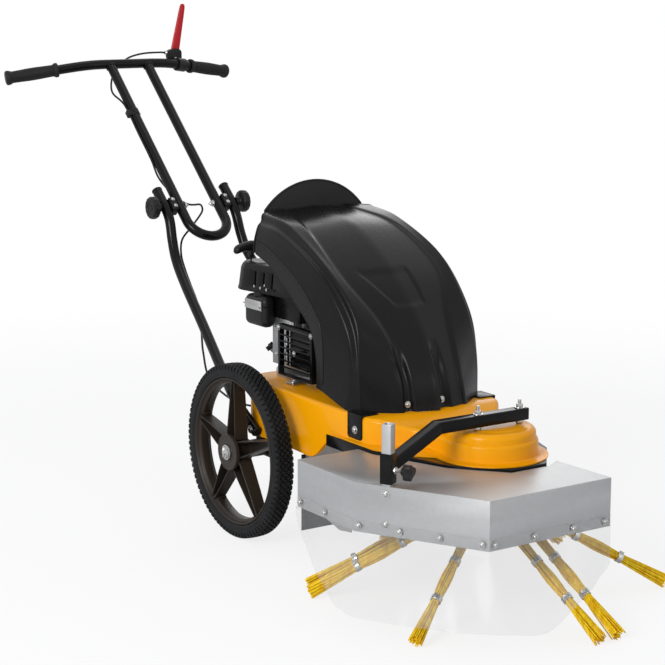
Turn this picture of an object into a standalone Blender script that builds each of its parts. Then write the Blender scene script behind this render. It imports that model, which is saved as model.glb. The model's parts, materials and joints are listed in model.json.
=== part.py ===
# A walk-behind weed brush: an engine on a wheeled deck drives a flat turning brush of
# bundled strands in front, under a steel hood with a clear curtain.
# Lengths are metres. Inside the machine frame +X points forwards to the brush, +Y to the
# operator's left and +Z up, and its zero is on the floor midway between the two wheels.

import math

import bmesh
import bpy
from mathutils import Matrix, Vector

# Where the part's own origin lies, seen from the machine frame: on the floor, under the
# middle of the whole outline.
ORIGIN_AHEAD_OF_AXLE = -0.00329
ORIGIN_RIGHT_OF_MIDDLE = 0.03176

# Clearances
SEAT_GAP = 0.0003
RUNNING_GAP = 0.0003

# Wheels and axle
WHEEL_RADIUS = 0.200
TYRE_WIDTH = 0.045
RIM_RADIUS = 0.168
RIM_DEPTH = 0.040
TUBE_RADIUS = 0.011
DECK_HALF_WIDTH = 0.175
TUBE_TO_WHEEL = 0.008
TRACK_OUTER = DECK_HALF_WIDTH + 2 * TUBE_RADIUS + TUBE_TO_WHEEL + TYRE_WIDTH
WHEEL_Y = TRACK_OUTER - TYRE_WIDTH / 2
AXLE_RADIUS = 0.010
HUB_CORE_RADIUS = 0.028
HUB_TAIL_RADIUS = 0.020
HUB_DISC_RADIUS = 0.0415
HUB_DISC_OUTER = TRACK_OUTER + 0.010
CARRIER_LENGTH = 0.074
CARRIER_TO_WALL = 0.015
CARRIER_HALF_WIDTH = DECK_HALF_WIDTH - CARRIER_TO_WALL
CARRIER_SHEET = 0.004
SPOKE_COUNT = 5
WHEEL_STEPS = 28

# Deck
DECK_TOP = 0.353
DECK_SHEET = 0.0025
DECK_REAR = -0.085
DECK_CORNER = 0.070
SKIRT_BOTTOM = 0.2265
SKIRT_END = 0.215
FLANGE_START = 0.335
FLANGE_Z = 0.2955
FLANGE_LIP = 0.012
FLANGE_HALF_WIDTH = DECK_HALF_WIDTH + FLANGE_LIP
FLANGE_TURN = 0.470
FLANGE_TAPER = 0.395
TAPER_START = 0.415
NECK_X = 0.545
NECK_HALF_WIDTH = 0.088
NECK_TOP = 0.336
BRUSH_X = 0.622
TURRET_RADIUS = 0.093
TURRET_STEP = 0.005
TURRET_TOP = 0.3575
NOSE_RADIUS = 0.119
EDGE_ROUND = 0.010

# Guards below the deck
GUARD_SHEET = 0.002
GUARD_DEPTH = 0.025
REAR_WALL_X = 0.190
REAR_WALL_BOTTOM = 0.120
REAR_WALL_TOP = 0.300
WING_END = 0.370
WING_BOTTOM = 0.085
WING_TAB = 0.030
FLAP_THICKNESS = 0.004
FLAP_BOTTOM = 0.050
FLAP_HALF_WIDTH = 0.180

# Belt drive
CRANK_X = 0.0
CRANK_RADIUS = 0.0125
CRANK_TOP = 0.400
CRANK_HOLE = 0.030
BELT_Z = 0.325
BELT_HEIGHT = 0.007
BELT_DEPTH = 0.0067
ENGINE_PULLEY_CORE = 0.024
BRUSH_PULLEY_CORE = 0.036
PULLEY_LIP = 0.010
PULLEY_HEIGHT = 0.020
IDLER_CORE = 0.012
IDLER_PIVOT = (0.250, -0.120)
IDLER_ARM_LENGTH = 0.085
IDLER_ARM_ANGLE = math.radians(36)
IDLER_ARM_THICKNESS = 0.005
IDLER_PIN_RADIUS = 0.004

# Brush
SPINDLE_RADIUS = 0.010
BEARING_RADIUS = 0.021
HOUSING_RADIUS = 0.028
HOUSING_FLANGE_RADIUS = 0.066
BUNDLE_SLOPE = math.radians(28.5)
HUB_APOTHEM = 0.0975
BUNDLE_REACH = 0.374
PAIR_SPACING = 0.046
BACKING_THICKNESS = 0.006
BACKING_RADIUS = 0.0145
STRAND_RADIUS = 0.00115
STRANDS_IN_BUNDLE = 34
WAIST_RADIUS = 0.0102
TIP_RADIUS = 0.0175
WAIST_REACH = 0.275
TIP_FLAT = 0.0005

# Hood and curtain
HOOD_TOP = 0.2912
HOOD_SHEET = 0.002
HOOD_HEIGHT = 0.099
CURTAIN_SHEET = 0.002
CURTAIN_LAP = 0.024
CURTAIN_REACH = 0.412
CURTAIN_BOTTOM = 0.056
POST_SIDE = 0.020
POST_TOP = 0.413
POST_BOTTOM = 0.200
POST_ALONG_WALL = 0.066

# Guard arm
ARM_SIDE = 0.025
ARM_X = 0.648
ARM_BOTTOM = 0.365
ARM_END_Y = 0.070
ARM_BEND_Y = -0.160
ARM_BOLT_Y = 0.054
ARM_BOLT_RADIUS = 0.004
ARM_BOLT_TOP = 0.408
SLEEVE_BOTTOM = 0.2945
SLEEVE_TOP = 0.355

# Handle
PIVOT_X = -0.572
PIVOT_Z = 0.687
HANDLE_SLOPE = math.radians(42.8)
UPRIGHT_Y = 0.055
UPRIGHT_LENGTH = 0.500
LOOP_LENGTH = 0.105
LOWER_TUBE_Y = 0.097
CLAMP_BOLT_RADIUS = 0.004
KNOB_RADIUS = 0.0235
KNOB_LENGTH = 0.030
BAR_END = (-0.992, 0.327, 0.996)
BAR_BEND = (-0.947, 0.140, 1.023)
GRIP_RADIUS = 0.0162
GRIP_FLARE = 0.0190
GRIP_LENGTH = 0.135
LEVER_PIVOT = (-0.9845, 0.165, 1.050)
LEVER_LENGTH = 0.135
LEVER_LEAN = math.radians(12)
LEVER_THICKNESS = 0.010
CABLE_RADIUS = 0.0025

# Engine
BLOCK_BASE_RADIUS = 0.108
BLOCK_RADIUS = 0.090
BLOCK_TOP = 0.470
SHROUD_RADIUS = 0.115
SHROUD_BOTTOM = 0.515
SHROUD_TOP = 0.602
SHROUD_CEILING = SHROUD_TOP - 0.014
RECOIL_RADIUS = 0.092
RECOIL_TOP = 0.648
LOBE_X = -0.140
LOBE_Y = -0.085
LOBE_RADIUS = 0.050
GRIP_X = -0.165
GRIP_Y = -0.092
CORD_LENGTH = 0.010
CORD_RADIUS = 0.002

# Engine cover
COVER_SHEET = 0.003
COVER_REAR = -0.036
COVER_SIDE = 0.178
COVER_FOOT = DECK_TOP - 0.003
FLAP_PLATE = 0.003
FLAP_PLATE_HALF = 0.133
FLAP_PLATE_BASE = 0.737
FLAP_PLATE_TOP = 0.800


PARTS = None
CUTTERS = None
DATUM = None
MATERIALS = {}


def clear_scene():
    for obj in list(bpy.data.objects):
        bpy.data.objects.remove(obj, do_unlink=True)


def set_up():
    global PARTS, CUTTERS, DATUM
    PARTS = bpy.data.collections.new("weed_brush")
    CUTTERS = bpy.data.collections.new("weed_brush_cutters")
    bpy.context.scene.collection.children.link(PARTS)
    bpy.context.scene.collection.children.link(CUTTERS)
    DATUM = bpy.data.objects.new("machine_datum", None)
    DATUM.location = (-ORIGIN_AHEAD_OF_AXLE, ORIGIN_RIGHT_OF_MIDDLE, 0.0)
    PARTS.objects.link(DATUM)


def make_material(name, colour, roughness, metallic=0.0, alpha=1.0):
    material = bpy.data.materials.new(name)
    material.use_nodes = True
    shader = material.node_tree.nodes["Principled BSDF"]
    shader.inputs["Base Color"].default_value = (*colour, 1.0)
    shader.inputs["Roughness"].default_value = roughness
    shader.inputs["Metallic"].default_value = metallic
    shader.inputs["Alpha"].default_value = alpha
    material.diffuse_color = (*colour, alpha)
    MATERIALS[name] = material


def make_materials():
    make_material("yellow_paint", (0.86, 0.40, 0.01), 0.25)
    make_material("black_paint", (0.012, 0.012, 0.013), 0.32)
    make_material("black_shell", (0.022, 0.022, 0.024), 0.48)
    make_material("black_plastic", (0.018, 0.018, 0.018), 0.40)
    make_material("black_rubber", (0.020, 0.020, 0.021), 0.70)
    make_material("tyre_rubber", (0.028, 0.029, 0.031), 0.78)
    make_material("brown_nylon", (0.055, 0.042, 0.034), 0.50)
    make_material("galvanised", (0.55, 0.56, 0.57), 0.38, 0.9)
    make_material("zinc_steel", (0.62, 0.62, 0.60), 0.30, 1.0)
    make_material("cast_aluminium", (0.56, 0.57, 0.58), 0.42, 0.9)
    make_material("red_plastic", (0.62, 0.012, 0.018), 0.35)
    make_material("clear_sheet", (0.88, 0.89, 0.90), 0.15, 0.0, 0.35)
    make_material("yellow_strand", (0.90, 0.56, 0.03), 0.40)


def finish(obj, name, material, smooth=True):
    """Names an object, puts it in the part's collection and gives it its finish."""
    for collection in list(obj.users_collection):
        collection.objects.unlink(obj)
    PARTS.objects.link(obj)
    obj.name = name
    obj.data.name = name
    obj.data.materials.clear()
    obj.data.materials.append(MATERIALS[material])
    if smooth:
        obj.data.shade_smooth()
        obj.data.set_sharp_from_angle(angle=math.radians(32))
    obj.parent = DATUM
    return obj


def as_tool(obj):
    """Turns an object into a hidden cutter or guide."""
    for collection in list(obj.users_collection):
        collection.objects.unlink(obj)
    CUTTERS.objects.link(obj)
    obj.hide_render = True
    obj.display_type = "WIRE"
    obj.parent = DATUM
    return obj


def loose(mesh):
    """A bare object for a mesh, linked so that it can be evaluated."""
    obj = bpy.data.objects.new("shape", mesh)
    CUTTERS.objects.link(obj)
    return obj


def from_bmesh(shape):
    bmesh.ops.recalc_face_normals(shape, faces=shape.faces)
    mesh = bpy.data.meshes.new("shape")
    shape.to_mesh(mesh)
    shape.free()
    return loose(mesh)


def baked(obj):
    """The evaluated shape as a plain mesh object, its loose caps welded."""
    bpy.context.view_layer.update()
    evaluated = obj.evaluated_get(bpy.context.evaluated_depsgraph_get())
    mesh = bpy.data.meshes.new_from_object(evaluated)
    shape = bmesh.new()
    shape.from_mesh(mesh)
    bmesh.ops.remove_doubles(shape, verts=shape.verts, dist=0.00002)
    shape.transform(obj.matrix_world)
    shape.to_mesh(mesh)
    shape.free()
    bpy.data.objects.remove(obj, do_unlink=True)
    return loose(mesh)


def box(low, high, bevel=0.0, segments=2):
    shape = bmesh.new()
    bmesh.ops.create_cube(shape, size=1.0)
    size = [h - l for l, h in zip(low, high)]
    middle = [(h + l) / 2 for l, h in zip(low, high)]
    bmesh.ops.scale(shape, vec=size, verts=shape.verts)
    bmesh.ops.translate(shape, vec=middle, verts=shape.verts)
    obj = from_bmesh(shape)
    if bevel:
        add_bevel(obj, bevel, segments)
        obj = baked(obj)
    return obj


def add_bevel(obj, width, segments=2, angle=40):
    modifier = obj.modifiers.new("rounded", "BEVEL")
    modifier.width = width
    modifier.segments = segments
    modifier.limit_method = "ANGLE"
    modifier.angle_limit = math.radians(angle)
    return modifier


def rod(start, end, radius, sides=12):
    start, end = Vector(start), Vector(end)
    along = end - start
    shape = bmesh.new()
    bmesh.ops.create_cone(
        shape, cap_ends=True, segments=sides, radius1=radius, radius2=radius, depth=along.length
    )
    turn = Vector((0, 0, 1)).rotation_difference(along).to_matrix().to_4x4()
    shape.transform(Matrix.Translation((start + end) / 2) @ turn)
    return from_bmesh(shape)


def turned(profile, centre, axis=(0, 0, 1), steps=24):
    """A Screw of (radius, height) points, given down the outer side, about an axis."""
    mesh = bpy.data.meshes.new("profile")
    closed = all(radius > 1e-6 for radius, _ in (profile[0], profile[-1]))
    count = len(profile)
    edges = [(i, i + 1) for i in range(count - 1)]
    if closed:
        edges.append((count - 1, 0))
    mesh.from_pydata([(radius, 0.0, height) for radius, height in profile], edges, [])
    obj = loose(mesh)
    screw = obj.modifiers.new("turned", "SCREW")
    screw.angle = math.tau
    screw.steps = steps
    screw.render_steps = steps
    screw.use_merge_vertices = True
    screw.merge_threshold = 0.00001
    obj.matrix_world = (
        Matrix.Translation(centre)
        @ Vector((0, 0, 1)).rotation_difference(Vector(axis)).to_matrix().to_4x4()
    )
    solid = baked(obj)
    return outward(solid)


def outward(obj):
    """Makes a closed mesh's faces point out."""
    shape = bmesh.new()
    shape.from_mesh(obj.data)
    bmesh.ops.recalc_face_normals(shape, faces=shape.faces)
    if shape.calc_volume(signed=True) < 0:
        bmesh.ops.reverse_faces(shape, faces=shape.faces)
    shape.to_mesh(obj.data)
    shape.free()
    return obj


def smooth_path(points, per_span):
    """Points along a Catmull-Rom curve through the given ones."""
    points = [Vector(p) for p in points]
    padded = [2 * points[0] - points[1]] + points + [2 * points[-1] - points[-2]]
    path = []
    for i in range(len(points) - 1):
        a, b, c, d = padded[i : i + 4]
        for step in range(per_span):
            t = step / per_span
            path.append(
                0.5
                * (
                    2 * b
                    + (c - a) * t
                    + (2 * a - 5 * b + 4 * c - d) * t * t
                    + (3 * b - a - 3 * c + d) * t * t * t
                )
            )
    path.append(points[-1])
    return path


def tube(path, radius, resolution=4):
    """A round bar along a path, its sides set by the curve's bevel resolution."""
    curve = bpy.data.curves.new("path", "CURVE")
    curve.dimensions = "3D"
    curve.bevel_depth = radius
    curve.bevel_resolution = resolution
    curve.use_fill_caps = True
    spline = curve.splines.new("POLY")
    spline.points.add(len(path) - 1)
    for point, place in zip(spline.points, path):
        point.co = (*place, 1.0)
    obj = bpy.data.objects.new("path", curve)
    CUTTERS.objects.link(obj)
    return outward(baked(obj))


def plate(outlines, low, high, turn=None):
    """Flat outlines in XY, the later ones holes in the first, filled from z low to z high."""
    curve = bpy.data.curves.new("outline", "CURVE")
    curve.dimensions = "2D"
    curve.fill_mode = "BOTH"
    curve.extrude = (high - low) / 2
    for outline in outlines:
        spline = curve.splines.new("POLY")
        spline.points.add(len(outline) - 1)
        spline.use_cyclic_u = True
        for point, (x, y) in zip(spline.points, outline):
            point.co = (x, y, 0.0, 1.0)
    obj = bpy.data.objects.new("outline", curve)
    CUTTERS.objects.link(obj)
    obj.matrix_world = (turn or Matrix()) @ Matrix.Translation((0, 0, (low + high) / 2))
    return outward(baked(obj))


def circle(centre, radius, count, start=0.0):
    return [
        (
            centre[0] + radius * math.cos(start + math.tau * i / count),
            centre[1] + radius * math.sin(start + math.tau * i / count),
        )
        for i in range(count)
    ]


def merged(*objects):
    """One object holding several separate bodies."""
    shape = bmesh.new()
    for obj in objects:
        bpy.context.view_layer.update()
        copy = obj.data.copy()
        copy.transform(obj.matrix_world)
        shape.from_mesh(copy)
        bpy.data.objects.remove(obj, do_unlink=True)
    mesh = bpy.data.meshes.new("shape")
    shape.to_mesh(mesh)
    shape.free()
    return loose(mesh)


def boolean(obj, tool, operation, solver="EXACT"):
    as_tool(tool)
    tool.parent = None
    modifier = obj.modifiers.new(operation.lower(), "BOOLEAN")
    modifier.operation = operation
    modifier.solver = solver
    modifier.object = tool
    result = baked(obj)
    tool.parent = DATUM
    return result


def cut(obj, tool):
    return boolean(obj, tool, "DIFFERENCE")


def joined(obj, tool):
    return boolean(obj, tool, "UNION")


def mirrored(obj):
    """A copy of a solid on the other side of the machine's middle plane."""
    mesh = obj.data.copy()
    mesh.transform(Matrix.Scale(-1, 4, (0, 1, 0)))
    return outward(loose(mesh))


def loft(loops):
    """A closed solid through loops of equal length, its two ends filled."""
    shape = bmesh.new()
    rings = [[shape.verts.new(place) for place in loop] for loop in loops]
    count = len(rings[0])
    for lower, upper in zip(rings, rings[1:]):
        for i in range(count):
            j = (i + 1) % count
            shape.faces.new((lower[i], lower[j], upper[j], upper[i]))
    shape.faces.new(list(reversed(rings[0])))
    shape.faces.new(rings[-1])
    return outward(from_bmesh(shape))


# Wheels


def tyre_profile():
    half = TYRE_WIDTH / 2
    return [
        (WHEEL_RADIUS, 0.42 * half),
        (WHEEL_RADIUS, -0.42 * half),
        (WHEEL_RADIUS - 0.009, -half),
        (RIM_RADIUS + 0.007, -0.96 * half),
        (RIM_RADIUS + SEAT_GAP, -0.70 * half),
        (RIM_RADIUS + SEAT_GAP, 0.70 * half),
        (RIM_RADIUS + 0.007, 0.96 * half),
        (WHEEL_RADIUS - 0.009, half),
    ]


def spoke_windows(outer, inner, count, hub_width, rim_width):
    """The openings between straight spokes that taper from hub to rim."""
    windows = []
    for i in range(count):
        this = math.tau * i / count + math.pi / 2
        following = this + math.tau / count
        out_a, out_b = this + rim_width / 2 / outer, following - rim_width / 2 / outer
        in_a, in_b = this + hub_width / 2 / inner, following - hub_width / 2 / inner
        window = []
        for step in range(4):
            angle = out_a + (out_b - out_a) * step / 3
            window.append((outer * math.cos(angle), outer * math.sin(angle)))
        for step in range(2):
            angle = in_b + (in_a - in_b) * step
            window.append((inner * math.cos(angle), inner * math.sin(angle)))
        windows.append(window)
    return windows


def spoke_pockets(outer, inner, count, hub_width, rim_width):
    pockets = []
    for i in range(count):
        angle = math.tau * i / count + math.pi / 2
        along = Vector((math.cos(angle), math.sin(angle)))
        across = Vector((-along.y, along.x))
        corners = (
            along * inner + across * hub_width / 2,
            along * inner - across * hub_width / 2,
            along * outer - across * rim_width / 2,
            along * outer + across * rim_width / 2,
        )
        pockets.append([(c.x, c.y) for c in corners])
    return pockets


def make_rim(side):
    """A moulded wheel: channel rim, five hollow-backed spokes and a disc-faced hub."""
    ring_inner = RIM_RADIUS - 0.014
    half = RIM_DEPTH / 2
    face = 0.012
    disc = plate(
        [circle((0, 0), ring_inner + 0.004, WHEEL_STEPS)]
        + spoke_windows(ring_inner - 0.001, 0.045, SPOKE_COUNT, 0.036, 0.013),
        -face,
        face,
    )
    pockets = merged(
        *[
            plate([pocket], face - 0.018, face + 0.002)
            for pocket in spoke_pockets(ring_inner - 0.012, 0.050, SPOKE_COUNT, 0.024, 0.006)
        ]
    )
    disc = cut(disc, pockets)
    ring = turned(
        [
            (RIM_RADIUS, half),
            (RIM_RADIUS, -half),
            (ring_inner + 0.006, -half),
            (ring_inner, -face),
            (ring_inner, face),
            (ring_inner + 0.006, half),
        ],
        (0, 0, 0),
        steps=WHEEL_STEPS,
    )
    disc = joined(disc, ring)
    hub_face = HUB_DISC_OUTER - WHEEL_Y
    tail = CARRIER_HALF_WIDTH + RUNNING_GAP - WHEEL_Y
    hub = turned(
        [
            (HUB_DISC_RADIUS - 0.003, hub_face),
            (HUB_DISC_RADIUS, hub_face - 0.003),
            (HUB_DISC_RADIUS, hub_face - 0.010),
            (HUB_CORE_RADIUS, hub_face - 0.012),
            (HUB_CORE_RADIUS, -RIM_DEPTH / 2),
            (HUB_TAIL_RADIUS, -RIM_DEPTH / 2 - 0.004),
            (HUB_TAIL_RADIUS, tail),
            (AXLE_RADIUS + RUNNING_GAP, tail),
            (AXLE_RADIUS + RUNNING_GAP, hub_face),
        ],
        (0, 0, 0),
        steps=14,
    )
    disc = cut(disc, rod((0, 0, -half), (0, 0, half), HUB_CORE_RADIUS - 0.004, 14))
    disc = joined(disc, hub)
    disc.matrix_world = wheel_place(side)
    return baked(disc)


def wheel_place(side):
    """Turns a wheel made about Z so that its outer face looks along side times Y."""
    facing = Vector((0, 0, 1)).rotation_difference(Vector((0, side, 0))).to_matrix().to_4x4()
    return Matrix.Translation((0, side * WHEEL_Y, WHEEL_RADIUS)) @ facing


def make_wheels():
    for side, word in ((-1, "right"), (1, "left")):
        rim = finish(make_rim(side), f"rim_{word}", "brown_nylon")
        place_origin(rim, (0, side * WHEEL_Y, WHEEL_RADIUS))
        ring = turned(
            tyre_profile(), (0, side * WHEEL_Y, WHEEL_RADIUS), (0, side, 0), WHEEL_STEPS
        )
        tyre = finish(ring, f"tyre_{word}", "tyre_rubber")
        place_origin(tyre, (0, side * WHEEL_Y, WHEEL_RADIUS))


def place_origin(obj, origin):
    """Moves an object's origin to its joint without moving its shape."""
    origin = Vector(origin)
    obj.data.transform(Matrix.Translation(-origin))
    obj.location = origin
    return obj


def make_axle():
    end = HUB_DISC_OUTER + 0.006
    axle = rod((0, -end, WHEEL_RADIUS), (0, end, WHEEL_RADIUS), AXLE_RADIUS, 16)
    finish(axle, "axle", "zinc_steel")
    bore = AXLE_RADIUS + SEAT_GAP
    foot = HUB_DISC_OUTER + RUNNING_GAP
    for side, word in ((-1, "right"), (1, "left")):
        cap = turned(
            [
                (0.0, 0.0105),
                (0.010, 0.0095),
                (0.0135, 0.0045),
                (0.0175, 0.0035),
                (0.0175, 0.0),
                (bore, 0.0),
                (bore, 0.0062),
                (0.0, 0.0062),
            ],
            (0, side * foot, WHEEL_RADIUS),
            (0, side, 0),
            16,
        )
        finish(cap, f"axle_cap_{word}", "zinc_steel")


def make_axle_carrier():
    """A folded strap under the deck whose two legs hold the axle."""
    half = CARRIER_LENGTH / 2
    foot = WHEEL_RADIUS - 0.022
    top = DECK_TOP - DECK_SHEET - SEAT_GAP
    outer = CARRIER_HALF_WIDTH
    inner = outer - CARRIER_SHEET
    carrier = box((-half, -outer, foot), (half, outer, top))
    carrier = cut(carrier, box((-half - 0.01, -inner, foot - 0.01),
                               (half + 0.01, inner, top - CARRIER_SHEET)))
    for side in (-1, 1):
        trim = [(half + 0.01, foot - 0.01), (0.030, foot - 0.01), (half + 0.01, 0.235)]
        for mirror in (-1, 1):
            tool = plate([[(mirror * x, z) for x, z in trim]], -0.01, 0.01)
            tool.matrix_world = Matrix.Translation((0, side * outer, 0)) @ Matrix.Rotation(
                math.pi / 2, 4, "X"
            )
            carrier = cut(carrier, baked(tool))
    across = rod((0, -0.19, WHEEL_RADIUS), (0, 0.19, WHEEL_RADIUS), AXLE_RADIUS + SEAT_GAP, 16)
    carrier = cut(carrier, across)
    carrier = cut(carrier, rod((0, 0, top - 0.01), (0, 0, top + 0.01), CRANK_HOLE, 12))
    finish(carrier, "axle_carrier", "black_paint", smooth=False)


# Deck


def skirt_bottom(x):
    """The lower edge: low beside the engine, sweeping up to the front flange."""
    t = min(max((x - SKIRT_END) / (FLANGE_START - SKIRT_END), 0.0), 1.0)
    return SKIRT_BOTTOM + (FLANGE_Z - SKIRT_BOTTOM) * t * t * (3 - 2 * t)


def deck_top(x):
    t = min(max((x - 0.435) / 0.075, 0.0), 1.0)
    return DECK_TOP + (NECK_TOP - DECK_TOP) * t * t * (3 - 2 * t)


def deck_plan(inset):
    """Half of the deck's outline, from its rear edge to its nose."""
    half = DECK_HALF_WIDTH - inset
    corner = DECK_CORNER - inset
    rear = DECK_REAR + inset
    points = []
    for step in range(5):
        angle = math.pi - math.pi / 2 * step / 4
        points.append(
            (rear + corner + corner * math.cos(angle), half - corner + corner * math.sin(angle))
        )
    points += [(0.10, half), (SKIRT_END, half)]
    points += [(SKIRT_END + (FLANGE_START - SKIRT_END) * t, half) for t in (0.35, 0.65, 1.0)]
    neck = NECK_HALF_WIDTH - inset
    for step in range(1, 6):
        t = step / 5
        x = TAPER_START + (NECK_X - TAPER_START) * t
        points.append((x, half + (neck - half) * t * t * (3 - 2 * t)))
    nose = TURRET_RADIUS + TURRET_STEP - inset
    for step in range(6):
        angle = math.radians(105 * (1 - step / 6))
        points.append((BRUSH_X + nose * math.cos(angle), nose * math.sin(angle)))
    return points


def flange_plan(extra):
    """The outer edge of the lip that runs along the deck's lower edge."""
    points = []
    for x, y in deck_plan(0.0):
        width = FLANGE_HALF_WIDTH - DECK_HALF_WIDTH
        grown = min(max((x - 0.15) / (FLANGE_START - 0.15), 0.0), 1.0)
        if x <= TAPER_START:
            points.append((x, y + (width + extra) * grown if x > 0.12 else y))
        elif x <= NECK_X + 0.001:
            straight = FLANGE_HALF_WIDTH - max(0.0, x - FLANGE_TURN) * FLANGE_TAPER
            points.append((x, straight + extra))
        else:
            away = Vector((x - BRUSH_X, y)).normalized() * (NOSE_RADIUS + extra)
            points.append((BRUSH_X + away.x, away.y))
    return points


def strip_loft(levels):
    """A closed solid from half outlines, mirrored, with its ends filled in strips."""
    shape = bmesh.new()
    rings = []
    for level in levels:
        left = [shape.verts.new((x, y, z)) for x, y, z in level]
        right = [shape.verts.new((x, -y, z)) for x, y, z in level]
        rings.append((left, right))
    count = len(rings[0][0])
    for (left_a, right_a), (left_b, right_b) in zip(rings, rings[1:]):
        for i in range(count - 1):
            shape.faces.new((left_a[i], left_a[i + 1], left_b[i + 1], left_b[i]))
            shape.faces.new((right_a[i + 1], right_a[i], right_b[i], right_b[i + 1]))
        shape.faces.new((right_a[0], left_a[0], left_b[0], right_b[0]))
        shape.faces.new((left_a[-1], right_a[-1], right_b[-1], left_b[-1]))
    for left, right in (rings[0], rings[-1]):
        for i in range(count - 1):
            shape.faces.new((left[i], left[i + 1], right[i + 1], right[i]))
    return outward(from_bmesh(shape))


def deck_solid():
    wall = deck_plan(0.0)
    lip = flange_plan(0.0)
    lower = [(x, y, skirt_bottom(x)) for x, y in lip]
    upper = [(x, y, skirt_bottom(x) + DECK_SHEET) for x, y in lip]
    foot = [(x, y, skirt_bottom(x) + DECK_SHEET + 0.0015) for x, y in wall]
    shoulder = [(x, y, deck_top(x) - EDGE_ROUND) for x, y in wall]
    soft = deck_plan(EDGE_ROUND * 0.3)
    bend = [(x, y, deck_top(x) - EDGE_ROUND * 0.3) for x, y in soft]
    flat = deck_plan(EDGE_ROUND)
    top = [(x, y, deck_top(x)) for x, y in flat]
    return strip_loft([lower, upper, foot, shoulder, bend, top])


def deck_hollow():
    wall = deck_plan(DECK_SHEET)
    inner = deck_plan(EDGE_ROUND)
    below = [(x, y, SKIRT_BOTTOM - 0.02) for x, y in wall]
    shoulder = [(x, y, deck_top(x) - EDGE_ROUND) for x, y in wall]
    top = [(x, y, deck_top(x) - DECK_SHEET) for x, y in inner]
    return strip_loft([below, shoulder, top])


def turret_profile(radius, top, bottom, rounding):
    profile = [(0.0, top)]
    for step in range(3):
        angle = math.pi / 2 * (1 - step / 2)
        profile.append(
            (
                radius - rounding + rounding * math.cos(angle),
                top - rounding + rounding * math.sin(angle),
            )
        )
    profile += [(radius, bottom), (0.0, bottom)]
    return profile


def make_deck():
    deck = deck_solid()
    drum = turned(turret_profile(TURRET_RADIUS, TURRET_TOP, FLANGE_Z + 0.001, 0.012),
                  (BRUSH_X, 0, 0), steps=24)
    deck = joined(deck, drum)
    deck = cut(deck, deck_hollow())
    inner = TURRET_RADIUS - DECK_SHEET
    drum_hollow = turned(
        turret_profile(inner, TURRET_TOP - DECK_SHEET, FLANGE_Z - 0.02, 0.0105),
        (BRUSH_X, 0, 0), steps=24,
    )
    deck = cut(deck, drum_hollow)
    holes = [rod((CRANK_X, 0, 0.30), (CRANK_X, 0, 0.40), CRANK_HOLE, 12)]
    for side in (-1, 1):
        holes.append(
            rod((ARM_X, side * ARM_BOLT_Y, 0.34), (ARM_X, side * ARM_BOLT_Y, 0.38),
                ARM_BOLT_RADIUS + SEAT_GAP, 8)
        )
    holes.append(rod(CABLE_ENTRY_OUT, CABLE_ENTRY_IN, CABLE_RADIUS + 0.0012, 8))
    holes.append(rod((*IDLER_PIVOT, 0.33), (*IDLER_PIVOT, 0.37), IDLER_PIN_RADIUS + 2 * SEAT_GAP, 8))
    deck = cut(deck, merged(*holes))
    finish(deck, "deck_shell", "yellow_paint")


def guard_outline():
    """The polygon of the black plate below the flange, just outside it at the sides."""
    half = FLANGE_HALF_WIDTH + 0.003
    return [
        (0.300, half),
        (FLANGE_TURN + 0.008, half),
        (BRUSH_X + 0.028, NOSE_RADIUS + 0.009),
        (BRUSH_X + 0.124, 0.046),
    ]


def offset_outline(points, distance):
    """Moves an open left-hand outline outwards by a distance."""
    moved = []
    for i, point in enumerate(points):
        before = Vector(points[max(i - 1, 0)])
        here = Vector(point)
        after = Vector(points[min(i + 1, len(points) - 1)])
        normals = []
        if i > 0:
            step = (here - before).normalized()
            normals.append(Vector((-step.y, step.x)))
        if i < len(points) - 1:
            step = (after - here).normalized()
            normals.append(Vector((-step.y, step.x)))
        if i == len(points) - 1:
            normals.append(Vector((1, 0)))
        total = sum(normals, Vector((0, 0))).normalized()
        stretch = distance / max(total.dot(normals[0]), 0.3)
        place = here + total * stretch
        moved.append((place.x, place.y))
    return moved


def both_sides(half):
    return half + [(x, -y) for x, y in reversed(half)]


def make_under_guard():
    top = FLANGE_Z - SEAT_GAP
    outer = both_sides(guard_outline())
    inner = both_sides(offset_outline(guard_outline(), -GUARD_SHEET))
    inner = [(x - (0.01 if x < FLANGE_START else 0.0), y) for x, y in inner]
    guard = plate([outer], top - GUARD_DEPTH, top)
    guard = cut(guard, plate([inner], top - GUARD_DEPTH - 0.01, top - GUARD_SHEET))
    clear = FLANGE_HALF_WIDTH + 2 * SEAT_GAP
    guard = cut(guard, box((0.28, -clear, top - 0.04), (FLANGE_START + 0.004, clear, top + 0.01)))
    opening = both_sides([(0.330, 0.120), (0.520, 0.120), (0.600, 0.072), (0.665, 0.045)])
    guard = cut(guard, plate([opening], top - 0.01, top + 0.01))
    clearance = circle((BRUSH_X, 0), HOUSING_FLANGE_RADIUS + 0.004, 16)
    guard = cut(guard, plate([clearance], top - 0.01, top + 0.01))
    finish(guard, "under_guard", "black_paint")


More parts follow.
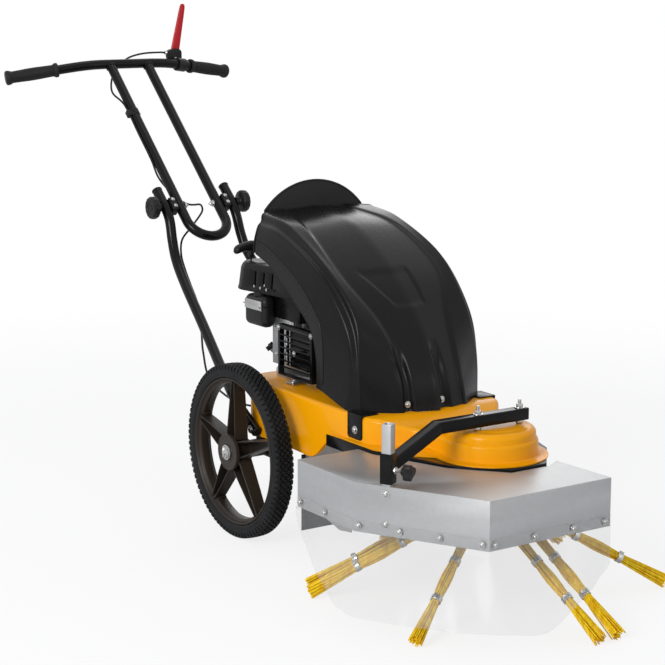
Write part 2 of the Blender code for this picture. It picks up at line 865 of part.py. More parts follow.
def make_rear_guard():
    """A steel wall behind the brush with a wing at each side, hung inside the skirts."""
    half = DECK_HALF_WIDTH - DECK_SHEET - SEAT_GAP
    back = REAR_WALL_X
    end = half - GUARD_SHEET / 2
    start = back + GUARD_SHEET / 2
    wall = box((back, -end, REAR_WALL_BOTTOM), (back + GUARD_SHEET, end, REAR_WALL_TOP))
    for side in (-1, 1):
        outline = [
            (start, REAR_WALL_TOP - 0.010),
            (start, REAR_WALL_BOTTOM - 0.002),
            (WING_END - 0.045, WING_BOTTOM),
            (WING_END, WING_BOTTOM + 0.006),
            (WING_END, 0.150),
            (WING_END - 0.100, 0.225),
            (start + WING_TAB, SKIRT_BOTTOM + 0.002),
            (start + WING_TAB, REAR_WALL_TOP - 0.010),
        ]
        wing = plate([outline], -GUARD_SHEET / 2, GUARD_SHEET / 2)
        wing.matrix_world = Matrix.Translation(
            (0, side * (half - GUARD_SHEET / 2), 0)
        ) @ Matrix.Rotation(math.pi / 2, 4, "X")
        wall = joined(wall, baked(wing))
    finish(wall, "rear_guard", "galvanised", smooth=False)


def make_rear_flap():
    front = REAR_WALL_X - SEAT_GAP
    flap = box(
        (front - FLAP_THICKNESS, -FLAP_HALF_WIDTH, FLAP_BOTTOM),
        (front, FLAP_HALF_WIDTH, SKIRT_BOTTOM - 0.003),
    )
    finish(flap, "rear_flap", "black_rubber", smooth=False)


# Belt drive and brush spindle


def pulley(centre, core, bore, steps):
    half = PULLEY_HEIGHT / 2
    groove = BELT_HEIGHT / 2 + SEAT_GAP
    lip = core + PULLEY_LIP
    return turned(
        [
            (lip, half),
            (lip, groove),
            (core, groove),
            (core, -groove),
            (lip, -groove),
            (lip, -half),
            (bore, -half),
            (bore, half),
        ],
        (*centre, BELT_Z),
        steps=steps,
    )


def belt_loop(grow, steps=12):
    """The path round both pulleys at a radius grown from their groove floors."""
    front = BRUSH_PULLEY_CORE + grow
    rear = ENGINE_PULLEY_CORE + grow
    span = BRUSH_X - CRANK_X
    lean = math.acos((front - rear) / span)
    loop = []
    for step in range(steps + 1):
        angle = -lean + 2 * lean * step / steps
        loop.append((BRUSH_X + front * math.cos(angle), front * math.sin(angle)))
    for step in range(steps + 1):
        angle = lean + (math.tau - 2 * lean) * step / steps
        loop.append((CRANK_X + rear * math.cos(angle), rear * math.sin(angle)))
    return loop


def make_belt_drive():
    half = BELT_HEIGHT / 2
    belt = plate(
        [belt_loop(0.001 + BELT_DEPTH), belt_loop(0.001)], BELT_Z - half, BELT_Z + half
    )
    finish(belt, "drive_belt", "black_rubber", smooth=False)

    shaft_foot = BELT_Z - PULLEY_HEIGHT / 2 - 0.004
    shaft = rod((CRANK_X, 0, shaft_foot), (CRANK_X, 0, CRANK_TOP), CRANK_RADIUS, 16)
    place_origin(finish(shaft, "crankshaft", "zinc_steel"), (CRANK_X, 0, BELT_Z))
    small = pulley((CRANK_X, 0), ENGINE_PULLEY_CORE, CRANK_RADIUS + SEAT_GAP, 16)
    place_origin(finish(small, "engine_pulley", "cast_aluminium"), (CRANK_X, 0, BELT_Z))

    large = pulley((BRUSH_X, 0), BRUSH_PULLEY_CORE, SPINDLE_RADIUS + SEAT_GAP, 20)
    place_origin(finish(large, "brush_pulley", "cast_aluminium"), (BRUSH_X, 0, BELT_Z))


def idler_centre():
    return (
        IDLER_PIVOT[0] + IDLER_ARM_LENGTH * math.cos(IDLER_ARM_ANGLE),
        IDLER_PIVOT[1] + IDLER_ARM_LENGTH * math.sin(IDLER_ARM_ANGLE),
    )


def make_idler():
    """The tensioning arm on its pivot bolt, and the flat roller that it carries."""
    centre = idler_centre()
    low = BELT_Z - PULLEY_HEIGHT / 2 - 0.001 - IDLER_ARM_THICKNESS
    high = low + IDLER_ARM_THICKNESS
    along = Vector(centre) - Vector(IDLER_PIVOT)
    across = Vector((-along.y, along.x)).normalized()
    outline = []
    start = math.atan2(along.y, along.x)
    for middle, offset in ((Vector(IDLER_PIVOT), math.pi / 2), (Vector(centre), -math.pi / 2)):
        for step in range(5):
            angle = start + offset + math.pi * step / 4
            outline.append(
                (middle.x + 0.012 * math.cos(angle), middle.y + 0.012 * math.sin(angle))
            )
    arm = plate([outline], low, high)
    tail_end = Vector(IDLER_PIVOT) - across * 0.034 - along.normalized() * 0.004
    tail_start = Vector(IDLER_PIVOT) - across * 0.004
    tail = rod((*tail_start, (low + high) / 2), (*tail_end, (low + high) / 2), 0.0022, 8)
    arm = joined(arm, tail)
    pivot_top = DECK_TOP + 0.004
    arm = joined(arm, rod((*IDLER_PIVOT, low + 0.001), (*IDLER_PIVOT, pivot_top),
                          IDLER_PIN_RADIUS, 8))
    pin_top = BELT_Z + PULLEY_HEIGHT / 2 - 0.002
    arm = joined(arm, rod((*centre, low + 0.001), (*centre, pin_top), IDLER_PIN_RADIUS, 8))
    place_origin(finish(arm, "idler_arm", "zinc_steel"), (*IDLER_PIVOT, BELT_Z))
    roller = turned(
        [
            (IDLER_CORE + 0.004, PULLEY_HEIGHT / 2),
            (IDLER_CORE, PULLEY_HEIGHT / 2 - 0.004),
            (IDLER_CORE, -PULLEY_HEIGHT / 2 + 0.004),
            (IDLER_CORE + 0.004, -PULLEY_HEIGHT / 2),
            (IDLER_PIN_RADIUS + RUNNING_GAP, -PULLEY_HEIGHT / 2),
            (IDLER_PIN_RADIUS + RUNNING_GAP, PULLEY_HEIGHT / 2),
        ],
        (*centre, BELT_Z),
        steps=16,
    )
    place_origin(finish(roller, "idler_pulley", "black_plastic"), (*centre, BELT_Z))


def bundle_length():
    return (BUNDLE_REACH - HUB_APOTHEM) / math.cos(BUNDLE_SLOPE)


def strand_pattern():
    """Each strand's share of the bundle's radius, and its turn, in a sunflower pattern."""
    golden = math.pi * (3 - math.sqrt(5))
    return [
        (math.sqrt((index + 0.5) / STRANDS_IN_BUNDLE), index * golden)
        for index in range(STRANDS_IN_BUNDLE)
    ]


def strand_corner(share, turn, spread, corner):
    """A corner of a three-sided strand, sideways and square to its bundle."""
    reach = (spread - STRAND_RADIUS) * share
    angle = turn + math.tau * corner / 3
    return (
        reach * math.cos(turn) + STRAND_RADIUS * math.cos(angle),
        reach * math.sin(turn) + STRAND_RADIUS * math.sin(angle),
    )


def hub_height():
    """The height at which the bundles leave the hub, so that their tips meet the floor."""
    lowest = min(
        strand_corner(share, turn, TIP_RADIUS, corner)[1]
        for share, turn in strand_pattern()
        for corner in range(3)
    )
    return bundle_length() * math.sin(BUNDLE_SLOPE) - lowest * math.cos(BUNDLE_SLOPE) - TIP_FLAT


def spindle_top():
    return BELT_Z + PULLEY_HEIGHT / 2 + 0.004


def housing_top():
    return BELT_Z - PULLEY_HEIGHT / 2 - 0.006


def hub_top():
    return hub_height() + 0.018


def make_spindle():
    top = housing_top()
    bottom = hub_top() + 0.004
    bore = BEARING_RADIUS + SEAT_GAP
    housing = turned(
        [
            (HOUSING_FLANGE_RADIUS, top),
            (HOUSING_FLANGE_RADIUS, top - 0.006),
            (HOUSING_RADIUS + 0.020, top - 0.006),
            (HOUSING_RADIUS, top - 0.016),
            (HOUSING_RADIUS, bottom),
            (bore, bottom),
            (bore, top),
        ],
        (BRUSH_X, 0, 0),
        steps=20,
    )
    holes = [
        rod((ARM_X, side * ARM_BOLT_Y, top - 0.03), (ARM_X, side * ARM_BOLT_Y, top + 0.01),
            ARM_BOLT_RADIUS + SEAT_GAP, 8)
        for side in (-1, 1)
    ]
    finish(cut(housing, merged(*holes)), "spindle_housing", "cast_aluminium")
    low, high = bottom + SEAT_GAP, top - SEAT_GAP
    inner = SPINDLE_RADIUS + RUNNING_GAP
    cartridge = turned(
        [
            (BEARING_RADIUS, high),
            (BEARING_RADIUS, low),
            (inner, low),
            (inner, high),
        ],
        (BRUSH_X, 0, 0),
        steps=20,
    )
    finish(cartridge, "spindle_bearing", "zinc_steel")
    foot = hub_height() - 0.020
    spindle = rod((BRUSH_X, 0, foot), (BRUSH_X, 0, spindle_top()), SPINDLE_RADIUS, 16)
    spindle = joined(
        spindle, rod((BRUSH_X, 0, foot - 0.002), (BRUSH_X, 0, foot + 0.009), 0.015, 6)
    )
    place_origin(finish(spindle, "spindle", "zinc_steel"), (BRUSH_X, 0, BELT_Z))


def make_brush_hub():
    """A six-sided hub whose sloping sides carry the bundles square to their backs."""
    top, bottom = hub_top(), hub_height() - 0.010
    loops = []
    for z in (bottom, top):
        apothem = HUB_APOTHEM + (z - hub_height()) * math.tan(BUNDLE_SLOPE)
        corner = apothem / math.cos(math.pi / 6)
        loops.append([(BRUSH_X + x, y, z) for x, y in circle((0, 0), corner, 6, math.pi / 6)])
    hub = loft(loops)
    hub = cut(hub, rod((BRUSH_X, 0, bottom - 0.02), (BRUSH_X, 0, hub_height() - 0.001), 0.058, 24))
    hub = cut(hub, rod((BRUSH_X, 0, bottom - 0.01), (BRUSH_X, 0, top + 0.01),
                       SPINDLE_RADIUS + SEAT_GAP, 16))
    place_origin(finish(hub, "brush_hub", "black_paint", smooth=False), (BRUSH_X, 0, BELT_Z))


def bundle_frame(heading, offset):
    """The place and directions of a bundle: its back, along, sideways and square to both."""
    out = Vector((math.cos(heading), math.sin(heading), 0))
    side = Vector((-out.y, out.x, 0))
    along = out * math.cos(BUNDLE_SLOPE) - Vector((0, 0, math.sin(BUNDLE_SLOPE)))
    square = along.cross(side).normalized()
    if square.z < 0:
        square = -square
    back = Vector((BRUSH_X, 0, hub_height())) + out * HUB_APOTHEM + side * offset
    return back, along, side, square


def strand_stations():
    """Distances along a strand with the bundle's radius at each: straight, then flared."""
    waist = (WAIST_REACH - HUB_APOTHEM) / math.cos(BUNDLE_SLOPE)
    return (
        (BACKING_THICKNESS * 0.5, WAIST_RADIUS + 0.0008),
        (waist, WAIST_RADIUS),
        (bundle_length(), TIP_RADIUS),
    )


def make_strands(heading, offset):
    """Three-sided strands in a sunflower pattern, running from the backing to the floor."""
    back, along, side, square = bundle_frame(heading, offset)
    start = back + along * SEAT_GAP
    strands = bmesh.new()
    for share, turn in strand_pattern():
        rings = []
        for distance, spread in strand_stations():
            middle = start + along * distance
            ring = []
            for corner in range(3):
                a, b = strand_corner(share, turn, spread, corner)
                place = middle + side * a + square * b
                place.z = max(place.z, 0.0)
                ring.append(strands.verts.new(place))
            rings.append(ring)
        for a, b in zip(rings, rings[1:]):
            for i in range(3):
                j = (i + 1) % 3
                strands.faces.new((a[i], a[j], b[j], b[i]))
        strands.faces.new(list(reversed(rings[0])))
        strands.faces.new(rings[-1])
    return outward(from_bmesh(strands))


def make_backing(heading, offsets):
    """The slice that the strands are fused to: a disc, or one long slice for a pair."""
    back, along, side, square = bundle_frame(heading, 0.0)
    start = back + along * SEAT_GAP
    outline = []
    for start_angle, offset in ((-math.pi / 2, max(offsets)), (math.pi / 2, min(offsets))):
        for step in range(7):
            angle = start_angle + math.pi * step / 6
            outline.append((offset + BACKING_RADIUS * math.cos(angle),
                            BACKING_RADIUS * math.sin(angle)))
    if len(offsets) == 1:
        outline = circle((0, 0), BACKING_RADIUS, 12)
    loops = []
    for depth in (0.0, BACKING_THICKNESS):
        loops.append([tuple(start + along * depth + side * a + square * b) for a, b in outline])
    return loft(loops)


BUNDLE_GROUPS = (
    ("bristles_front_pair", 0, (-0.5, 0.5)),
    ("bristles_left_pair", 120, (-0.5, 0.5)),
    ("bristles_right_pair", -120, (-0.5, 0.5)),
    ("bristles_left_single", 60, (0.0,)),
    ("bristles_right_single", -60, (0.0,)),
    ("bristles_rear_single", 180, (0.0,)),
)


def make_bristles():
    for name, degrees, shares in BUNDLE_GROUPS:
        heading = math.radians(degrees)
        offsets = [share * PAIR_SPACING for share in shares]
        group = make_backing(heading, offsets)
        for offset in offsets:
            # The exact solver leaves some of this many small roots unconnected.
            group = boolean(group, make_strands(heading, offset), "UNION", "MANIFOLD")
        node = finish(group, name, "yellow_strand", smooth=False)
        place_origin(node, (BRUSH_X, 0, BELT_Z))


# Hood, curtain and post


HOOD_CORNERS = [(0.430, -0.346), (0.636, -0.346), (0.887, -0.211), (0.887, 0.092)]
HOOD_LEFT_CORNER = (0.729, 0.086)
HOOD_GUARD_GAP = 0.006


def hood_inner_edge():
    """The plate's inner edge follows the guard plate, a small gap outside it."""
    outline = offset_outline(guard_outline(), HOOD_GUARD_GAP)
    right = [(x, -y) for x, y in outline]
    right[0] = (HOOD_CORNERS[0][0], right[1][1])
    nose_x = right[-1][0]
    return right + [(nose_x, -right[-1][1])]


def make_hood():
    """A folded sheet: a flat top with three walls turned down from its outer edges."""
    shape = bmesh.new()
    outer = HOOD_CORNERS
    inner = hood_inner_edge()
    loop = outer + [HOOD_LEFT_CORNER] + list(reversed(inner))
    top = [shape.verts.new((x, y, HOOD_TOP)) for x, y in loop]
    bottom = [shape.verts.new((x, y, HOOD_TOP - HOOD_HEIGHT)) for x, y in outer]
    shape.faces.new(top)
    for i in range(3):
        shape.faces.new((top[i + 1], top[i], bottom[i], bottom[i + 1]))
    bmesh.ops.recalc_face_normals(shape, faces=shape.faces)
    if shape.faces[0].normal.z < 0:
        bmesh.ops.reverse_faces(shape, faces=shape.faces)
    mesh = bpy.data.meshes.new("hood")
    shape.to_mesh(mesh)
    shape.free()
    hood = loose(mesh)
    sheet = hood.modifiers.new("sheet", "SOLIDIFY")
    sheet.thickness = HOOD_SHEET
    sheet.offset = -1
    sheet.use_even_offset = True
    hood = outward(baked(hood))
    place, along, inward = post_frame()
    reach = POST_SIDE / 2 + SEAT_GAP
    hole = oriented_box(place, along, inward, reach, reach, 0.26, 0.32)
    hood = cut(hood, hole)
    finish(hood, "shield_hood", "galvanised", smooth=False)


def wall_frame():
    """The slanting wall's start, its direction and the direction into the hood."""
    b, c = Vector(HOOD_CORNERS[1]), Vector(HOOD_CORNERS[2])
    along = (c - b).normalized()
    inward = Vector((-along.y, along.x))
    return b, Vector((along.x, along.y, 0)), Vector((inward.x, inward.y, 0))


def post_frame():
    b, along, inward = wall_frame()
    depth = HOOD_SHEET + SEAT_GAP + POST_SIDE / 2
    place = Vector((b.x, b.y, 0)) + along * POST_ALONG_WALL + inward * depth
    return place, along, inward


def oriented_box(place, along, inward, half_along, half_in, low, high):
    loops = []
    for z in (low, high):
        loop = []
        for a, i in ((-1, -1), (1, -1), (1, 1), (-1, 1)):
            corner = place + along * a * half_along + inward * i * half_in
            loop.append((corner.x, corner.y, z))
        loops.append(loop)
    return loft(loops)


def make_post():
    place, along, inward = post_frame()
    half = POST_SIDE / 2
    post = oriented_box(place, along, inward, half, half, POST_BOTTOM, POST_TOP)
    bore = half - 0.002
    post = cut(post, oriented_box(place, along, inward, bore, bore,
                                  POST_BOTTOM - 0.01, POST_TOP + 0.01))
    finish(post, "shield_post", "galvanised", smooth=False)


def curtain_lower_edge():
    """The lower edge, from the right rear corner round the front to the left end."""
    heights = (0.178, 0.098, CURTAIN_BOTTOM, CURTAIN_BOTTOM, CURTAIN_BOTTOM, CURTAIN_BOTTOM,
               CURTAIN_BOTTOM, 0.108, 0.115)
    headings = (-119.5, -109, -83, -65, -48, -34, -22, -5, 19.5)
    reaches = (0.398, 0.380, CURTAIN_REACH, CURTAIN_REACH, CURTAIN_REACH, CURTAIN_REACH,
               0.404, 0.350, 0.283)
    edge = []
    for height, heading, reach in zip(heights, headings, reaches):
        angle = math.radians(heading)
        edge.append((BRUSH_X + reach * math.cos(angle), reach * math.sin(angle), height))
    return edge


def curtain_upper_edge():
    """Points along the hood's outer walls, one above each point of the lower edge."""
    a, b, c, d = [Vector(p) for p in HOOD_CORNERS]
    return [a, a.lerp(b, 0.5), b, b.lerp(c, 0.35), b.lerp(c, 0.70), c, c.lerp(d, 0.25),
            c.lerp(d, 0.60), d]


def make_curtain():
    """A clear sheet lapped over the walls and pushed outwards below by the brush."""
    gap = SEAT_GAP + CURTAIN_SHEET
    lap_top = HOOD_TOP - HOOD_HEIGHT + CURTAIN_LAP
    lap_low = HOOD_TOP - HOOD_HEIGHT
    uppers = curtain_upper_edge()
    lowers = curtain_lower_edge()
    pushed = outset(uppers, gap)
    rows = [
        [(p.x, p.y, lap_top) for p in pushed],
        [(p.x, p.y, lap_low - 0.004) for p in pushed],
    ]
    for t in (0.35, 0.70, 1.0):
        row = []
        for upper, lower in zip(pushed, lowers):
            start = Vector((upper.x, upper.y, lap_low - 0.004))
            end = Vector(lower)
            bow = math.sin(math.pi * t) * 0.008
            place = start.lerp(end, t) + Vector((0, 0, bow))
            row.append(tuple(place))
        rows.append(row)
    shape = bmesh.new()
    grid = [[shape.verts.new(place) for place in row] for row in rows]
    for a, b in zip(grid, grid[1:]):
        for i in range(len(a) - 1):
            shape.faces.new((a[i], a[i + 1], b[i + 1], b[i]))
    bmesh.ops.recalc_face_normals(shape, faces=shape.faces)
    shape.faces.ensure_lookup_table()
    middle = shape.faces[3]
    outwards = middle.calc_center_median() - Vector((BRUSH_X, 0, 0.2))
    if middle.normal.dot(outwards) < 0:
        bmesh.ops.reverse_faces(shape, faces=shape.faces)
    mesh = bpy.data.meshes.new("curtain")
    shape.to_mesh(mesh)
    shape.free()
    curtain = loose(mesh)
    sheet = curtain.modifiers.new("sheet", "SOLIDIFY")
    sheet.thickness = CURTAIN_SHEET
    sheet.offset = -1
    curtain = outward(baked(curtain))
    finish(curtain, "curtain", "clear_sheet")


def outset(points, distance):
    """Moves an open outline to its right-hand, outer side by a distance."""
    moved = []
    for i, point in enumerate(points):
        normals = []
        for a, b in ((i - 1, i), (i, i + 1)):
            if a >= 0 and b < len(points):
                step = (points[b] - points[a]).normalized()
                normals.append(Vector((step.y, -step.x)))
        total = sum(normals, Vector((0, 0))).normalized()
        moved.append(point + total * distance / total.dot(normals[0]))
    return moved


def make_guard_arm():
    """A square tube over the turret, bent down to a sleeve round the hood's post."""
    half = ARM_SIDE / 2
    top = ARM_BOTTOM + ARM_SIDE
    middle = ARM_BOTTOM + half
    level = box((ARM_X - half, ARM_BEND_Y, ARM_BOTTOM), (ARM_X + half, ARM_END_Y, top))
    place, along, inward = post_frame()
    sleeve_half = half
    end = place + inward * (sleeve_half - 0.002)
    sections = []
    for x, y, z in ((ARM_X, ARM_BEND_Y + 0.004, middle), (end.x, end.y, 0.330)):
        sections.append(Vector((x, y, z)))
    run = (sections[1] - sections[0]).normalized()
    wide = Vector((1, 0, 0))
    up = run.cross(wide).normalized()
    if up.z < 0:
        up = -up
    wide = up.cross(run).normalized()
    loops = []
    for centre in sections:
        loops.append(
            [tuple(centre + wide * a * half + up * u * half)
             for a, u in ((-1, -1), (1, -1), (1, 1), (-1, 1))]
        )
    arm = joined(level, loft(loops))
    sleeve = oriented_box(place, along, inward, sleeve_half, sleeve_half,
                          SLEEVE_BOTTOM, SLEEVE_TOP)
    arm = joined(arm, sleeve)
    bore = POST_SIDE / 2 + SEAT_GAP
    arm = cut(arm, oriented_box(place, along, inward, bore, bore, 0.28, 0.42))
    holes = [
        rod((ARM_X, side * ARM_BOLT_Y, ARM_BOTTOM - 0.01), (ARM_X, side * ARM_BOLT_Y, top + 0.01),
            ARM_BOLT_RADIUS + SEAT_GAP, 8)
        for side in (-1, 1)
    ]
    knob_start, knob_axis = shield_knob_line()
    holes.append(rod(knob_start, knob_start + knob_axis * 0.03, 0.0043, 8))
    arm = cut(arm, merged(*holes))
    finish(arm, "guard_arm", "black_paint", smooth=False)


def shield_knob_line():
    """The clamp screw's line: from the post out through the sleeve along the wall."""
    place, along, _ = post_frame()
    start = Vector((place.x, place.y, SHIELD_KNOB_Z)) + along * (POST_SIDE / 2 + RUNNING_GAP)
    return start, along


SHIELD_KNOB_Z = 0.322


def knob_outline(radius, dip, lobes, count):
    outline = []
    for i in range(count):
        angle = math.tau * i / count
        reach = radius - dip * (0.5 - 0.5 * math.cos(lobes * angle))
        outline.append((reach * math.cos(angle), reach * math.sin(angle)))
    return outline


def make_shield_knob():
    start, axis = shield_knob_line()
    turn = Vector((0, 0, 1)).rotation_difference(axis).to_matrix().to_4x4()
    place = Matrix.Translation(start) @ turn
    screw = rod((0, 0, 0), (0, 0, 0.030), 0.004, 8)
    body = plate([knob_outline(0.0175, 0.006, 3, 18)], 0.026, 0.041)
    knob = joined(body, screw)
    collar = rod((0, 0, 0.020), (0, 0, 0.028), 0.009, 12)
    knob = joined(knob, collar)
    knob.matrix_world = place
    knob = baked(knob)
    place_origin(finish(knob, "shield_knob", "black_plastic"), start)


def make_arm_bolts():
    """Two long studs through the arm, the turret and the spindle housing."""
    foot = housing_top() - 0.016
    flange_low = housing_top() - 0.006 - SEAT_GAP
    arm_top = ARM_BOTTOM + ARM_SIDE + SEAT_GAP
    collars = (
        (arm_top, arm_top + 0.0075, 0.0075, 6),
        (TURRET_TOP + SEAT_GAP, ARM_BOTTOM - SEAT_GAP, 0.0075, 6),
        (housing_top() + SEAT_GAP, TURRET_TOP - DECK_SHEET - SEAT_GAP, 0.006, 8),
        (flange_low - 0.006, flange_low, 0.0075, 6),
    )
    for side, word in ((-1, "right"), (1, "left")):
        centre = (ARM_X, side * ARM_BOLT_Y)
        stud = rod((*centre, foot), (*centre, ARM_BOLT_TOP), ARM_BOLT_RADIUS, 8)
        for low, high, radius, sides in collars:
            stud = joined(stud, rod((*centre, low), (*centre, high), radius, sides))
        finish(stud, f"arm_stud_{word}", "zinc_steel")


# Engine


def make_engine():
    block = turned(
        [
            (0.0, BLOCK_TOP),
            (BLOCK_RADIUS - 0.020, BLOCK_TOP),
            (BLOCK_RADIUS, BLOCK_TOP - 0.012),
            (BLOCK_RADIUS, DECK_TOP + 0.016),
            (BLOCK_BASE_RADIUS, DECK_TOP + 0.012),
            (BLOCK_BASE_RADIUS, DECK_TOP + SEAT_GAP),
            (0.0, DECK_TOP + SEAT_GAP),
        ],
        (CRANK_X, 0, 0),
        steps=20,
    )
    face = CYLINDER_FACE
    block = cut(block, box((-0.2, face - 0.10, DECK_TOP + 0.013), (0.2, face, BLOCK_TOP + 0.01)))
    filler = rod((-0.060, -0.054, 0.374), (-0.093, -0.083, 0.412), 0.011, 10)
    block = joined(block, filler)
    block = joined(block, rod((-0.089, -0.0795, 0.4055), (-0.096, -0.086, 0.4175), 0.015, 8))
    block = cut(block, rod((CRANK_X, 0, 0.34), (CRANK_X, 0, CRANK_TOP + 0.0005),
                           CRANK_RADIUS + RUNNING_GAP, 16))
    neck = turned(
        [
            (0.0, SHROUD_CEILING - SEAT_GAP),
            (0.030, SHROUD_CEILING - SEAT_GAP),
            (0.036, SHROUD_BOTTOM + 0.060),
            (0.055, SHROUD_BOTTOM + 0.060),
            (0.095, SHROUD_BOTTOM + 0.045),
            (0.100, SHROUD_BOTTOM + 0.004),
            (0.060, SHROUD_BOTTOM - 0.002),
            (0.045, BLOCK_TOP - 0.004),
            (0.0, BLOCK_TOP - 0.004),
        ],
        (CRANK_X, 0, 0),
        steps=20,
    )
    block = joined(block, neck)
    barrel = box((-0.055, face - 0.030, 0.385), (0.022, face + 0.004, 0.480))
    for i in range(3):
        y = face - 0.006 - i * 0.0095
        barrel = joined(barrel, box((-0.063, y - 0.0035, 0.378), (0.026, y, 0.488)))
    finish(joined(block, barrel), "engine_block", "cast_aluminium")


CYLINDER_FACE = -0.070


def hull_of_circles(circles, count):
    """The convex outline round several circles, by the furthest point in each direction."""
    outline = []
    for i in range(count):
        angle = math.tau * i / count
        heading = Vector((math.cos(angle), math.sin(angle)))
        best = max(circles, key=lambda c: Vector(c[0]).dot(heading) + c[1])
        place = Vector(best[0]) + heading * best[1]
        outline.append((place.x, place.y))
    return outline


def scaled_outline(outline, centre, factor):
    return [
        (centre[0] + (x - centre[0]) * factor, centre[1] + (y - centre[1]) * factor)
        for x, y in outline
    ]


def make_shroud():
    outline = hull_of_circles(
        [((CRANK_X, 0), SHROUD_RADIUS), ((LOBE_X, LOBE_Y), LOBE_RADIUS)], 28
    )
    centre = (-0.03, -0.02)
    top = scaled_outline(outline, centre, 0.92)
    loops = [
        [(x, y, SHROUD_BOTTOM) for x, y in outline],
        [(x, y, SHROUD_CEILING) for x, y in scaled_outline(outline, centre, 0.985)],
        [(x, y, SHROUD_TOP - 0.004) for x, y in scaled_outline(outline, centre, 0.96)],
        [(x, y, SHROUD_TOP) for x, y in top],
    ]
    shroud = loft(loops)
    inner = scaled_outline(outline, centre, 0.965)
    hollow = loft([
        [(x, y, SHROUD_BOTTOM - 0.01) for x, y in inner],
        [(x, y, SHROUD_CEILING) for x, y in scaled_outline(inner, centre, 0.97)],
    ])
    shroud = cut(shroud, hollow)
    slots = []
    for i in range(5):
        x = -0.135 + i * 0.022
        slots.append(box((x, -0.20, 0.548), (x + 0.006, -0.080, 0.588)))
    shroud = cut(shroud, merged(*slots))
    eye = rod((GRIP_X, GRIP_Y, 0.58), (GRIP_X, GRIP_Y, 0.62), CORD_RADIUS + SEAT_GAP, 8)
    shroud = cut(shroud, eye)
    recoil = turned(
        [
            (0.0, RECOIL_TOP),
            (0.035, RECOIL_TOP),
            (0.042, RECOIL_TOP - 0.006),
            (0.072, RECOIL_TOP - 0.010),
            (RECOIL_RADIUS - 0.004, RECOIL_TOP - 0.022),
            (RECOIL_RADIUS, SHROUD_TOP - 0.004),
            (0.0, SHROUD_TOP - 0.004),
        ],
        (CRANK_X, 0, 0),
        steps=20,
    )
    finish(joined(shroud, recoil), "fan_shroud", "black_plastic")


def make_starter():
    eye = SHROUD_TOP - 0.004
    cord = rod((GRIP_X, GRIP_Y, eye), (GRIP_X, GRIP_Y, eye + CORD_LENGTH), CORD_RADIUS, 8)
    finish(cord, "starter_cord", "black_rubber")
    low = eye + CORD_LENGTH + SEAT_GAP
    stem = rod((GRIP_X, GRIP_Y, low), (GRIP_X, GRIP_Y, low + 0.022), 0.008, 10)
    bar = []
    for y, drop, radius in (
        (-0.046, 0.010, 0.005),
        (-0.040, 0.007, 0.010),
        (-0.015, 0.001, 0.0125),
        (0.015, 0.001, 0.0125),
        (0.040, 0.007, 0.010),
        (0.046, 0.010, 0.005),
    ):
        loop = circle((0, 0), radius, 10)
        bar.append([(GRIP_X + a, GRIP_Y + y, low + 0.026 - drop + b) for a, b in loop])
    grip = joined(loft(bar), stem)
    place_origin(finish(grip, "starter_grip", "black_plastic"), (GRIP_X, GRIP_Y, low))


def make_intake():
    """The air filter box with its clip, beside the cylinder."""
    low, high = (-0.150, -0.136, 0.462), (-0.066, -0.074, 0.512)
    case = box(low, high, 0.008)
    clip = box((-0.1515, -0.1385, 0.494), (-0.070, -0.130, 0.508))
    case = joined(case, clip)
    throat = rod((-0.075, -0.100, 0.487), (-0.0635 - SEAT_GAP, -0.100, 0.487), 0.016, 12)
    finish(joined(case, throat), "air_filter", "black_plastic")


def make_fuel_tank():
    low, high = (-0.085, SHROUD_RADIUS + 0.004, 0.475), (0.085, 0.166, 0.560)
    tank = box(low, high, 0.014)
    neck = rod((0.0, 0.142, 0.555), (0.0, 0.142, 0.566), 0.017, 12)
    tank = joined(tank, neck)
    strap = box((-0.012, BLOCK_RADIUS + SEAT_GAP, 0.440), (0.012, 0.135, 0.4765))
    tank = joined(tank, strap)
    cap = rod((0.0, 0.142, 0.564), (0.0, 0.142, 0.578), 0.021, 12)
    finish(joined(tank, cap), "fuel_tank", "black_plastic")


def make_muffler():
    low, high = (0.030, -0.124, 0.388), (0.158, -0.092, 0.476)
    can = box(low, high, 0.008)
    flange = box((0.0263, -0.115, 0.415), (0.034, -0.098, 0.450))
    finish(joined(can, flange), "muffler", "zinc_steel", smooth=False)
    left, right = 0.0275, 0.168
    foot, head = 0.372, 0.488
    front, back = -0.140, -0.1245
    frame = box((left, front, foot), (right, back, head))
    frame = cut(frame, box((left + 0.006, front + 0.002, foot + 0.006),
                           (right - 0.006, back + 0.01, head - 0.006)))
    windows = []
    gap = (head - foot - 0.012) / 6
    for i in range(6):
        z = foot + 0.008 + i * gap
        for x0, x1 in ((left + 0.008, 0.092), (0.100, right - 0.008)):
            windows.append(box((x0, front - 0.01, z), (x1, front + 0.01, z + gap - 0.006)))
    frame = cut(frame, merged(*windows))
    middle = (0.096, (foot + head) / 2)
    boss = rod((middle[0], front + 0.001, middle[1]), (middle[0], low[1] - SEAT_GAP, middle[1]),
               0.0035, 8)
    finish(joined(frame, boss), "muffler_guard", "black_paint", smooth=False)


# Engine cover


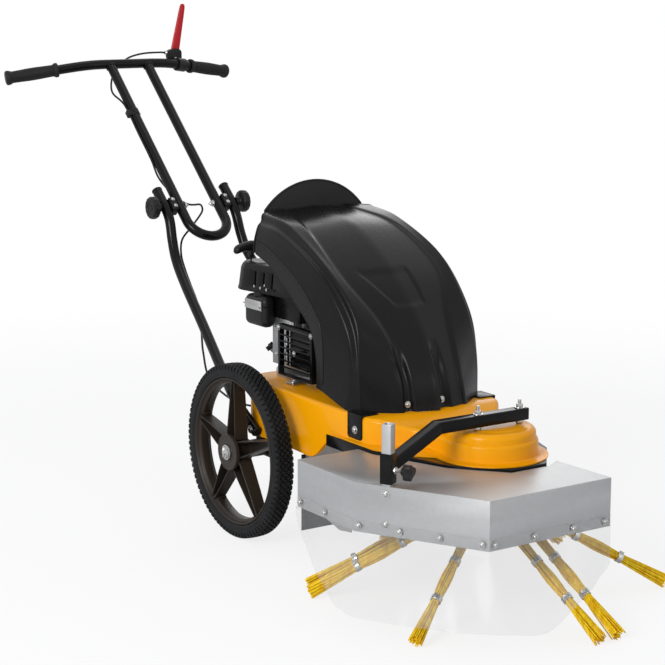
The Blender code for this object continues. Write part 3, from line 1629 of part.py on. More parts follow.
CENTRE_LINE = [(COVER_REAR, 0.0, 0.745), (0.122, 0.0, 0.718), (0.271, 0.0, 0.634),
               (0.362, 0.0, 0.542), (0.430, 0.0, 0.434), (0.452, 0.0, COVER_FOOT)]
RIDGE_LINE = [(COVER_REAR, 0.085, 0.739), (0.122, 0.121, 0.708), (0.271, 0.132, 0.624),
              (0.355, 0.094, 0.535), (0.419, 0.076, 0.433), (0.440, 0.079, COVER_FOOT)]
CHANNEL_LINE = [(COVER_REAR, 0.110, 0.735), (0.085, 0.134, 0.708), (0.225, 0.143, 0.634),
                (0.325, 0.120, 0.530), (0.398, 0.100, 0.430), (0.424, 0.108, COVER_FOOT)]
CREST_LINE = [(COVER_REAR, 0.148, 0.733), (0.085, 0.150, 0.718), (0.240, 0.156, 0.652),
              (0.345, 0.150, 0.555), (0.392, 0.136, 0.440), (0.404, 0.136, COVER_FOOT)]
SHOULDER_LINE = [(COVER_REAR, 0.170, 0.712), (0.085, 0.172, 0.699), (0.235, 0.172, 0.638),
                 (0.338, 0.166, 0.535), (0.372, 0.160, 0.440), (0.378, 0.160, COVER_FOOT)]
SIDE_LINE = [(COVER_REAR, COVER_SIDE, 0.684), (0.085, COVER_SIDE, 0.650),
             (0.190, COVER_SIDE, 0.594), (0.258, COVER_SIDE, 0.520),
             (0.270, COVER_SIDE, 0.425), (0.262, COVER_SIDE, COVER_FOOT)]
COVER_STEPS = 3
COVER_TAB = (0.392, 0.327)
COVER_TAB_WIDTH = 0.040


def make_cover():
    """A moulded shell lofted across lines that run from its rear edge to its foot."""
    lines = [
        smooth_path(line, COVER_STEPS)
        for line in (CENTRE_LINE, RIDGE_LINE, CHANNEL_LINE, CREST_LINE, SHOULDER_LINE, SIDE_LINE)
    ]
    shape = bmesh.new()
    columns = []
    for station in range(len(lines[0])):
        left = [lines[i][station] for i in range(len(lines))]
        row = [shape.verts.new((p.x, -p.y, p.z)) for p in reversed(left[1:])]
        row += [shape.verts.new(p) for p in left]
        columns.append(row)
    for a, b in zip(columns, columns[1:]):
        for i in range(len(a) - 1):
            shape.faces.new((a[i], a[i + 1], b[i + 1], b[i]))
    bmesh.ops.recalc_face_normals(shape, faces=shape.faces)
    shape.faces.ensure_lookup_table()
    if shape.faces[len(columns[0]) // 2].normal.z < 0:
        bmesh.ops.reverse_faces(shape, faces=shape.faces)
    mesh = bpy.data.meshes.new("cover")
    shape.to_mesh(mesh)
    shape.free()
    cover = loose(mesh)
    sheet = cover.modifiers.new("sheet", "SOLIDIFY")
    sheet.thickness = COVER_SHEET
    sheet.offset = -1
    cover = outward(baked(cover))
    foot = DECK_TOP + SEAT_GAP
    cover = cut(cover, box((-0.1, -0.3, foot - 0.05), (0.6, 0.3, foot)))
    x, z = COVER_TAB
    half = COVER_TAB_WIDTH / 2
    inner = DECK_HALF_WIDTH + SEAT_GAP
    outer = inner + COVER_SHEET
    hanging = box((x - half, inner, z - 0.018), (x + half, outer, foot + 0.002))
    lying = box((x - half, 0.135, foot), (x + half, outer - 0.0005, foot + COVER_SHEET))
    tab = joined(hanging, lying)
    other = mirrored(tab)
    cover = joined(joined(cover, tab), other)
    finish(cover, "engine_cover", "black_shell")


def make_cover_flap():
    """The rounded upright plate that closes the cover's rear top."""
    rise = FLAP_PLATE_TOP - FLAP_PLATE_BASE
    radius = (FLAP_PLATE_HALF**2 + rise**2) / (2 * rise)
    reach = math.asin(FLAP_PLATE_HALF / radius)
    outline = []
    for step in range(15):
        angle = reach - 2 * reach * step / 14
        outline.append((radius * math.sin(angle), FLAP_PLATE_TOP - radius * (1 - math.cos(angle))))
    outline += [(-FLAP_PLATE_HALF, 0.722), (-0.100, 0.712), (0.100, 0.712), (FLAP_PLATE_HALF, 0.722)]
    panel = plate([outline], -FLAP_PLATE / 2, FLAP_PLATE / 2)
    upright = Matrix(((0, 0, 1, 0), (1, 0, 0, 0), (0, 1, 0, 0), (0, 0, 0, 1)))
    panel.matrix_world = (
        Matrix.Translation((COVER_REAR - SEAT_GAP * 2 - FLAP_PLATE / 2, 0, 0)) @ upright
    )
    finish(baked(panel), "cover_flap", "black_shell", smooth=False)


# Handle


def handle_direction():
    """Up and back along the uprights."""
    return Vector((-math.cos(HANDLE_SLOPE), 0, math.sin(HANDLE_SLOPE)))


def pivot(y=0.0):
    return Vector((PIVOT_X, y, PIVOT_Z))


def make_upper_frame():
    """A U of tube hung between the lower tubes, carrying the swept handlebar."""
    up = handle_direction()
    straight = LOOP_LENGTH - UPRIGHT_Y
    points = [pivot(-UPRIGHT_Y) + up * UPRIGHT_LENGTH, pivot(-UPRIGHT_Y) - up * straight * 0.9]
    arc = []
    for step in range(9):
        angle = math.pi * step / 8
        arc.append(
            pivot(-UPRIGHT_Y * math.cos(angle)) - up * (straight + UPRIGHT_Y * math.sin(angle))
        )
    path = [points[0], points[1]] + arc + [
        pivot(UPRIGHT_Y) - up * straight * 0.9,
        pivot(UPRIGHT_Y) + up * UPRIGHT_LENGTH,
    ]
    loop = tube(path, TUBE_RADIUS, 3)
    top = pivot() + up * UPRIGHT_LENGTH
    end, bend = Vector(BAR_END), Vector(BAR_BEND)
    bar_path = [
        (end.x, -end.y, end.z),
        (bend.x, -bend.y, bend.z),
        (top.x - 0.002, -bend.y * 0.66, top.z),
        (top.x, -UPRIGHT_Y, top.z),
        (top.x, UPRIGHT_Y, top.z),
        (top.x - 0.002, bend.y * 0.66, top.z),
        tuple(bend),
        tuple(end),
    ]
    bar = tube(bar_path, TUBE_RADIUS, 3)
    frame = joined(loop, bar)
    holes = [
        rod(pivot(side * 0.035), pivot(side * 0.075), CLAMP_BOLT_RADIUS + SEAT_GAP, 8)
        for side in (-1, 1)
    ]
    frame = cut(frame, merged(*holes))
    place_origin(finish(frame, "handle_frame", "black_paint"), pivot())


def grip_axis(side):
    end, bend = Vector(BAR_END), Vector(BAR_BEND)
    end.y *= side
    bend.y *= side
    return end, (end - bend).normalized()


def make_grips():
    bore = TUBE_RADIUS / math.cos(math.pi / 12) + SEAT_GAP
    for side, word in ((-1, "right"), (1, "left")):
        end, out = grip_axis(side)
        grip = turned(
            [
                (GRIP_FLARE, 0.004),
                (GRIP_FLARE, -0.004),
                (GRIP_RADIUS, -0.012),
                (GRIP_RADIUS, -GRIP_LENGTH + 0.012),
                (GRIP_FLARE, -GRIP_LENGTH + 0.007),
                (GRIP_FLARE, -GRIP_LENGTH),
                (bore, -GRIP_LENGTH),
                (bore, 0.004),
            ],
            end,
            out,
            12,
        )
        place_origin(finish(grip, f"grip_{word}", "black_rubber"), pivot())


LOWER_END_Y = DECK_HALF_WIDTH + SEAT_GAP + TUBE_RADIUS
LOWER_TUBE_POINTS = (
    (-0.612, LOWER_TUBE_Y, 0.724),
    (-0.572, LOWER_TUBE_Y, 0.687),
    (-0.548, LOWER_TUBE_Y, 0.655),
    (-0.530, LOWER_TUBE_Y + 0.003, 0.606),
    (-0.502, LOWER_TUBE_Y + 0.008, 0.560),
    (-0.440, LOWER_TUBE_Y + 0.018, 0.508),
    (-0.320, 0.133, 0.424),
    (-0.200, 0.156, 0.347),
    (-0.100, 0.181, 0.299),
    (-0.060, LOWER_END_Y, 0.2805),
    (0.012, LOWER_END_Y, 0.2395),
)


def make_lower_tubes():
    for side, word in ((-1, "right"), (1, "left")):
        points = [(x, side * y, z) for x, y, z in LOWER_TUBE_POINTS]
        body = tube(smooth_path(points, 2), TUBE_RADIUS, 2)
        bolt_line = rod(pivot(side * 0.080), pivot(side * 0.115), CLAMP_BOLT_RADIUS + SEAT_GAP, 8)
        body = cut(body, bolt_line)
        finish(body, f"lower_tube_{word}", "black_paint")


def make_saddles():
    """Blocks between the tubes at the clamp, each with its bolt through it."""
    up = handle_direction()
    across = Vector((up.z, 0, -up.x))
    inner = UPRIGHT_Y + TUBE_RADIUS + SEAT_GAP
    outer = LOWER_TUBE_Y - TUBE_RADIUS - SEAT_GAP
    shape = ((-0.7, -1), (0.7, -1), (1, -0.7), (1, 0.7), (0.7, 1), (-0.7, 1), (-1, 0.7), (-1, -0.7))
    for side, word in ((-1, "right"), (1, "left")):
        loops = []
        for y in (inner, outer):
            loops.append(
                [tuple(pivot(side * y) + up * a * 0.020 + across * b * 0.015) for a, b in shape]
            )
        bolt_line = rod(pivot(side * 0.05), pivot(side * 0.1), CLAMP_BOLT_RADIUS + SEAT_GAP, 8)
        finish(cut(loft(loops), bolt_line), f"clamp_saddle_{word}", "black_plastic", smooth=False)


def make_clamp_bolts():
    inner = UPRIGHT_Y - TUBE_RADIUS - SEAT_GAP
    outer = LOWER_TUBE_Y + TUBE_RADIUS + 0.022
    for side, word in ((-1, "right"), (1, "left")):
        shank = rod(pivot(side * (inner - 0.012)), pivot(side * outer), CLAMP_BOLT_RADIUS, 8)
        nut = rod(pivot(side * (inner - 0.008)), pivot(side * inner), 0.0080, 6)
        finish(joined(shank, nut), f"clamp_bolt_{word}", "zinc_steel")


def make_clamp_knobs():
    for side, word in ((-1, "right"), (1, "left")):
        foot = LOWER_TUBE_Y + TUBE_RADIUS + SEAT_GAP
        bore = CLAMP_BOLT_RADIUS + RUNNING_GAP
        depth = 0.0225
        knob = turned(
            [
                (0.0, KNOB_LENGTH),
                (KNOB_RADIUS - 0.005, KNOB_LENGTH),
                (KNOB_RADIUS, KNOB_LENGTH - 0.004),
                (KNOB_RADIUS, 0.014),
                (KNOB_RADIUS - 0.004, 0.010),
                (0.011, 0.008),
                (0.011, 0.0),
                (bore, 0.0),
                (bore, depth),
                (0.0, depth),
            ],
            pivot(side * foot),
            (0, side, 0),
            14,
        )
        place_origin(
            finish(knob, f"clamp_knob_{word}", "black_plastic"), pivot(side * foot)
        )


# Clutch lever and cable


def bar_at(y):
    """The handlebar's centre at a distance to the left of the middle, past its bend."""
    end, bend = Vector(BAR_END), Vector(BAR_BEND)
    return bend.lerp(end, (y - bend.y) / (end.y - bend.y))


def make_lever_bracket():
    """A clamp on the handlebar that rises to the lever's pin and holds the cable's end."""
    y = LEVER_PIVOT[1]
    centre = bar_at(y)
    out = grip_axis(1)[1]
    ring = turned(
        [(0.0175, 0.014), (0.0175, -0.014), (0.0118, -0.014), (0.0118, 0.014)],
        centre,
        out,
        16,
    )
    x, _, z = LEVER_PIVOT
    front = x + LEVER_THICKNESS / 2 + RUNNING_GAP
    body = box((front, y - 0.014, centre.z + 0.008), (front + 0.012, y + 0.012, z + 0.012), 0.002)
    body = cut(body, turned([(0.0122, 0.03), (0.0122, -0.03), (0.0, -0.03), (0.0, 0.03)],
                            centre, out, 16))
    bracket = joined(ring, body)
    bracket = joined(
        bracket, rod((front + 0.002, y, z), (x - LEVER_THICKNESS / 2 - 0.004, y, z), 0.0035, 8)
    )
    stop = Vector(LEVER_CABLE_START) + Vector((0, 2 * SEAT_GAP, 0))
    barrel = rod((stop.x, y - 0.008, stop.z), (stop.x, stop.y, stop.z), 0.0055, 8)
    bracket = joined(bracket, barrel)
    place_origin(finish(bracket, "lever_bracket", "black_plastic"), pivot())


LEVER_CABLE_START = (-0.9735, 0.128, 1.052)


def make_lever():
    x, y, z = LEVER_PIVOT
    half = LEVER_THICKNESS / 2
    boss = rod((x - half, y, z), (x + half, y, z), 0.011, 14)
    loops = []
    for share, across, deep in (
        (0.0, 0.009, half),
        (0.25, 0.0085, half),
        (0.85, 0.0060, half * 0.8),
        (0.97, 0.0045, half * 0.7),
        (1.0, 0.0025, half * 0.5),
    ):
        reach = LEVER_LENGTH * share
        middle = Vector(
            (x, y + reach * math.sin(LEVER_LEAN), z + reach * math.cos(LEVER_LEAN))
        )
        side = Vector((0, math.cos(LEVER_LEAN), -math.sin(LEVER_LEAN)))
        loops.append(
            [
                tuple(middle + side * a * across + Vector((b * deep, 0, 0)))
                for a, b in ((-1, -1), (1, -1), (1, 1), (-1, 1))
            ]
        )
    lever = joined(boss, loft(loops))
    lever = cut(lever, rod((x - 0.02, y, z), (x + 0.02, y, z), 0.0038, 8))
    place_origin(finish(lever, "clutch_lever", "red_plastic"), LEVER_PIVOT)


# The cable is two lengths that meet on the handle's pivot line, where they lie along it.
CABLE_MEETS_Y = -0.006
UPPER_CABLE = (
    LEVER_CABLE_START,
    (-0.975, 0.112, 1.053),
    (-0.972, 0.060, 1.051),
    (-0.963, 0.010, 1.040),
    (-0.955, -0.025, 1.015),
    (-0.935, -0.052, 0.990),
    (-0.895, -0.072, 0.955),
    (-0.829, -0.0692, 0.925),
    (-0.7555, -0.0692, 0.857),
    (-0.690, -0.0692, 0.796),
    (-0.660, -0.064, 0.748),
    (-0.622, -0.040, 0.704),
    (-0.594, -0.026, 0.690),
    (-0.579, -0.020, 0.687),
    (PIVOT_X, -0.0135, PIVOT_Z),
    (PIVOT_X, CABLE_MEETS_Y - SEAT_GAP / 2, PIVOT_Z),
)
LOWER_CABLE = (
    (PIVOT_X, CABLE_MEETS_Y + SEAT_GAP / 2, PIVOT_Z),
    (PIVOT_X, 0.0015, PIVOT_Z),
    (-0.567, 0.006, 0.683),
    (-0.560, 0.002, 0.668),
    (-0.553, -0.030, 0.636),
    (-0.541, -0.066, 0.606),
    (-0.515, -0.084, 0.572),
    (-0.480, -0.0930, 0.540),
    (-0.440, -0.1006, 0.508),
    (-0.395, -0.1060, 0.464),
    (-0.377, -0.108, 0.405),
    (-0.365, -0.110, 0.350),
    (-0.330, -0.112, 0.290),
    (-0.250, -0.096, 0.252),
    (-0.160, -0.078, 0.250),
    (-0.100, -0.064, 0.262),
    (-0.060, -0.058, 0.270),
    (-0.030, -0.058, 0.274),
)
CABLE_ENTRY_OUT = (-0.105, -0.0645, 0.261)
CABLE_ENTRY_IN = (-0.060, -0.058, 0.270)


def make_cables():
    upper = tube(smooth_path(UPPER_CABLE, 2), CABLE_RADIUS, 2)
    place_origin(finish(upper, "cable_upper", "black_rubber"), pivot())
    lower = tube(smooth_path(LOWER_CABLE, 2), CABLE_RADIUS, 2)
    finish(lower, "cable_lower", "black_rubber")


def main():
    clear_scene()
    set_up()
    make_materials()
    make_wheels()
    make_axle()
    make_axle_carrier()
    make_deck()
    make_under_guard()
    make_rear_guard()
    make_rear_flap()
    make_belt_drive()
    make_idler()
    make_spindle()
    make_brush_hub()
    make_bristles()
    make_hood()
    make_post()
    make_curtain()
    make_guard_arm()
    make_shield_knob()
    make_arm_bolts()
    make_engine()
    make_shroud()
    make_starter()
    make_intake()
    make_fuel_tank()
    make_muffler()
    make_cover()
    make_cover_flap()
    make_upper_frame()
    make_grips()
    make_lower_tubes()
    make_saddles()
    make_clamp_bolts()
    make_clamp_knobs()
    make_lever_bracket()
    make_lever()
    make_cables()


main()
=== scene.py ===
"""Looks of a patio weed brush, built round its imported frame.

Lengths are in metres. Shapes are written in the machine's own frame: X forward
from the wheel axle, Y to the operator's left, Z up from the ground. place()
moves each piece into the frame's coordinates.
"""

import json
import math

import bmesh
import bpy
from mathutils import Matrix, Vector


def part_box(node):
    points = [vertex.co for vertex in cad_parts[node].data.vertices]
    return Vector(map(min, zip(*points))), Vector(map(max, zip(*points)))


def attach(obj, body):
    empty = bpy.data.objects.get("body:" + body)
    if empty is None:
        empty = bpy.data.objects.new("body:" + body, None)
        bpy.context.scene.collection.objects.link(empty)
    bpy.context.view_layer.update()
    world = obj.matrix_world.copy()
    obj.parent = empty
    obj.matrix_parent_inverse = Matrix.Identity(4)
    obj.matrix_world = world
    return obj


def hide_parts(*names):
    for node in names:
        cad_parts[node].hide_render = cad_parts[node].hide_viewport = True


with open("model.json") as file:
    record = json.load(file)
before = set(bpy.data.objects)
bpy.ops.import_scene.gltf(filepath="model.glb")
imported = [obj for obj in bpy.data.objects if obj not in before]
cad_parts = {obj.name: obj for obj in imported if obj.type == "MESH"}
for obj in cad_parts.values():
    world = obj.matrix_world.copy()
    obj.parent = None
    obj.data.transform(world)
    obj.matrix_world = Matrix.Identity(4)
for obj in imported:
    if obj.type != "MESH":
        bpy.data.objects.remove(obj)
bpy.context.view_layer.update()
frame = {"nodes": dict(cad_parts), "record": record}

# Sizes shared with the solids

SHIFT = Vector((0.00329, 0.03176, 0))
GAP = 0.0003

WHEEL_RADIUS = 0.2
TYRE_WIDTH = 0.045
RIM_RADIUS = 0.168
WHEEL_Y = 0.2275
HUB_DISC_RADIUS = 0.0415
HUB_DISC_OUTER = 0.26
TREAD_COLUMNS = 90

DECK_TOP = 0.353
DECK_SHEET = 0.0025
DECK_HALF_WIDTH = 0.175
DECK_REAR = -0.085
DECK_CORNER = 0.07
SKIRT_BOTTOM = 0.2265
SKIRT_END = 0.215
FLANGE_START = 0.335
FLANGE_Z = 0.2955
FLANGE_HALF_WIDTH = 0.187
FLANGE_TURN = 0.47
FLANGE_TAPER = 0.395
TAPER_START = 0.415
NECK_X = 0.545
NECK_HALF_WIDTH = 0.088
NECK_TOP = 0.336
BRUSH_X = 0.622
TURRET_RADIUS = 0.093
TURRET_STEP = 0.005
TURRET_TOP = 0.3575
NOSE_RADIUS = 0.119
EDGE_ROUND = 0.01

BELT_Z = 0.325
PULLEY_HEIGHT = 0.02
BUNDLE_SLOPE = math.radians(28.5)
HUB_APOTHEM = 0.0975
BUNDLE_REACH = 0.374
PAIR_SPACING = 0.046
STRANDS_IN_BUNDLE = 42
STRAND_RADIUS = 0.0014
TIP_RADIUS = 0.0168
HUB_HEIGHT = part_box("brush_hub")[0][2] + 0.01

HOOD_TOP = 0.2912
HOOD_SHEET = 0.002
HOOD_HEIGHT = 0.099
HOOD_CORNERS = [(0.43, -0.346), (0.636, -0.346), (0.887, -0.211), (0.887, 0.092)]
HOOD_LEFT_CORNER = (0.729, 0.086)
CURTAIN_LAP = 0.024
CURTAIN_SHEET = 0.002
CURTAIN_REACH = 0.412
CURTAIN_BOTTOM = 0.056
POST_SIDE = 0.02
POST_TOP = 0.413
POST_BOTTOM = 0.2
POST_ALONG_WALL = 0.066

ARM_SIDE = 0.025
ARM_X = 0.648
ARM_BOTTOM = 0.365
ARM_END_Y = 0.07
ARM_BEND_Y = -0.16
ARM_BOLT_Y = 0.054
SLEEVE_BOTTOM = 0.2945
SLEEVE_TOP = 0.355
SHIELD_KNOB_Z = 0.322

TUBE_RADIUS = 0.0125
PIVOT_X = -0.572
PIVOT_Z = 0.687
HANDLE_SLOPE = math.radians(42.8)
UPRIGHT_Y = 0.055
UPRIGHT_LENGTH = 0.5
LOOP_LENGTH = 0.105
LOWER_TUBE_Y = 0.097
KNOB_RADIUS = 0.0285
BAR_END = (-0.992, 0.327, 0.996)
BAR_BEND = (-0.947, 0.14, 1.023)
GRIP_RADIUS = 0.0162
GRIP_FLARE = 0.019
GRIP_LENGTH = 0.135
LEVER_PIVOT = (-0.9845, 0.165, 1.05)
LEVER_LENGTH = 0.135
LEVER_LEAN = math.radians(12)
LEVER_THICKNESS = 0.01
CABLE_RADIUS = 0.0025

BLOCK_BASE_RADIUS = 0.108
BLOCK_RADIUS = 0.09
BLOCK_TOP = 0.47
CYLINDER_FACE = -0.07
SHROUD_RADIUS = 0.115
SHROUD_BOTTOM = 0.541
SHROUD_TOP = 0.606
RECOIL_RADIUS = 0.092
RECOIL_TOP = 0.648
LOBE_X = -0.14
LOBE_Y = -0.085
LOBE_RADIUS = 0.05
GRIP_X = -0.165
GRIP_Y = -0.092
CORD_LENGTH = 0.01
SHROUD_CEILING = SHROUD_TOP - 0.014
SLOT_PLACES = (-0.091, -0.061, -0.031)
FILTER_LOW = (-0.128, -0.1365, 0.464)
FILTER_HIGH = (-0.038, -0.1003, 0.536)
BELT_HEIGHT = 0.007
BELT_DEPTH = 0.0067
PULLEY_LIP = 0.01
ENGINE_PULLEY_CORE = 0.024
BRUSH_PULLEY_CORE = 0.036

COVER_SHEET = 0.003
COVER_REAR = -0.036
COVER_SIDE = 0.178
COVER_FOOT = DECK_TOP + 0.0006
FLAP_PLATE_HALF = 0.133
FLAP_PLATE_BASE = 0.737
FLAP_PLATE_TOP = 0.8

MATERIALS = {}
SIDES = ((-1, "right"), (1, "left"))
CORNERS = ((-1, -1), (1, -1), (1, 1), (-1, 1))
Z_AXIS = Vector((0, 0, 1))


# Mesh tools


def linked(mesh):
    obj = bpy.data.objects.new("shape", mesh)
    bpy.context.scene.collection.objects.link(obj)
    return obj


def made(shape):
    mesh = bpy.data.meshes.new("shape")
    shape.to_mesh(mesh)
    shape.free()
    return linked(mesh)


def from_bmesh(shape):
    bmesh.ops.recalc_face_normals(shape, faces=shape.faces)
    return made(shape)


def sheet_from(shape, index, away):
    """An open sheet, turned so that one of its faces looks away from something."""
    bmesh.ops.recalc_face_normals(shape, faces=shape.faces)
    shape.faces.ensure_lookup_table()
    if shape.faces[index].normal.dot(away) < 0:
        bmesh.ops.reverse_faces(shape, faces=shape.faces)
    return made(shape)


def bridged(shape, rows, closed=True, ends=False):
    """Joins rows of vertices with faces, each row a ring or an open line."""
    count = len(rows[0])
    for a, b in zip(rows, rows[1:]):
        for i in range(count if closed else count - 1):
            j = (i + 1) % count
            shape.faces.new((a[i], a[j], b[j], b[i]))
    if ends:
        shape.faces.new(list(reversed(rows[0])))
        shape.faces.new(rows[-1])


def baked(obj):
    """The evaluated shape as a plain mesh, in place, its seams welded."""
    bpy.context.view_layer.update()
    evaluated = obj.evaluated_get(bpy.context.evaluated_depsgraph_get())
    mesh = bpy.data.meshes.new_from_object(evaluated)
    shape = bmesh.new()
    shape.from_mesh(mesh)
    bmesh.ops.remove_doubles(shape, verts=shape.verts, dist=0.00001)
    shape.transform(obj.matrix_world)
    shape.to_mesh(mesh)
    shape.free()
    bpy.data.objects.remove(obj, do_unlink=True)
    return linked(mesh)


def outward(obj):
    shape = bmesh.new()
    shape.from_mesh(obj.data)
    bmesh.ops.recalc_face_normals(shape, faces=shape.faces)
    if shape.calc_volume(signed=True) < 0:
        bmesh.ops.reverse_faces(shape, faces=shape.faces)
    shape.to_mesh(obj.data)
    shape.free()
    return obj


def rounded(obj, width, segments=3, angle=30):
    """Rounds every edge sharper than an angle."""
    modifier = obj.modifiers.new("rounded", "BEVEL")
    modifier.width = width
    modifier.segments = segments
    modifier.limit_method = "ANGLE"
    modifier.angle_limit = math.radians(angle)
    modifier.use_clamp_overlap = True
    return baked(obj)


def thickened(obj, thickness, offset=-1, even=False):
    """Gives an open sheet its thickness, inward or to both sides."""
    modifier = obj.modifiers.new("sheet", "SOLIDIFY")
    modifier.thickness = thickness
    modifier.offset = offset
    modifier.use_even_offset = even
    return outward(baked(obj))


def moved(obj, matrix):
    obj.data.transform(matrix)
    return obj


def facing(axis):
    return Z_AXIS.rotation_difference(Vector(axis)).to_matrix().to_4x4()


def standing(spot, axis):
    """Takes a shape made about Z to a spot, with its Z along another axis."""
    return Matrix.Translation(spot) @ facing(axis)


def upright(x):
    """Stands a shape made in XY up in the YZ plane at x."""
    return Matrix(((0, 0, 1, x), (1, 0, 0, 0), (0, 1, 0, 0), (0, 0, 0, 1)))


def spun(obj, angle):
    return moved(obj, Matrix.Rotation(angle, 4, "Z"))


def polar(reach, angle, centre=(0, 0)):
    return centre[0] + reach * math.cos(angle), centre[1] + reach * math.sin(angle)


def box(low, high, round_width=0.001, segments=3):
    shape = bmesh.new()
    bmesh.ops.create_cube(shape, size=1.0)
    bmesh.ops.scale(shape, vec=[h - l for l, h in zip(low, high)], verts=shape.verts)
    bmesh.ops.translate(shape, vec=[(h + l) / 2 for l, h in zip(low, high)], verts=shape.verts)
    obj = from_bmesh(shape)
    return rounded(obj, round_width, segments) if round_width else obj


def lathe(profile, centre=(0, 0, 0), axis=Z_AXIS, steps=64, closed=False):
    """A solid turned from (radius, height) points about an axis."""
    shape = bmesh.new()
    rings = []
    for radius, height in profile:
        if radius < 1e-7:
            rings.append([shape.verts.new((0, 0, height))])
            continue
        rings.append([shape.verts.new((*polar(radius, math.tau * i / steps), height))
                      for i in range(steps)])
    pairs = list(zip(rings, rings[1:]))
    if closed:
        pairs.append((rings[-1], rings[0]))
    for a, b in pairs:
        for i in range(steps):
            j = (i + 1) % steps
            corners = [a[i % len(a)], a[j % len(a)], b[j % len(b)], b[i % len(b)]]
            face = list(dict.fromkeys(corners))
            if len(face) > 2:
                shape.faces.new(face)
    shape.transform(standing(centre, axis))
    return outward(from_bmesh(shape))


def arc(centre, radius, start, end, steps):
    """Points of a circular arc, in degrees, for a profile or an outline."""
    return [polar(radius, math.radians(start + (end - start) * step / steps), centre)
            for step in range(steps + 1)]


def corner_curve(before, here, after, radius, limit, stations):
    """Points of a curve that rounds one corner within a share of its two legs."""
    a = here + (before - here).normalized() * min(radius, (here - before).length * limit)
    b = here + (after - here).normalized() * min(radius, (after - here).length * limit)
    return [a * (1 - t) ** 2 + here * 2 * t * (1 - t) + b * t * t for t in stations]


def soft_profile(points, radius, steps=4):
    """Rounds the inner corners of an open line of 2D or 3D points."""
    points = [Vector(p) for p in points]
    stations = [step / steps for step in range(steps + 1)]
    line = [points[0]]
    for before, here, after in zip(points, points[1:], points[2:]):
        line += corner_curve(before, here, after, radius, 0.45, stations)
    line.append(points[-1])
    return line


def rod(start, end, radius, steps=24, edge=0.0005):
    """A round bar with softened ends."""
    start, end = Vector(start), Vector(end)
    length = (end - start).length
    edge = min(edge, radius * 0.5, length * 0.4)
    profile = [(0, 0), (radius - edge, 0), (radius, edge), (radius, length - edge),
               (radius - edge, length), (0, length)]
    return lathe(profile, start, end - start, steps)


def loft(loops, ends=True):
    shape = bmesh.new()
    rings = [[shape.verts.new(place) for place in loop] for loop in loops]
    bridged(shape, rings, ends=ends)
    return outward(from_bmesh(shape))


def smooth_path(points, per_span):
    """Points along a Catmull-Rom curve through the given ones."""
    points = [Vector(p) for p in points]
    padded = [2 * points[0] - points[1]] + points + [2 * points[-1] - points[-2]]
    path = []
    for i in range(len(points) - 1):
        a, b, c, d = padded[i : i + 4]
        for step in range(per_span):
            t = step / per_span
            path.append(0.5 * (2 * b + (c - a) * t + (2 * a - 5 * b + 4 * c - d) * t * t
                               + (3 * b - a - 3 * c + d) * t * t * t))
    path.append(points[-1])
    return path


def sweep(path, radius, steps, cap=0.35):
    """A round tube along a path, each end domed by a share of its radius."""
    path = [Vector(p) for p in path]
    last = len(path) - 1
    tangents = [(path[min(i + 1, last)] - path[max(i - 1, 0)]).normalized()
                for i in range(last + 1)]
    normal = tangents[0].orthogonal().normalized()
    loops = []
    for i, (spot, tangent) in enumerate(zip(path, tangents)):
        if i:
            normal = tangents[i - 1].rotation_difference(tangent) @ normal
        normal = (normal - tangent * normal.dot(tangent)).normalized()
        side = tangent.cross(normal)
        stations = [(0, 1)]
        if cap and i == 0:
            stations = [(-cap, 0.45), (-cap * 0.75, 0.8), (0, 1)]
        elif cap and i == last:
            stations = [(0, 1), (cap * 0.75, 0.8), (cap, 0.45)]
        for push, share in stations:
            middle = spot + tangent * push * radius
            loops.append([middle + normal * a + side * b
                          for a, b in circle((0, 0), radius * share, steps)])
    return loft(loops)


def plate(outline, low, high, round_width=0, segments=2):
    """A flat outline in XY, filled between two heights."""
    curve = bpy.data.curves.new("outline", "CURVE")
    curve.dimensions = "2D"
    curve.fill_mode = "BOTH"
    curve.extrude = (high - low) / 2
    spline = curve.splines.new("POLY")
    spline.points.add(len(outline) - 1)
    spline.use_cyclic_u = True
    for point, (x, y) in zip(spline.points, outline):
        point.co = (x, y, 0, 1)
    obj = bpy.data.objects.new("outline", curve)
    bpy.context.scene.collection.objects.link(obj)
    obj.matrix_world = Matrix.Translation((0, 0, (low + high) / 2))
    obj = outward(baked(obj))
    return rounded(obj, round_width, segments, 50) if round_width else obj


def circle(centre, radius, count, start=0.0):
    return [polar(radius, start + math.tau * i / count, centre) for i in range(count)]


def lobed(radius, depth, lobes, count, centre=(0, 0)):
    """A round outline with even lobes or flutes of a given depth."""
    outline = []
    for i in range(count):
        angle = math.tau * i / count
        reach = radius - depth * (0.5 - 0.5 * math.cos(lobes * angle))
        outline.append(polar(reach, angle, centre))
    return outline


def doubled(half):
    """A half outline and its mirror image on the other side, as one closed outline."""
    return half + [(x, -y) for x, y in reversed(half)]


def evened(half):
    """A profile and its mirror image below the middle, as one line."""
    return [(radius, -height) for radius, height in reversed(half)] + half


def level(outline, z):
    return [(x, y, z) for x, y in outline]


def eased(share):
    share = min(1, max(0, share))
    return share * share * (3 - 2 * share)


def thread(crest, root, start, stop, pitch):
    """Profile points of a screw's thread between two heights."""
    points = []
    while start < stop:
        points += [(crest, start), (root, start + pitch / 2)]
        start += pitch
    return points


def disc(radius, low, high, centre=(0, 0, 0), axis=Z_AXIS, steps=32):
    return lathe([(0, low), (radius, low), (radius, high), (0, high)], centre, axis, steps)


def merged(*objects):
    """One object that holds several shells."""
    shape = bmesh.new()
    for obj in objects:
        shape.from_mesh(obj.data)
        bpy.data.objects.remove(obj, do_unlink=True)
    return made(shape)


def boolean(obj, tool, operation):
    modifier = obj.modifiers.new("boolean", "BOOLEAN")
    modifier.operation = operation
    modifier.solver = "EXACT"
    modifier.object = tool
    result = baked(obj)
    bpy.data.objects.remove(tool, do_unlink=True)
    return result


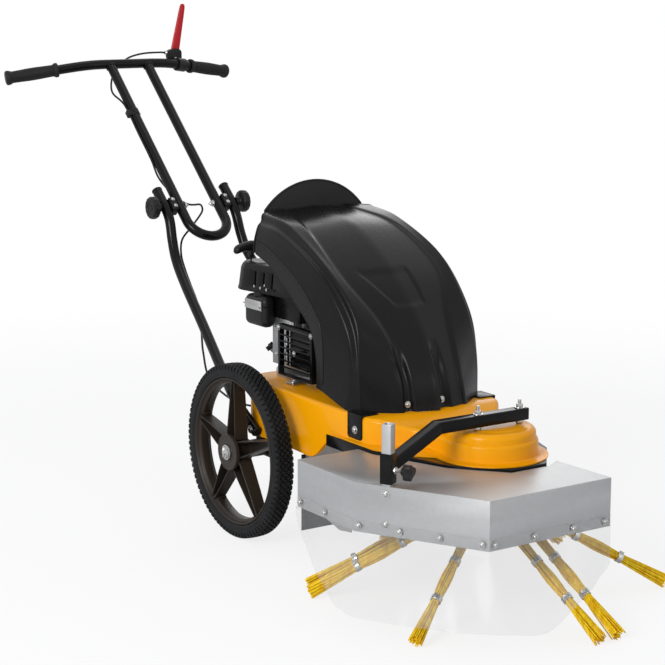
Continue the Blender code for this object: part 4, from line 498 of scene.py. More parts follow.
def cut(obj, *tools):
    return boolean(obj, merged(*tools) if len(tools) > 1 else tools[0], "DIFFERENCE")


def joined(obj, *tools):
    for tool in tools:
        obj = boolean(obj, tool, "UNION")
    return obj


def both(obj):
    """A shape together with its mirror image on the machine's other side."""
    copy = linked(obj.data.copy())
    copy.data.transform(Matrix.Scale(-1, 4, (0, 1, 0)))
    copy.data.flip_normals()
    return merged(obj, copy)


def place(obj, name, material, body, nodes=(), sharp=32, slot=None):
    """Finishes a piece: its shading, material, name, body and the nodes it stands for; its slot
    argument is not used.
    """
    if isinstance(obj, list):
        obj = merged(*obj)
    obj.data.shade_smooth()
    obj.data.set_sharp_from_angle(angle=math.radians(sharp))
    obj.data.materials.clear()
    obj.data.materials.append(MATERIALS[material])
    obj.data.transform(Matrix.Translation(SHIFT))
    obj.name = name
    obj.data.name = name
    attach(obj, body)
    if nodes:
        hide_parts(*([nodes] if isinstance(nodes, str) else nodes))
    return obj


def screw_head(centre, axis, radius, height, hexagon=True):
    """A hexagon bolt head or a pan head on its washer, standing on a surface."""
    washer = lathe([(0, 0), (radius * 1.45, 0), (radius * 1.5, 0.0004), (radius * 1.45, 0.001),
                    (0, 0.001)], steps=24)
    if hexagon:
        head = plate(circle((0, 0), radius, 6), 0.001, height, radius * 0.14)
    else:
        profile = [(0, 0.001), (radius, 0.001), (radius, height * 0.45)]
        profile += arc((radius * 0.5, height * 0.45), radius * 0.5, 0, 80, 4)
        profile += [(0, height * 0.45 + radius * 0.5)]
        head = lathe(profile, steps=24)
        head = cut(head, box((-radius * 0.6, -radius * 0.1, height * 0.5),
                             (radius * 0.6, radius * 0.1, height * 2), 0))
    return moved(merged(washer, head), standing(centre, axis))


def pan_head(centre, axis, radius, height):
    return screw_head(centre, axis, radius, height, hexagon=False)


# Materials


def set_values(node, values):
    for name, value in values.items():
        node.inputs[name].default_value = value


def add_node(tree, kind, values=None, operation=None):
    """A new shader node with the values of its inputs."""
    node = tree.nodes.new("ShaderNode" + kind)
    if operation:
        node.operation = operation
    set_values(node, values or {})
    return node


def mix_shaders(tree, share, first, second, target):
    mix = add_node(tree, "MixShader")
    for source, socket in ((share, "Fac"), (first, 1), (second, 2)):
        tree.links.new(source, mix.inputs[socket])
    tree.links.new(mix.outputs["Shader"], target.inputs["Surface"])


def make_surface(name, colour, other, roughness, metallic=0.0, coat=0.0, coat_roughness=0.08,
                 tint_scale=7.0, rough_span=0.08, rough_scale=24.0, grain_scale=700.0,
                 grain_depth=0.00003, alpha=1.0, specular=0.5, stretch=(1, 1, 1)):
    """Noise gives the colour, roughness and fine relief of one finish."""
    material = bpy.data.materials.new(name)
    material.use_nodes = True
    tree = material.node_tree
    link = tree.links.new
    shader = tree.nodes["Principled BSDF"]
    set_values(shader, {"Metallic": metallic, "Coat Weight": coat, "Alpha": alpha,
                        "Coat Roughness": coat_roughness, "Specular IOR Level": specular})
    coordinates = add_node(tree, "TexCoord")
    mapping = add_node(tree, "Mapping", {"Scale": stretch})
    link(coordinates.outputs["Object"], mapping.inputs["Vector"])

    def noise(scale, detail):
        node = add_node(tree, "TexNoise", {"Scale": scale, "Detail": detail})
        link(mapping.outputs["Vector"], node.inputs["Vector"])
        return node.outputs["Fac"]

    ramp = add_node(tree, "ValToRGB")
    low, high = ramp.color_ramp.elements
    low.position, low.color = 0.35, (*colour, 1)
    high.position, high.color = 0.7, (*other, 1)
    link(noise(tint_scale, 5.0), ramp.inputs["Fac"])
    link(ramp.outputs["Color"], shader.inputs["Base Color"])

    span = add_node(tree, "MapRange", {"From Min": 0.3, "From Max": 0.7,
                                       "To Min": roughness - rough_span / 2,
                                       "To Max": roughness + rough_span / 2})
    link(noise(rough_scale, 4.0), span.inputs["Value"])
    link(span.outputs["Result"], shader.inputs["Roughness"])

    bump = add_node(tree, "Bump", {"Strength": 1.0, "Distance": grain_depth})
    link(noise(grain_scale, 3.0), bump.inputs["Height"])
    link(bump.outputs["Normal"], shader.inputs["Normal"])
    MATERIALS[name] = material
    return material


def make_galvanised():
    """Zinc-dipped sheet: a fine rolled grain with faint, soft crystal patches."""
    material = make_surface(
        "galvanised", (0.4, 0.405, 0.41), (0.46, 0.465, 0.47), 0.4, metallic=0.75,
        tint_scale=3.0, rough_span=0.08, rough_scale=9.0, grain_scale=420.0,
        grain_depth=0.00002, specular=0.35, stretch=(1, 1, 7),
    )
    tree = material.node_tree
    link = tree.links.new
    shader = tree.nodes["Principled BSDF"]
    ramp = shader.inputs["Base Color"].links[0].from_node
    crystals = add_node(tree, "TexVoronoi", {"Scale": 130.0})
    link(tree.nodes["Texture Coordinate"].outputs["Object"], crystals.inputs["Vector"])
    shade = add_node(tree, "MapRange", {"To Min": 0.965, "To Max": 1.02})
    link(crystals.outputs["Color"], shade.inputs["Value"])
    mix = add_node(tree, "Mix")
    mix.data_type = "RGBA"
    mix.blend_type = "MULTIPLY"
    mix.inputs["Factor"].default_value = 1.0
    link(ramp.outputs["Color"], mix.inputs["A"])
    link(shade.outputs["Result"], mix.inputs["B"])
    link(mix.outputs["Result"], shader.inputs["Base Color"])


def make_materials():
    make_surface("yellow_paint", (0.88, 0.362, 0.0008), (0.85, 0.345, 0.0006), 0.32, coat=0.16,
                 coat_roughness=0.05, rough_span=0.06, grain_scale=260.0, grain_depth=0.00003,
                 specular=0.08)
    make_surface("black_paint", (0.003, 0.003, 0.0032), (0.0046, 0.0046, 0.0048), 0.2,
                 rough_span=0.06, grain_scale=420.0, grain_depth=0.00002, specular=0.16)
    make_surface("black_shell", (0.0046, 0.0046, 0.0048), (0.0064, 0.0064, 0.0066), 0.27,
                 grain_scale=1400.0, grain_depth=0.00002, tint_scale=3.0, specular=0.16)
    make_surface("black_plastic", (0.008, 0.008, 0.008), (0.012, 0.012, 0.012), 0.38,
                 grain_scale=900.0, specular=0.2)
    make_surface("black_rubber", (0.0085, 0.0085, 0.0085), (0.013, 0.013, 0.013), 0.58,
                 grain_scale=800.0, grain_depth=0.00005, specular=0.22)
    make_surface("tyre_rubber", (0.0095, 0.0098, 0.0105), (0.015, 0.0153, 0.016), 0.66,
                 grain_scale=600.0, grain_depth=0.00006, tint_scale=14.0, specular=0.16)
    make_surface("brown_nylon", (0.022, 0.0165, 0.0125), (0.033, 0.025, 0.019), 0.4,
                 grain_scale=700.0, grain_depth=0.00004, specular=0.2)
    make_surface("zinc_steel", (0.46, 0.46, 0.45), (0.56, 0.56, 0.55), 0.3, metallic=1.0,
                 grain_scale=500.0, tint_scale=40.0)
    make_surface("cast_aluminium", (0.34, 0.345, 0.35), (0.44, 0.445, 0.45), 0.45, metallic=0.9,
                 grain_scale=450.0, grain_depth=0.00012, tint_scale=30.0)
    make_surface("red_plastic", (0.5, 0.004, 0.01), (0.44, 0.003, 0.008), 0.3, coat=0.15,
                 coat_roughness=0.15, specular=0.25)
    make_surface("clear_sheet", (0.52, 0.525, 0.53), (0.56, 0.565, 0.57), 0.14, alpha=0.115,
                 grain_scale=22.0, grain_depth=0.0005, rough_span=0.05, specular=0.3)
    make_surface("yellow_strand", (0.78, 0.44, 0.004), (1, 0.76, 0.024), 0.34,
                 tint_scale=90.0, grain_scale=300.0, specular=0.2, stretch=(1, 1, 0.35))
    make_galvanised()


# Wheels


def tread_block(shape, angle, across, half, top, foot, taper):
    """A four-sided block on the tyre, its points along and across the tread."""
    rings = []
    for radius, share in ((foot, 1), (top - 0.0006, 1.0 - taper * 0.6), (top, 1.0 - taper)):
        ring = []
        for a, b in ((-1, 0), (0, -1), (1, 0), (0, 1)):
            turn = angle + a * half * share / WHEEL_RADIUS
            ring.append(shape.verts.new((radius * math.cos(turn), radius * math.sin(turn),
                                         across + b * half * share)))
        rings.append(ring)
    bridged(shape, rings, ends=True)


LUG_HALF = 0.0043
LUG_SECTION = ((0.1915, 0.015), (0.199, 0.0152), (0.1986, 0.0188), (0.1968, 0.0212),
               (0.1925, 0.0223), (0.188, 0.0224), (0.1868, 0.0205))


def shoulder_lug(shape, angle, side):
    """A lug that wraps from the tread's edge down to the side wall."""
    rings = []
    for share, shrink in ((-1.0, 0.0006), (-0.82, 0), (0.82, 0), (1, 0.0006)):
        turn = angle + share * LUG_HALF / WHEEL_RADIUS
        rings.append([
            shape.verts.new(((radius - shrink) * math.cos(turn),
                             (radius - shrink) * math.sin(turn), side * across))
            for radius, across in LUG_SECTION
        ])
    bridged(shape, rings, ends=True)


BLOCK_HALF = 0.0061
BLOCK_FOOT = 0.193
BLOCK_TAPER = 0.22
BLOCK_ROWS = ((0, 0.1999), (0.007, 0.1997), (0.014, 0.199))


def make_tyre():
    half = TYRE_WIDTH / 2
    side_wall = [(RIM_RADIUS + GAP, 0.016), (RIM_RADIUS + 0.0012, 0.0195),
                 (RIM_RADIUS + 0.0035, 0.0214), (RIM_RADIUS + 0.0065, half - 0.0006),
                 (RIM_RADIUS + 0.0075, half), (RIM_RADIUS + 0.0088, half),
                 (RIM_RADIUS + 0.0095, half - 0.0007), (0.185, half - 0.0004),
                 (0.1885, half - 0.0012), (0.192, 0.0195), (0.1942, 0.015), (0.1955, 0)]
    profile = side_wall + [(radius, -across) for radius, across in reversed(side_wall[:-1])]
    carcass = lathe(profile, steps=180, closed=True)
    shape = bmesh.new()
    shape.from_mesh(carcass.data)
    bpy.data.objects.remove(carcass, do_unlink=True)
    step = math.tau / TREAD_COLUMNS
    for column in range(TREAD_COLUMNS):
        for row, (across, top) in enumerate(BLOCK_ROWS):
            angle = (column + 0.5 * (row % 2)) * step
            for mirror in (1,) if row == 0 else (1, -1):
                tread_block(shape, angle, mirror * across, BLOCK_HALF, top, BLOCK_FOOT,
                            BLOCK_TAPER)
        for mirror in (1, -1):
            shoulder_lug(shape, (column + 0.5) * step, mirror)
    return from_bmesh(shape)


RIM_STEPS = 160
SPOKE_COUNT = 5
SPOKE_HUB_HALF = 0.0165
SPOKE_RIM_HALF = 0.0052
SPOKE_MIDDLE_HALF = (SPOKE_HUB_HALF + SPOKE_RIM_HALF) / 2


def spoke_wall(side):
    """One thin rib of a spoke, its front edge running from the hub's face to the rim's lip."""
    loops = []
    for x, half, front in ((0.03, SPOKE_HUB_HALF + 0.0015, 0.0225),
                           (0.05, SPOKE_HUB_HALF, 0.0215), (0.11, SPOKE_MIDDLE_HALF, 0.0185),
                           (0.16, SPOKE_RIM_HALF, 0.0165)):
        middle = side * half
        edge = 0.0006
        loops.append([
            (x, middle - 0.0016, -0.0115), (x, middle + 0.0016, -0.0115),
            (x, middle + 0.0013, front - edge), (x, middle + 0.0013 - edge, front),
            (x, middle - 0.0013 + edge, front), (x, middle - 0.0013, front - edge),
        ])
    return loft(loops)


def spoke_floor():
    """The web that joins a spoke's two ribs, set back from their front edges."""
    loops = []
    for x, half in ((0.03, SPOKE_HUB_HALF), (0.11, SPOKE_MIDDLE_HALF), (0.16, SPOKE_RIM_HALF)):
        loops.append([(x, -half, -0.0108), (x, half, -0.0108), (x, half, -0.006),
                      (x, 0, -0.0075), (x, -half, -0.006)])
    return loft(loops)


def make_rim():
    """The rim ring and the hub, joined by ribbed spokes."""
    lip = 0.0205
    ring_profile = evened([
        (0.1546, 0.007), (0.1556, 0.01), (0.159, 0.0125), (0.1622, 0.016),
        (RIM_RADIUS - 0.0042, 0.0195), (RIM_RADIUS - 0.003, lip), (RIM_RADIUS - 0.0014, lip),
        (RIM_RADIUS - 0.0004, 0.0196), (RIM_RADIUS, 0.015),
    ])
    parts = [lathe(ring_profile, steps=RIM_STEPS, closed=True)]
    hub_face = HUB_DISC_OUTER - WHEEL_Y
    hub_profile = [(0.0103, hub_face - 0.001), (0.0108, hub_face - 0.0004),
                   (0.019, hub_face - 0.0004), (0.0198, hub_face), (0.0225, hub_face),
                   (0.0232, hub_face - 0.0006), (HUB_DISC_RADIUS - 0.005, hub_face - 0.0006),
                   (HUB_DISC_RADIUS - 0.0042, hub_face), (HUB_DISC_RADIUS - 0.0016, hub_face)]
    hub_profile += arc((HUB_DISC_RADIUS - 0.0016, hub_face - 0.0016), 0.0016, 75, 0, 3)
    hub_profile += [(HUB_DISC_RADIUS, hub_face - 0.0085),
                    (HUB_DISC_RADIUS - 0.0012, hub_face - 0.01), (0.032, hub_face - 0.0105),
                    (0.029, hub_face - 0.013), (0.028, 0), (0.028, -0.0185),
                    (0.0265, -0.02), (0.0205, -0.024), (0.02, -0.026),
                    (0.02, -0.0668), (0.0103, -0.0668)]
    parts.append(lathe(hub_profile, steps=72, closed=True))
    for i in range(SPOKE_COUNT):
        spoke = merged(spoke_wall(1), spoke_wall(-1), spoke_floor())
        turn = math.tau * i / SPOKE_COUNT + math.pi / 2
        parts.append(spun(spoke, turn))
        for side in (-1, 1):
            gusset = box((0.148, -0.0012, -0.01), (0.157, 0.0012, 0.01), 0.0004, 2)
            parts.append(spun(gusset, turn + side * 0.085))
    for side in (-1, 1):
        bead = lathe([(0.1628, side * 0.0158), (0.1618, side * 0.017), (0.1612, side * 0.0158),
                      (0.1618, side * 0.0146)], steps=RIM_STEPS, closed=True)
        parts.append(bead)
    return merged(*parts)


def cap_lobes():
    """The pressed three-lobed retainer on the axle's end."""
    star = plate(lobed(0.0158, 0.005, 3, 60), 0.0028, 0.0052, 0.0008)
    parts = [star, lathe([(0, 0), (0.0172, 0), (0.0176, 0.0006), (0.0172, 0.003),
                          (0.016, 0.0036), (0.0145, 0.003), (0, 0.003)], steps=48)]
    for i in range(3):
        angle = math.tau * i / 3
        lobe = lathe([(0, 0.0086), (0.0018, 0.0083), (0.0036, 0.0072), (0.0044, 0.0052),
                      (0.0044, 0.004), (0, 0.004)], steps=24)
        moved(lobe, Matrix.Diagonal((1.7, 0.62, 1, 1)))
        parts.append(spun(moved(lobe, Matrix.Translation((0.0078, 0, 0))), angle))
    parts.append(lathe([(0, 0.0104), (0.003, 0.01), (0.0048, 0.0086), (0.0054, 0.006),
                        (0.0054, 0.004), (0, 0.004)], steps=32))
    return merged(*parts)


def make_wheels():
    for side, word in SIDES:
        turn = standing((0, side * WHEEL_Y, WHEEL_RADIUS), (0, side, 0))
        place(moved(make_tyre(), turn), f"tyre_tread_{word}", "tyre_rubber", f"wheel_{word}",
              f"tyre_{word}", sharp=24)
        place(moved(make_rim(), turn), f"spoked_rim_{word}", "brown_nylon", f"wheel_{word}",
              f"rim_{word}", sharp=35)
        cap = moved(cap_lobes(), standing((0, side * (HUB_DISC_OUTER + GAP), WHEEL_RADIUS),
                                          (0, side, 0)))
        place(cap, f"axle_retainer_{word}", "zinc_steel", "chassis", f"axle_cap_{word}")


# Deck


def skirt_bottom(x):
    rise = eased((x - SKIRT_END) / (FLANGE_START - SKIRT_END))
    return SKIRT_BOTTOM + (FLANGE_Z - SKIRT_BOTTOM) * rise


NECK_RAMP_START = 0.435
NECK_RAMP_LENGTH = 0.075


def deck_top(x):
    fall = eased((x - NECK_RAMP_START) / NECK_RAMP_LENGTH)
    return DECK_TOP + (NECK_TOP - DECK_TOP) * fall


def deck_plan(inset):
    """Half of the deck's outline, from its rear edge to its nose."""
    half = DECK_HALF_WIDTH - inset
    corner = DECK_CORNER - inset
    rear = DECK_REAR + inset
    points = arc((rear + corner, half - corner), corner, 180, 90, 14)
    points += [(0.05, half), (0.1, half), (0.16, half), (SKIRT_END, half)]
    points += [(SKIRT_END + (FLANGE_START - SKIRT_END) * t / 12, half) for t in range(1, 13)]
    points += [(0.375, half)]
    neck = NECK_HALF_WIDTH - inset
    for step in range(0, 19):
        t = step / 18
        x = TAPER_START + (NECK_X - TAPER_START) * t
        points.append((x, half + (neck - half) * eased(t)))
    nose = TURRET_RADIUS + TURRET_STEP - inset
    return points + arc((BRUSH_X, 0), nose, 105, 0, 22)[:-1]


def flange_plan():
    """The outer edge of the lip that runs along the deck's lower edge."""
    points = []
    for x, y in deck_plan(0):
        width = FLANGE_HALF_WIDTH - DECK_HALF_WIDTH
        grown = min(max((x - 0.15) / (FLANGE_START - 0.15), 0), 1)
        if x <= TAPER_START:
            points.append((x, y + width * grown if x > 0.12 else y))
        elif x <= NECK_X + 0.001:
            straight = FLANGE_HALF_WIDTH - max(0, x - FLANGE_TURN) * FLANGE_TAPER
            points.append((x, straight))
        else:
            away = Vector((x - BRUSH_X, y)).normalized() * NOSE_RADIUS
            points.append((BRUSH_X + away.x, away.y))
    return points


def strip_loft(levels):
    """A closed solid from half outlines, mirrored, with its ends filled in strips."""
    shape = bmesh.new()
    rings = [[shape.verts.new(spot) for spot in half]
             + [shape.verts.new((x, -y, z)) for x, y, z in reversed(half)] for half in levels]
    bridged(shape, rings)
    for ring in (rings[0], rings[-1]):
        for i in range(len(levels[0]) - 1):
            shape.faces.new((ring[i], ring[i + 1], ring[-2 - i], ring[-1 - i]))
    return outward(from_bmesh(shape))


def deck_solid():
    """The pressed shell's outside, from its rolled lip up over its rounded shoulder."""
    wall = deck_plan(0)
    lip = flange_plan()
    levels = [[(x, y, skirt_bottom(x)) for x, y in lip],
              [(x, y, skirt_bottom(x) + DECK_SHEET) for x, y in lip]]
    for share, lift in ((0.3, 0.0004), (0.12, 0.0014), (0.03, 0.003), (0, 0.0055)):
        levels.append([(w[0] + (l[0] - w[0]) * share, w[1] + (l[1] - w[1]) * share,
                        skirt_bottom(w[0]) + DECK_SHEET + lift) for w, l in zip(wall, lip)])
    for step in range(6):
        angle = math.pi / 2 * step / 5
        inset = EDGE_ROUND * (1 - math.cos(angle))
        drop = EDGE_ROUND * (1 - math.sin(angle))
        levels.append([(x, y, deck_top(x) - drop) for x, y in deck_plan(inset)])
    return strip_loft(levels)


def deck_hollow():
    wall = deck_plan(DECK_SHEET)
    inner = deck_plan(EDGE_ROUND)
    return strip_loft([
        [(x, y, SKIRT_BOTTOM - 0.02) for x, y in wall],
        [(x, y, deck_top(x) - EDGE_ROUND) for x, y in wall],
        [(x, y, deck_top(x) - DECK_SHEET) for x, y in inner],
    ])


def make_deck():
    drum = [(0, TURRET_TOP), (0.06, TURRET_TOP), (0.064, TURRET_TOP - 0.0004),
            (0.067, TURRET_TOP - 0.0016), (0.07, TURRET_TOP - 0.002)]
    drum += arc((TURRET_RADIUS - 0.013, TURRET_TOP - 0.015), 0.013, 86, 0, 8)
    foot = FLANGE_Z + DECK_SHEET
    drum += [(TURRET_RADIUS, foot + 0.013)]
    drum += arc((TURRET_RADIUS + 0.012, foot + 0.0125), 0.012, 180, 262, 7)
    drum += [(TURRET_RADIUS + 0.0115, foot - 0.001), (0, foot - 0.001)]
    deck = joined(deck_solid(), lathe(drum, (BRUSH_X, 0, 0), Z_AXIS, 96))
    deck = cut(deck, deck_hollow())
    inner = TURRET_RADIUS - DECK_SHEET
    ceiling = TURRET_TOP - DECK_SHEET - 0.002
    hollow = [(0, ceiling), (inner - 0.012, ceiling)]
    hollow += arc((inner - 0.012, ceiling - 0.012), 0.012, 85, 0, 4)
    hollow += [(inner, FLANGE_Z - 0.02), (0, FLANGE_Z - 0.02)]
    deck = cut(deck, lathe(hollow, (BRUSH_X, 0, 0), Z_AXIS, 48))
    place(deck, "deck_pressing", "yellow_paint", "chassis", "deck_shell", sharp=28)


def guard_outline():
    half = FLANGE_HALF_WIDTH + 0.003
    return [(0.3, half), (FLANGE_TURN + 0.008, half), (BRUSH_X + 0.028, NOSE_RADIUS + 0.009),
            (BRUSH_X + 0.124, 0.046)]


def outset(points, distance, side=-1, last=None):
    """Moves an open outline to its left with side 1, or to its right with side -1."""
    points = [Vector(point) for point in points]
    result = []
    for i, point in enumerate(points):
        normals = []
        for a, b in ((i - 1, i), (i, i + 1)):
            if a >= 0 and b < len(points):
                step = (points[b] - points[a]).normalized()
                normals.append(Vector((-step.y, step.x)) * side)
        if last and i == len(points) - 1:
            normals.append(Vector(last))
        total = sum(normals, Vector((0, 0))).normalized()
        result.append(point + total * distance / max(total.dot(normals[0]), 0.3))
    return result


def grown_guard(distance):
    """The guard's half outline moved outwards, its last point straight ahead as well."""
    return outset(guard_outline(), distance, 1, (1, 0))


def deck_fasteners():
    """Small bolts on the deck, the frame tubes and the cover's tabs."""
    heads = [screw_head((0.536, y, NECK_TOP), Z_AXIS, 0.005, 0.0048) for y in (-0.09, 0.09)]
    outer = DECK_HALF_WIDTH + GAP + 2 * TUBE_RADIUS
    for side in (-1, 1):
        for x, z in ((-0.03, 0.264), (0.002, 0.2455)):
            heads.append(screw_head((x, side * (outer - 0.001), z), (0, side, 0), 0.0065, 0.0034))
        tab_face = DECK_HALF_WIDTH + GAP + COVER_SHEET
        heads.append(pan_head((0.392, side * tab_face, 0.322), (0, side, 0), 0.0058, 0.0062))
    place(heads, "deck_bolts", "zinc_steel", "chassis")


# Lines of the cover, from its rear edge to its foot

CENTRE_LINE = [(COVER_REAR, 0, 0.745), (0.122, 0, 0.718), (0.271, 0, 0.634),
               (0.362, 0, 0.542), (0.43, 0, 0.434), (0.452, 0, COVER_FOOT)]
RIDGE_LINE = [(COVER_REAR, 0.085, 0.739), (0.122, 0.121, 0.708), (0.271, 0.132, 0.624),
              (0.355, 0.094, 0.535), (0.419, 0.076, 0.433), (0.44, 0.079, COVER_FOOT)]
PANEL_SINK = ((0, 0.0045), (0.0015, 0.004), (0.003, 0.003), (0.004, 0.002),
              (0.0045, 0.0005), (0.0045, 0))
PANEL_LINE = [(x, 0, z - dz) for (x, _, z), (dx, dz) in zip(CENTRE_LINE, PANEL_SINK)]
STEP_LINE = [(x - dx, y - 0.009, z - dz)
             for (x, y, z), (dx, dz) in zip(RIDGE_LINE, PANEL_SINK)]
CREST_LINE = [(-0.022, 0.15, 0.733), (0.085, 0.15, 0.718), (0.24, 0.156, 0.652),
              (0.345, 0.15, 0.555), (0.374, 0.156, 0.45), (0.381, 0.155, COVER_FOOT)]
VALLEY_LINE = [(-0.012, 0.156, 0.717), (0.085, 0.156, 0.7025), (0.234, 0.158, 0.638),
               (0.335, 0.151, 0.541), (0.373, 0.157, 0.445), (0.38, 0.157, COVER_FOOT)]
SHOULDER_LINE = [(-0.005, 0.171, 0.71), (0.085, 0.172, 0.699), (0.235, 0.172, 0.638),
                 (0.338, 0.167, 0.535), (0.362, 0.168, 0.44), (0.35, 0.172, COVER_FOOT)]
SIDE_LINE = [(-0.008, COVER_SIDE, 0.68), (0.085, COVER_SIDE, 0.65),
             (0.19, COVER_SIDE, 0.594), (0.258, COVER_SIDE, 0.52),
             (0.27, COVER_SIDE, 0.43), (0.264, COVER_SIDE, 0.381)]
EDGE_Y = COVER_SIDE - 0.002
EDGE_LINE = [(-0.016, EDGE_Y, 0.649), (0.065, EDGE_Y, 0.62), (0.15, EDGE_Y, 0.562),
             (0.217, EDGE_Y, 0.509), (0.24, EDGE_Y, 0.446), (0.241, EDGE_Y, 0.384)]
COVER_LINES = (PANEL_LINE, STEP_LINE, RIDGE_LINE, CREST_LINE, VALLEY_LINE, SHOULDER_LINE,
               SIDE_LINE, EDGE_LINE)
COVER_ROUNDS = (0, 0.006, 0.006, 0.009, 0.009, 0.008, 0.007, 0)
MIDDLE_ROUND = 0.012
CORNER_STATIONS = (0, 0.17, 0.34, 0.5, 0.66, 0.83, 1)


def crossing(lines, station):
    """The cover's cross-section at a station, its corners rounded, from right to left."""
    corners = [Vector(line[station]) for line in lines]
    row = [Vector((p.x, -p.y, p.z)) for p in reversed(corners[1:])] + corners
    rounds = list(reversed(COVER_ROUNDS[1:])) + list(COVER_ROUNDS)
    section = [row[0]]
    middle = len(corners) - 1
    for i in range(1, len(row) - 1):
        reach = rounds[i] if i != middle else MIDDLE_ROUND
        curve = corner_curve(row[i - 1], row[i], row[i + 1], reach, 0.48, CORNER_STATIONS)
        last = section[-1]
        extra = 13 if i in (middle, middle + 1) else 2
        section += [last.lerp(curve[0], k / extra) for k in range(1, extra)] + curve
    section.append(row[-1])
    return section


FLUTE_Y = (-0.07, 0.02)
FLUTE_TOP = 0.5
FLUTE_FOOT = 0.352
FLUTE_DEPTH = 0.0125
RECESS_FOOT = 0.562
RECESS_TOP = 0.632
RECESS_LEFT = 0.045
RECESS_DEPTH = 0.003


def dented(point, normal):
    """Forms pressed into the shell: two flutes at the foot and a bare recess on the front."""
    depth = 0.0
    if point.z < FLUTE_TOP and point.x > 0.34:
        fade = eased((FLUTE_TOP - point.z) / 0.06)
        half = 0.0145 + 0.006 * (FLUTE_TOP - point.z) / (FLUTE_TOP - FLUTE_FOOT)
        for centre in FLUTE_Y:
            across = abs(point.y - centre) / half
            if across < 1.0:
                depth = max(depth, FLUTE_DEPTH * fade * eased((1 - across) / 0.75))
    if point.z > 0.55 and normal.x > 0.3:
        right = -0.035 - 0.05 * (point.z - RECESS_FOOT) / (RECESS_TOP - RECESS_FOOT)
        inside = min(RECESS_TOP - point.z, point.z - RECESS_FOOT, point.y - right,
                     RECESS_LEFT - point.y)
        if inside > 0:
            depth = max(depth, RECESS_DEPTH * eased(inside / 0.0045))
    return point - normal * depth


def make_cover():
    """A moulded shell lofted across its lines, thickened inward, with its tabs."""
    lines = [smooth_path(line, 9) for line in COVER_LINES]
    shape = bmesh.new()
    grid = [[shape.verts.new(p) for p in crossing(lines, station)]
            for station in range(len(lines[0]))]
    bridged(shape, grid, closed=False)
    cover = sheet_from(shape, len(grid[0]) // 2, Z_AXIS)
    finer = cover.modifiers.new("finer", "SUBSURF")
    finer.subdivision_type = "SIMPLE"
    finer.levels = finer.render_levels = 1
    cover = baked(cover)
    normals = [v.normal.copy() for v in cover.data.vertices]
    for vertex, normal in zip(cover.data.vertices, normals):
        vertex.co = dented(vertex.co, normal)
    cover = thickened(cover, COVER_SHEET)
    foot = DECK_TOP + GAP
    for vertex in cover.data.vertices:
        vertex.co.z = max(vertex.co.z, foot)
    cover = rounded(cover, 0.0009, 2, 55)
    inner = DECK_HALF_WIDTH + GAP
    outer = inner + COVER_SHEET
    left, right, low = 0.363, 0.415, 0.302
    tab_outline = [(left, foot + 0.003), (left, low + 0.007), (left + 0.0015, low + 0.0025),
                   (left + 0.0055, low), (right - 0.0055, low), (right - 0.0015, low + 0.0025),
                   (right, low + 0.007), (right, foot + 0.003)]
    hanging = plate(tab_outline, -outer, -inner, 0.0008)
    hanging = moved(hanging, Matrix.Rotation(math.pi / 2, 4, "X"))
    lying = box((left, 0.135, foot), (right, outer - 0.0004, foot + COVER_SHEET), 0.0008, 2)
    tabs = both(merged(hanging, lying))
    place([cover, tabs], "cover_shell", "black_shell", "chassis", "engine_cover", sharp=38)
    heads = [pan_head((0.43, y, 0.37), (1, 0, 0.15), 0.0048, 0.004) for y in FLUTE_Y]
    place(heads, "cover_foot_screws", "zinc_steel", "chassis")


def make_cover_lip():
    """The rolled bead along the cover's rear edge and along each side edge."""
    lines = [smooth_path(line, 9) for line in COVER_LINES]
    rear = [p + Vector((0.002, 0, -0.0016)) for p in crossing(lines, 0)]
    parts = [sweep(rear, 0.0022, 12)]
    for side in (-1, 1):
        edge = [Vector((p.x, side * (p.y - 0.0014), p.z)) for p in lines[-1][1:-5]]
        parts.append(sweep(edge, 0.002, 12))
        crease = [Vector((p.x, side * (p.y - 0.0009), p.z)) for p in lines[-2][1:-3]]
        parts.append(sweep(crease, 0.0022, 12))
    place(parts, "cover_edges", "black_shell", "chassis")


def make_cover_flap():
    """The upright panel at the cover's rear, an arch with a bead along its top."""
    rise = FLAP_PLATE_TOP - FLAP_PLATE_BASE
    radius = (FLAP_PLATE_HALF**2 + rise**2) / (2 * rise)
    reach = math.degrees(math.asin(FLAP_PLATE_HALF / radius))
    centre = (0, FLAP_PLATE_TOP - radius)
    outline = arc(centre, radius, 90 - reach, 90 + reach, 48)
    outline += [(-FLAP_PLATE_HALF, 0.722), (-0.1, 0.712), (0.1, 0.712),
                (FLAP_PLATE_HALF, 0.722)]
    panel = plate(outline, -0.0015, 0.0015, 0.0008, segments=3)
    x = COVER_REAR - GAP * 2 - 0.0015
    moved(panel, upright(x))
    rim = arc(centre, radius - 0.003, 90 - reach * 0.985, 90 + reach * 0.985, 48)
    bead = sweep([(x, y, z) for y, z in rim], 0.0024, 10)
    place([panel, bead], "cover_rear_panel", "black_plastic", "chassis", "cover_flap",
          slot="black_shell")


# Sheet metal under the deck


def make_under_guard():
    top = FLANGE_Z - GAP
    outer = doubled(guard_outline())
    inner = doubled(grown_guard(-0.002))
    inner = [(x - (0.01 if x < FLANGE_START else 0.0), y) for x, y in inner]
    guard = plate(outer, top - 0.025, top)
    guard = cut(guard, plate(inner, top - 0.035, top - 0.002))
    clear = FLANGE_HALF_WIDTH + 2 * GAP
    guard = cut(guard, box((0.28, -clear, top - 0.04),
                           (FLANGE_START + 0.004, clear, top + 0.01), 0))
    opening = doubled([(0.33, 0.12), (0.52, 0.12), (0.6, 0.072), (0.665, 0.045)])
    guard = cut(guard, plate(opening, top - 0.01, top + 0.01))
    guard = cut(guard, plate(circle((BRUSH_X, 0), 0.07, 48), top - 0.01, top + 0.01))
    place(rounded(guard, 0.0007, 2, 40), "front_guard_plate", "black_paint", "chassis",
          "under_guard", sharp=40)


REAR_GUARD_X = 0.19


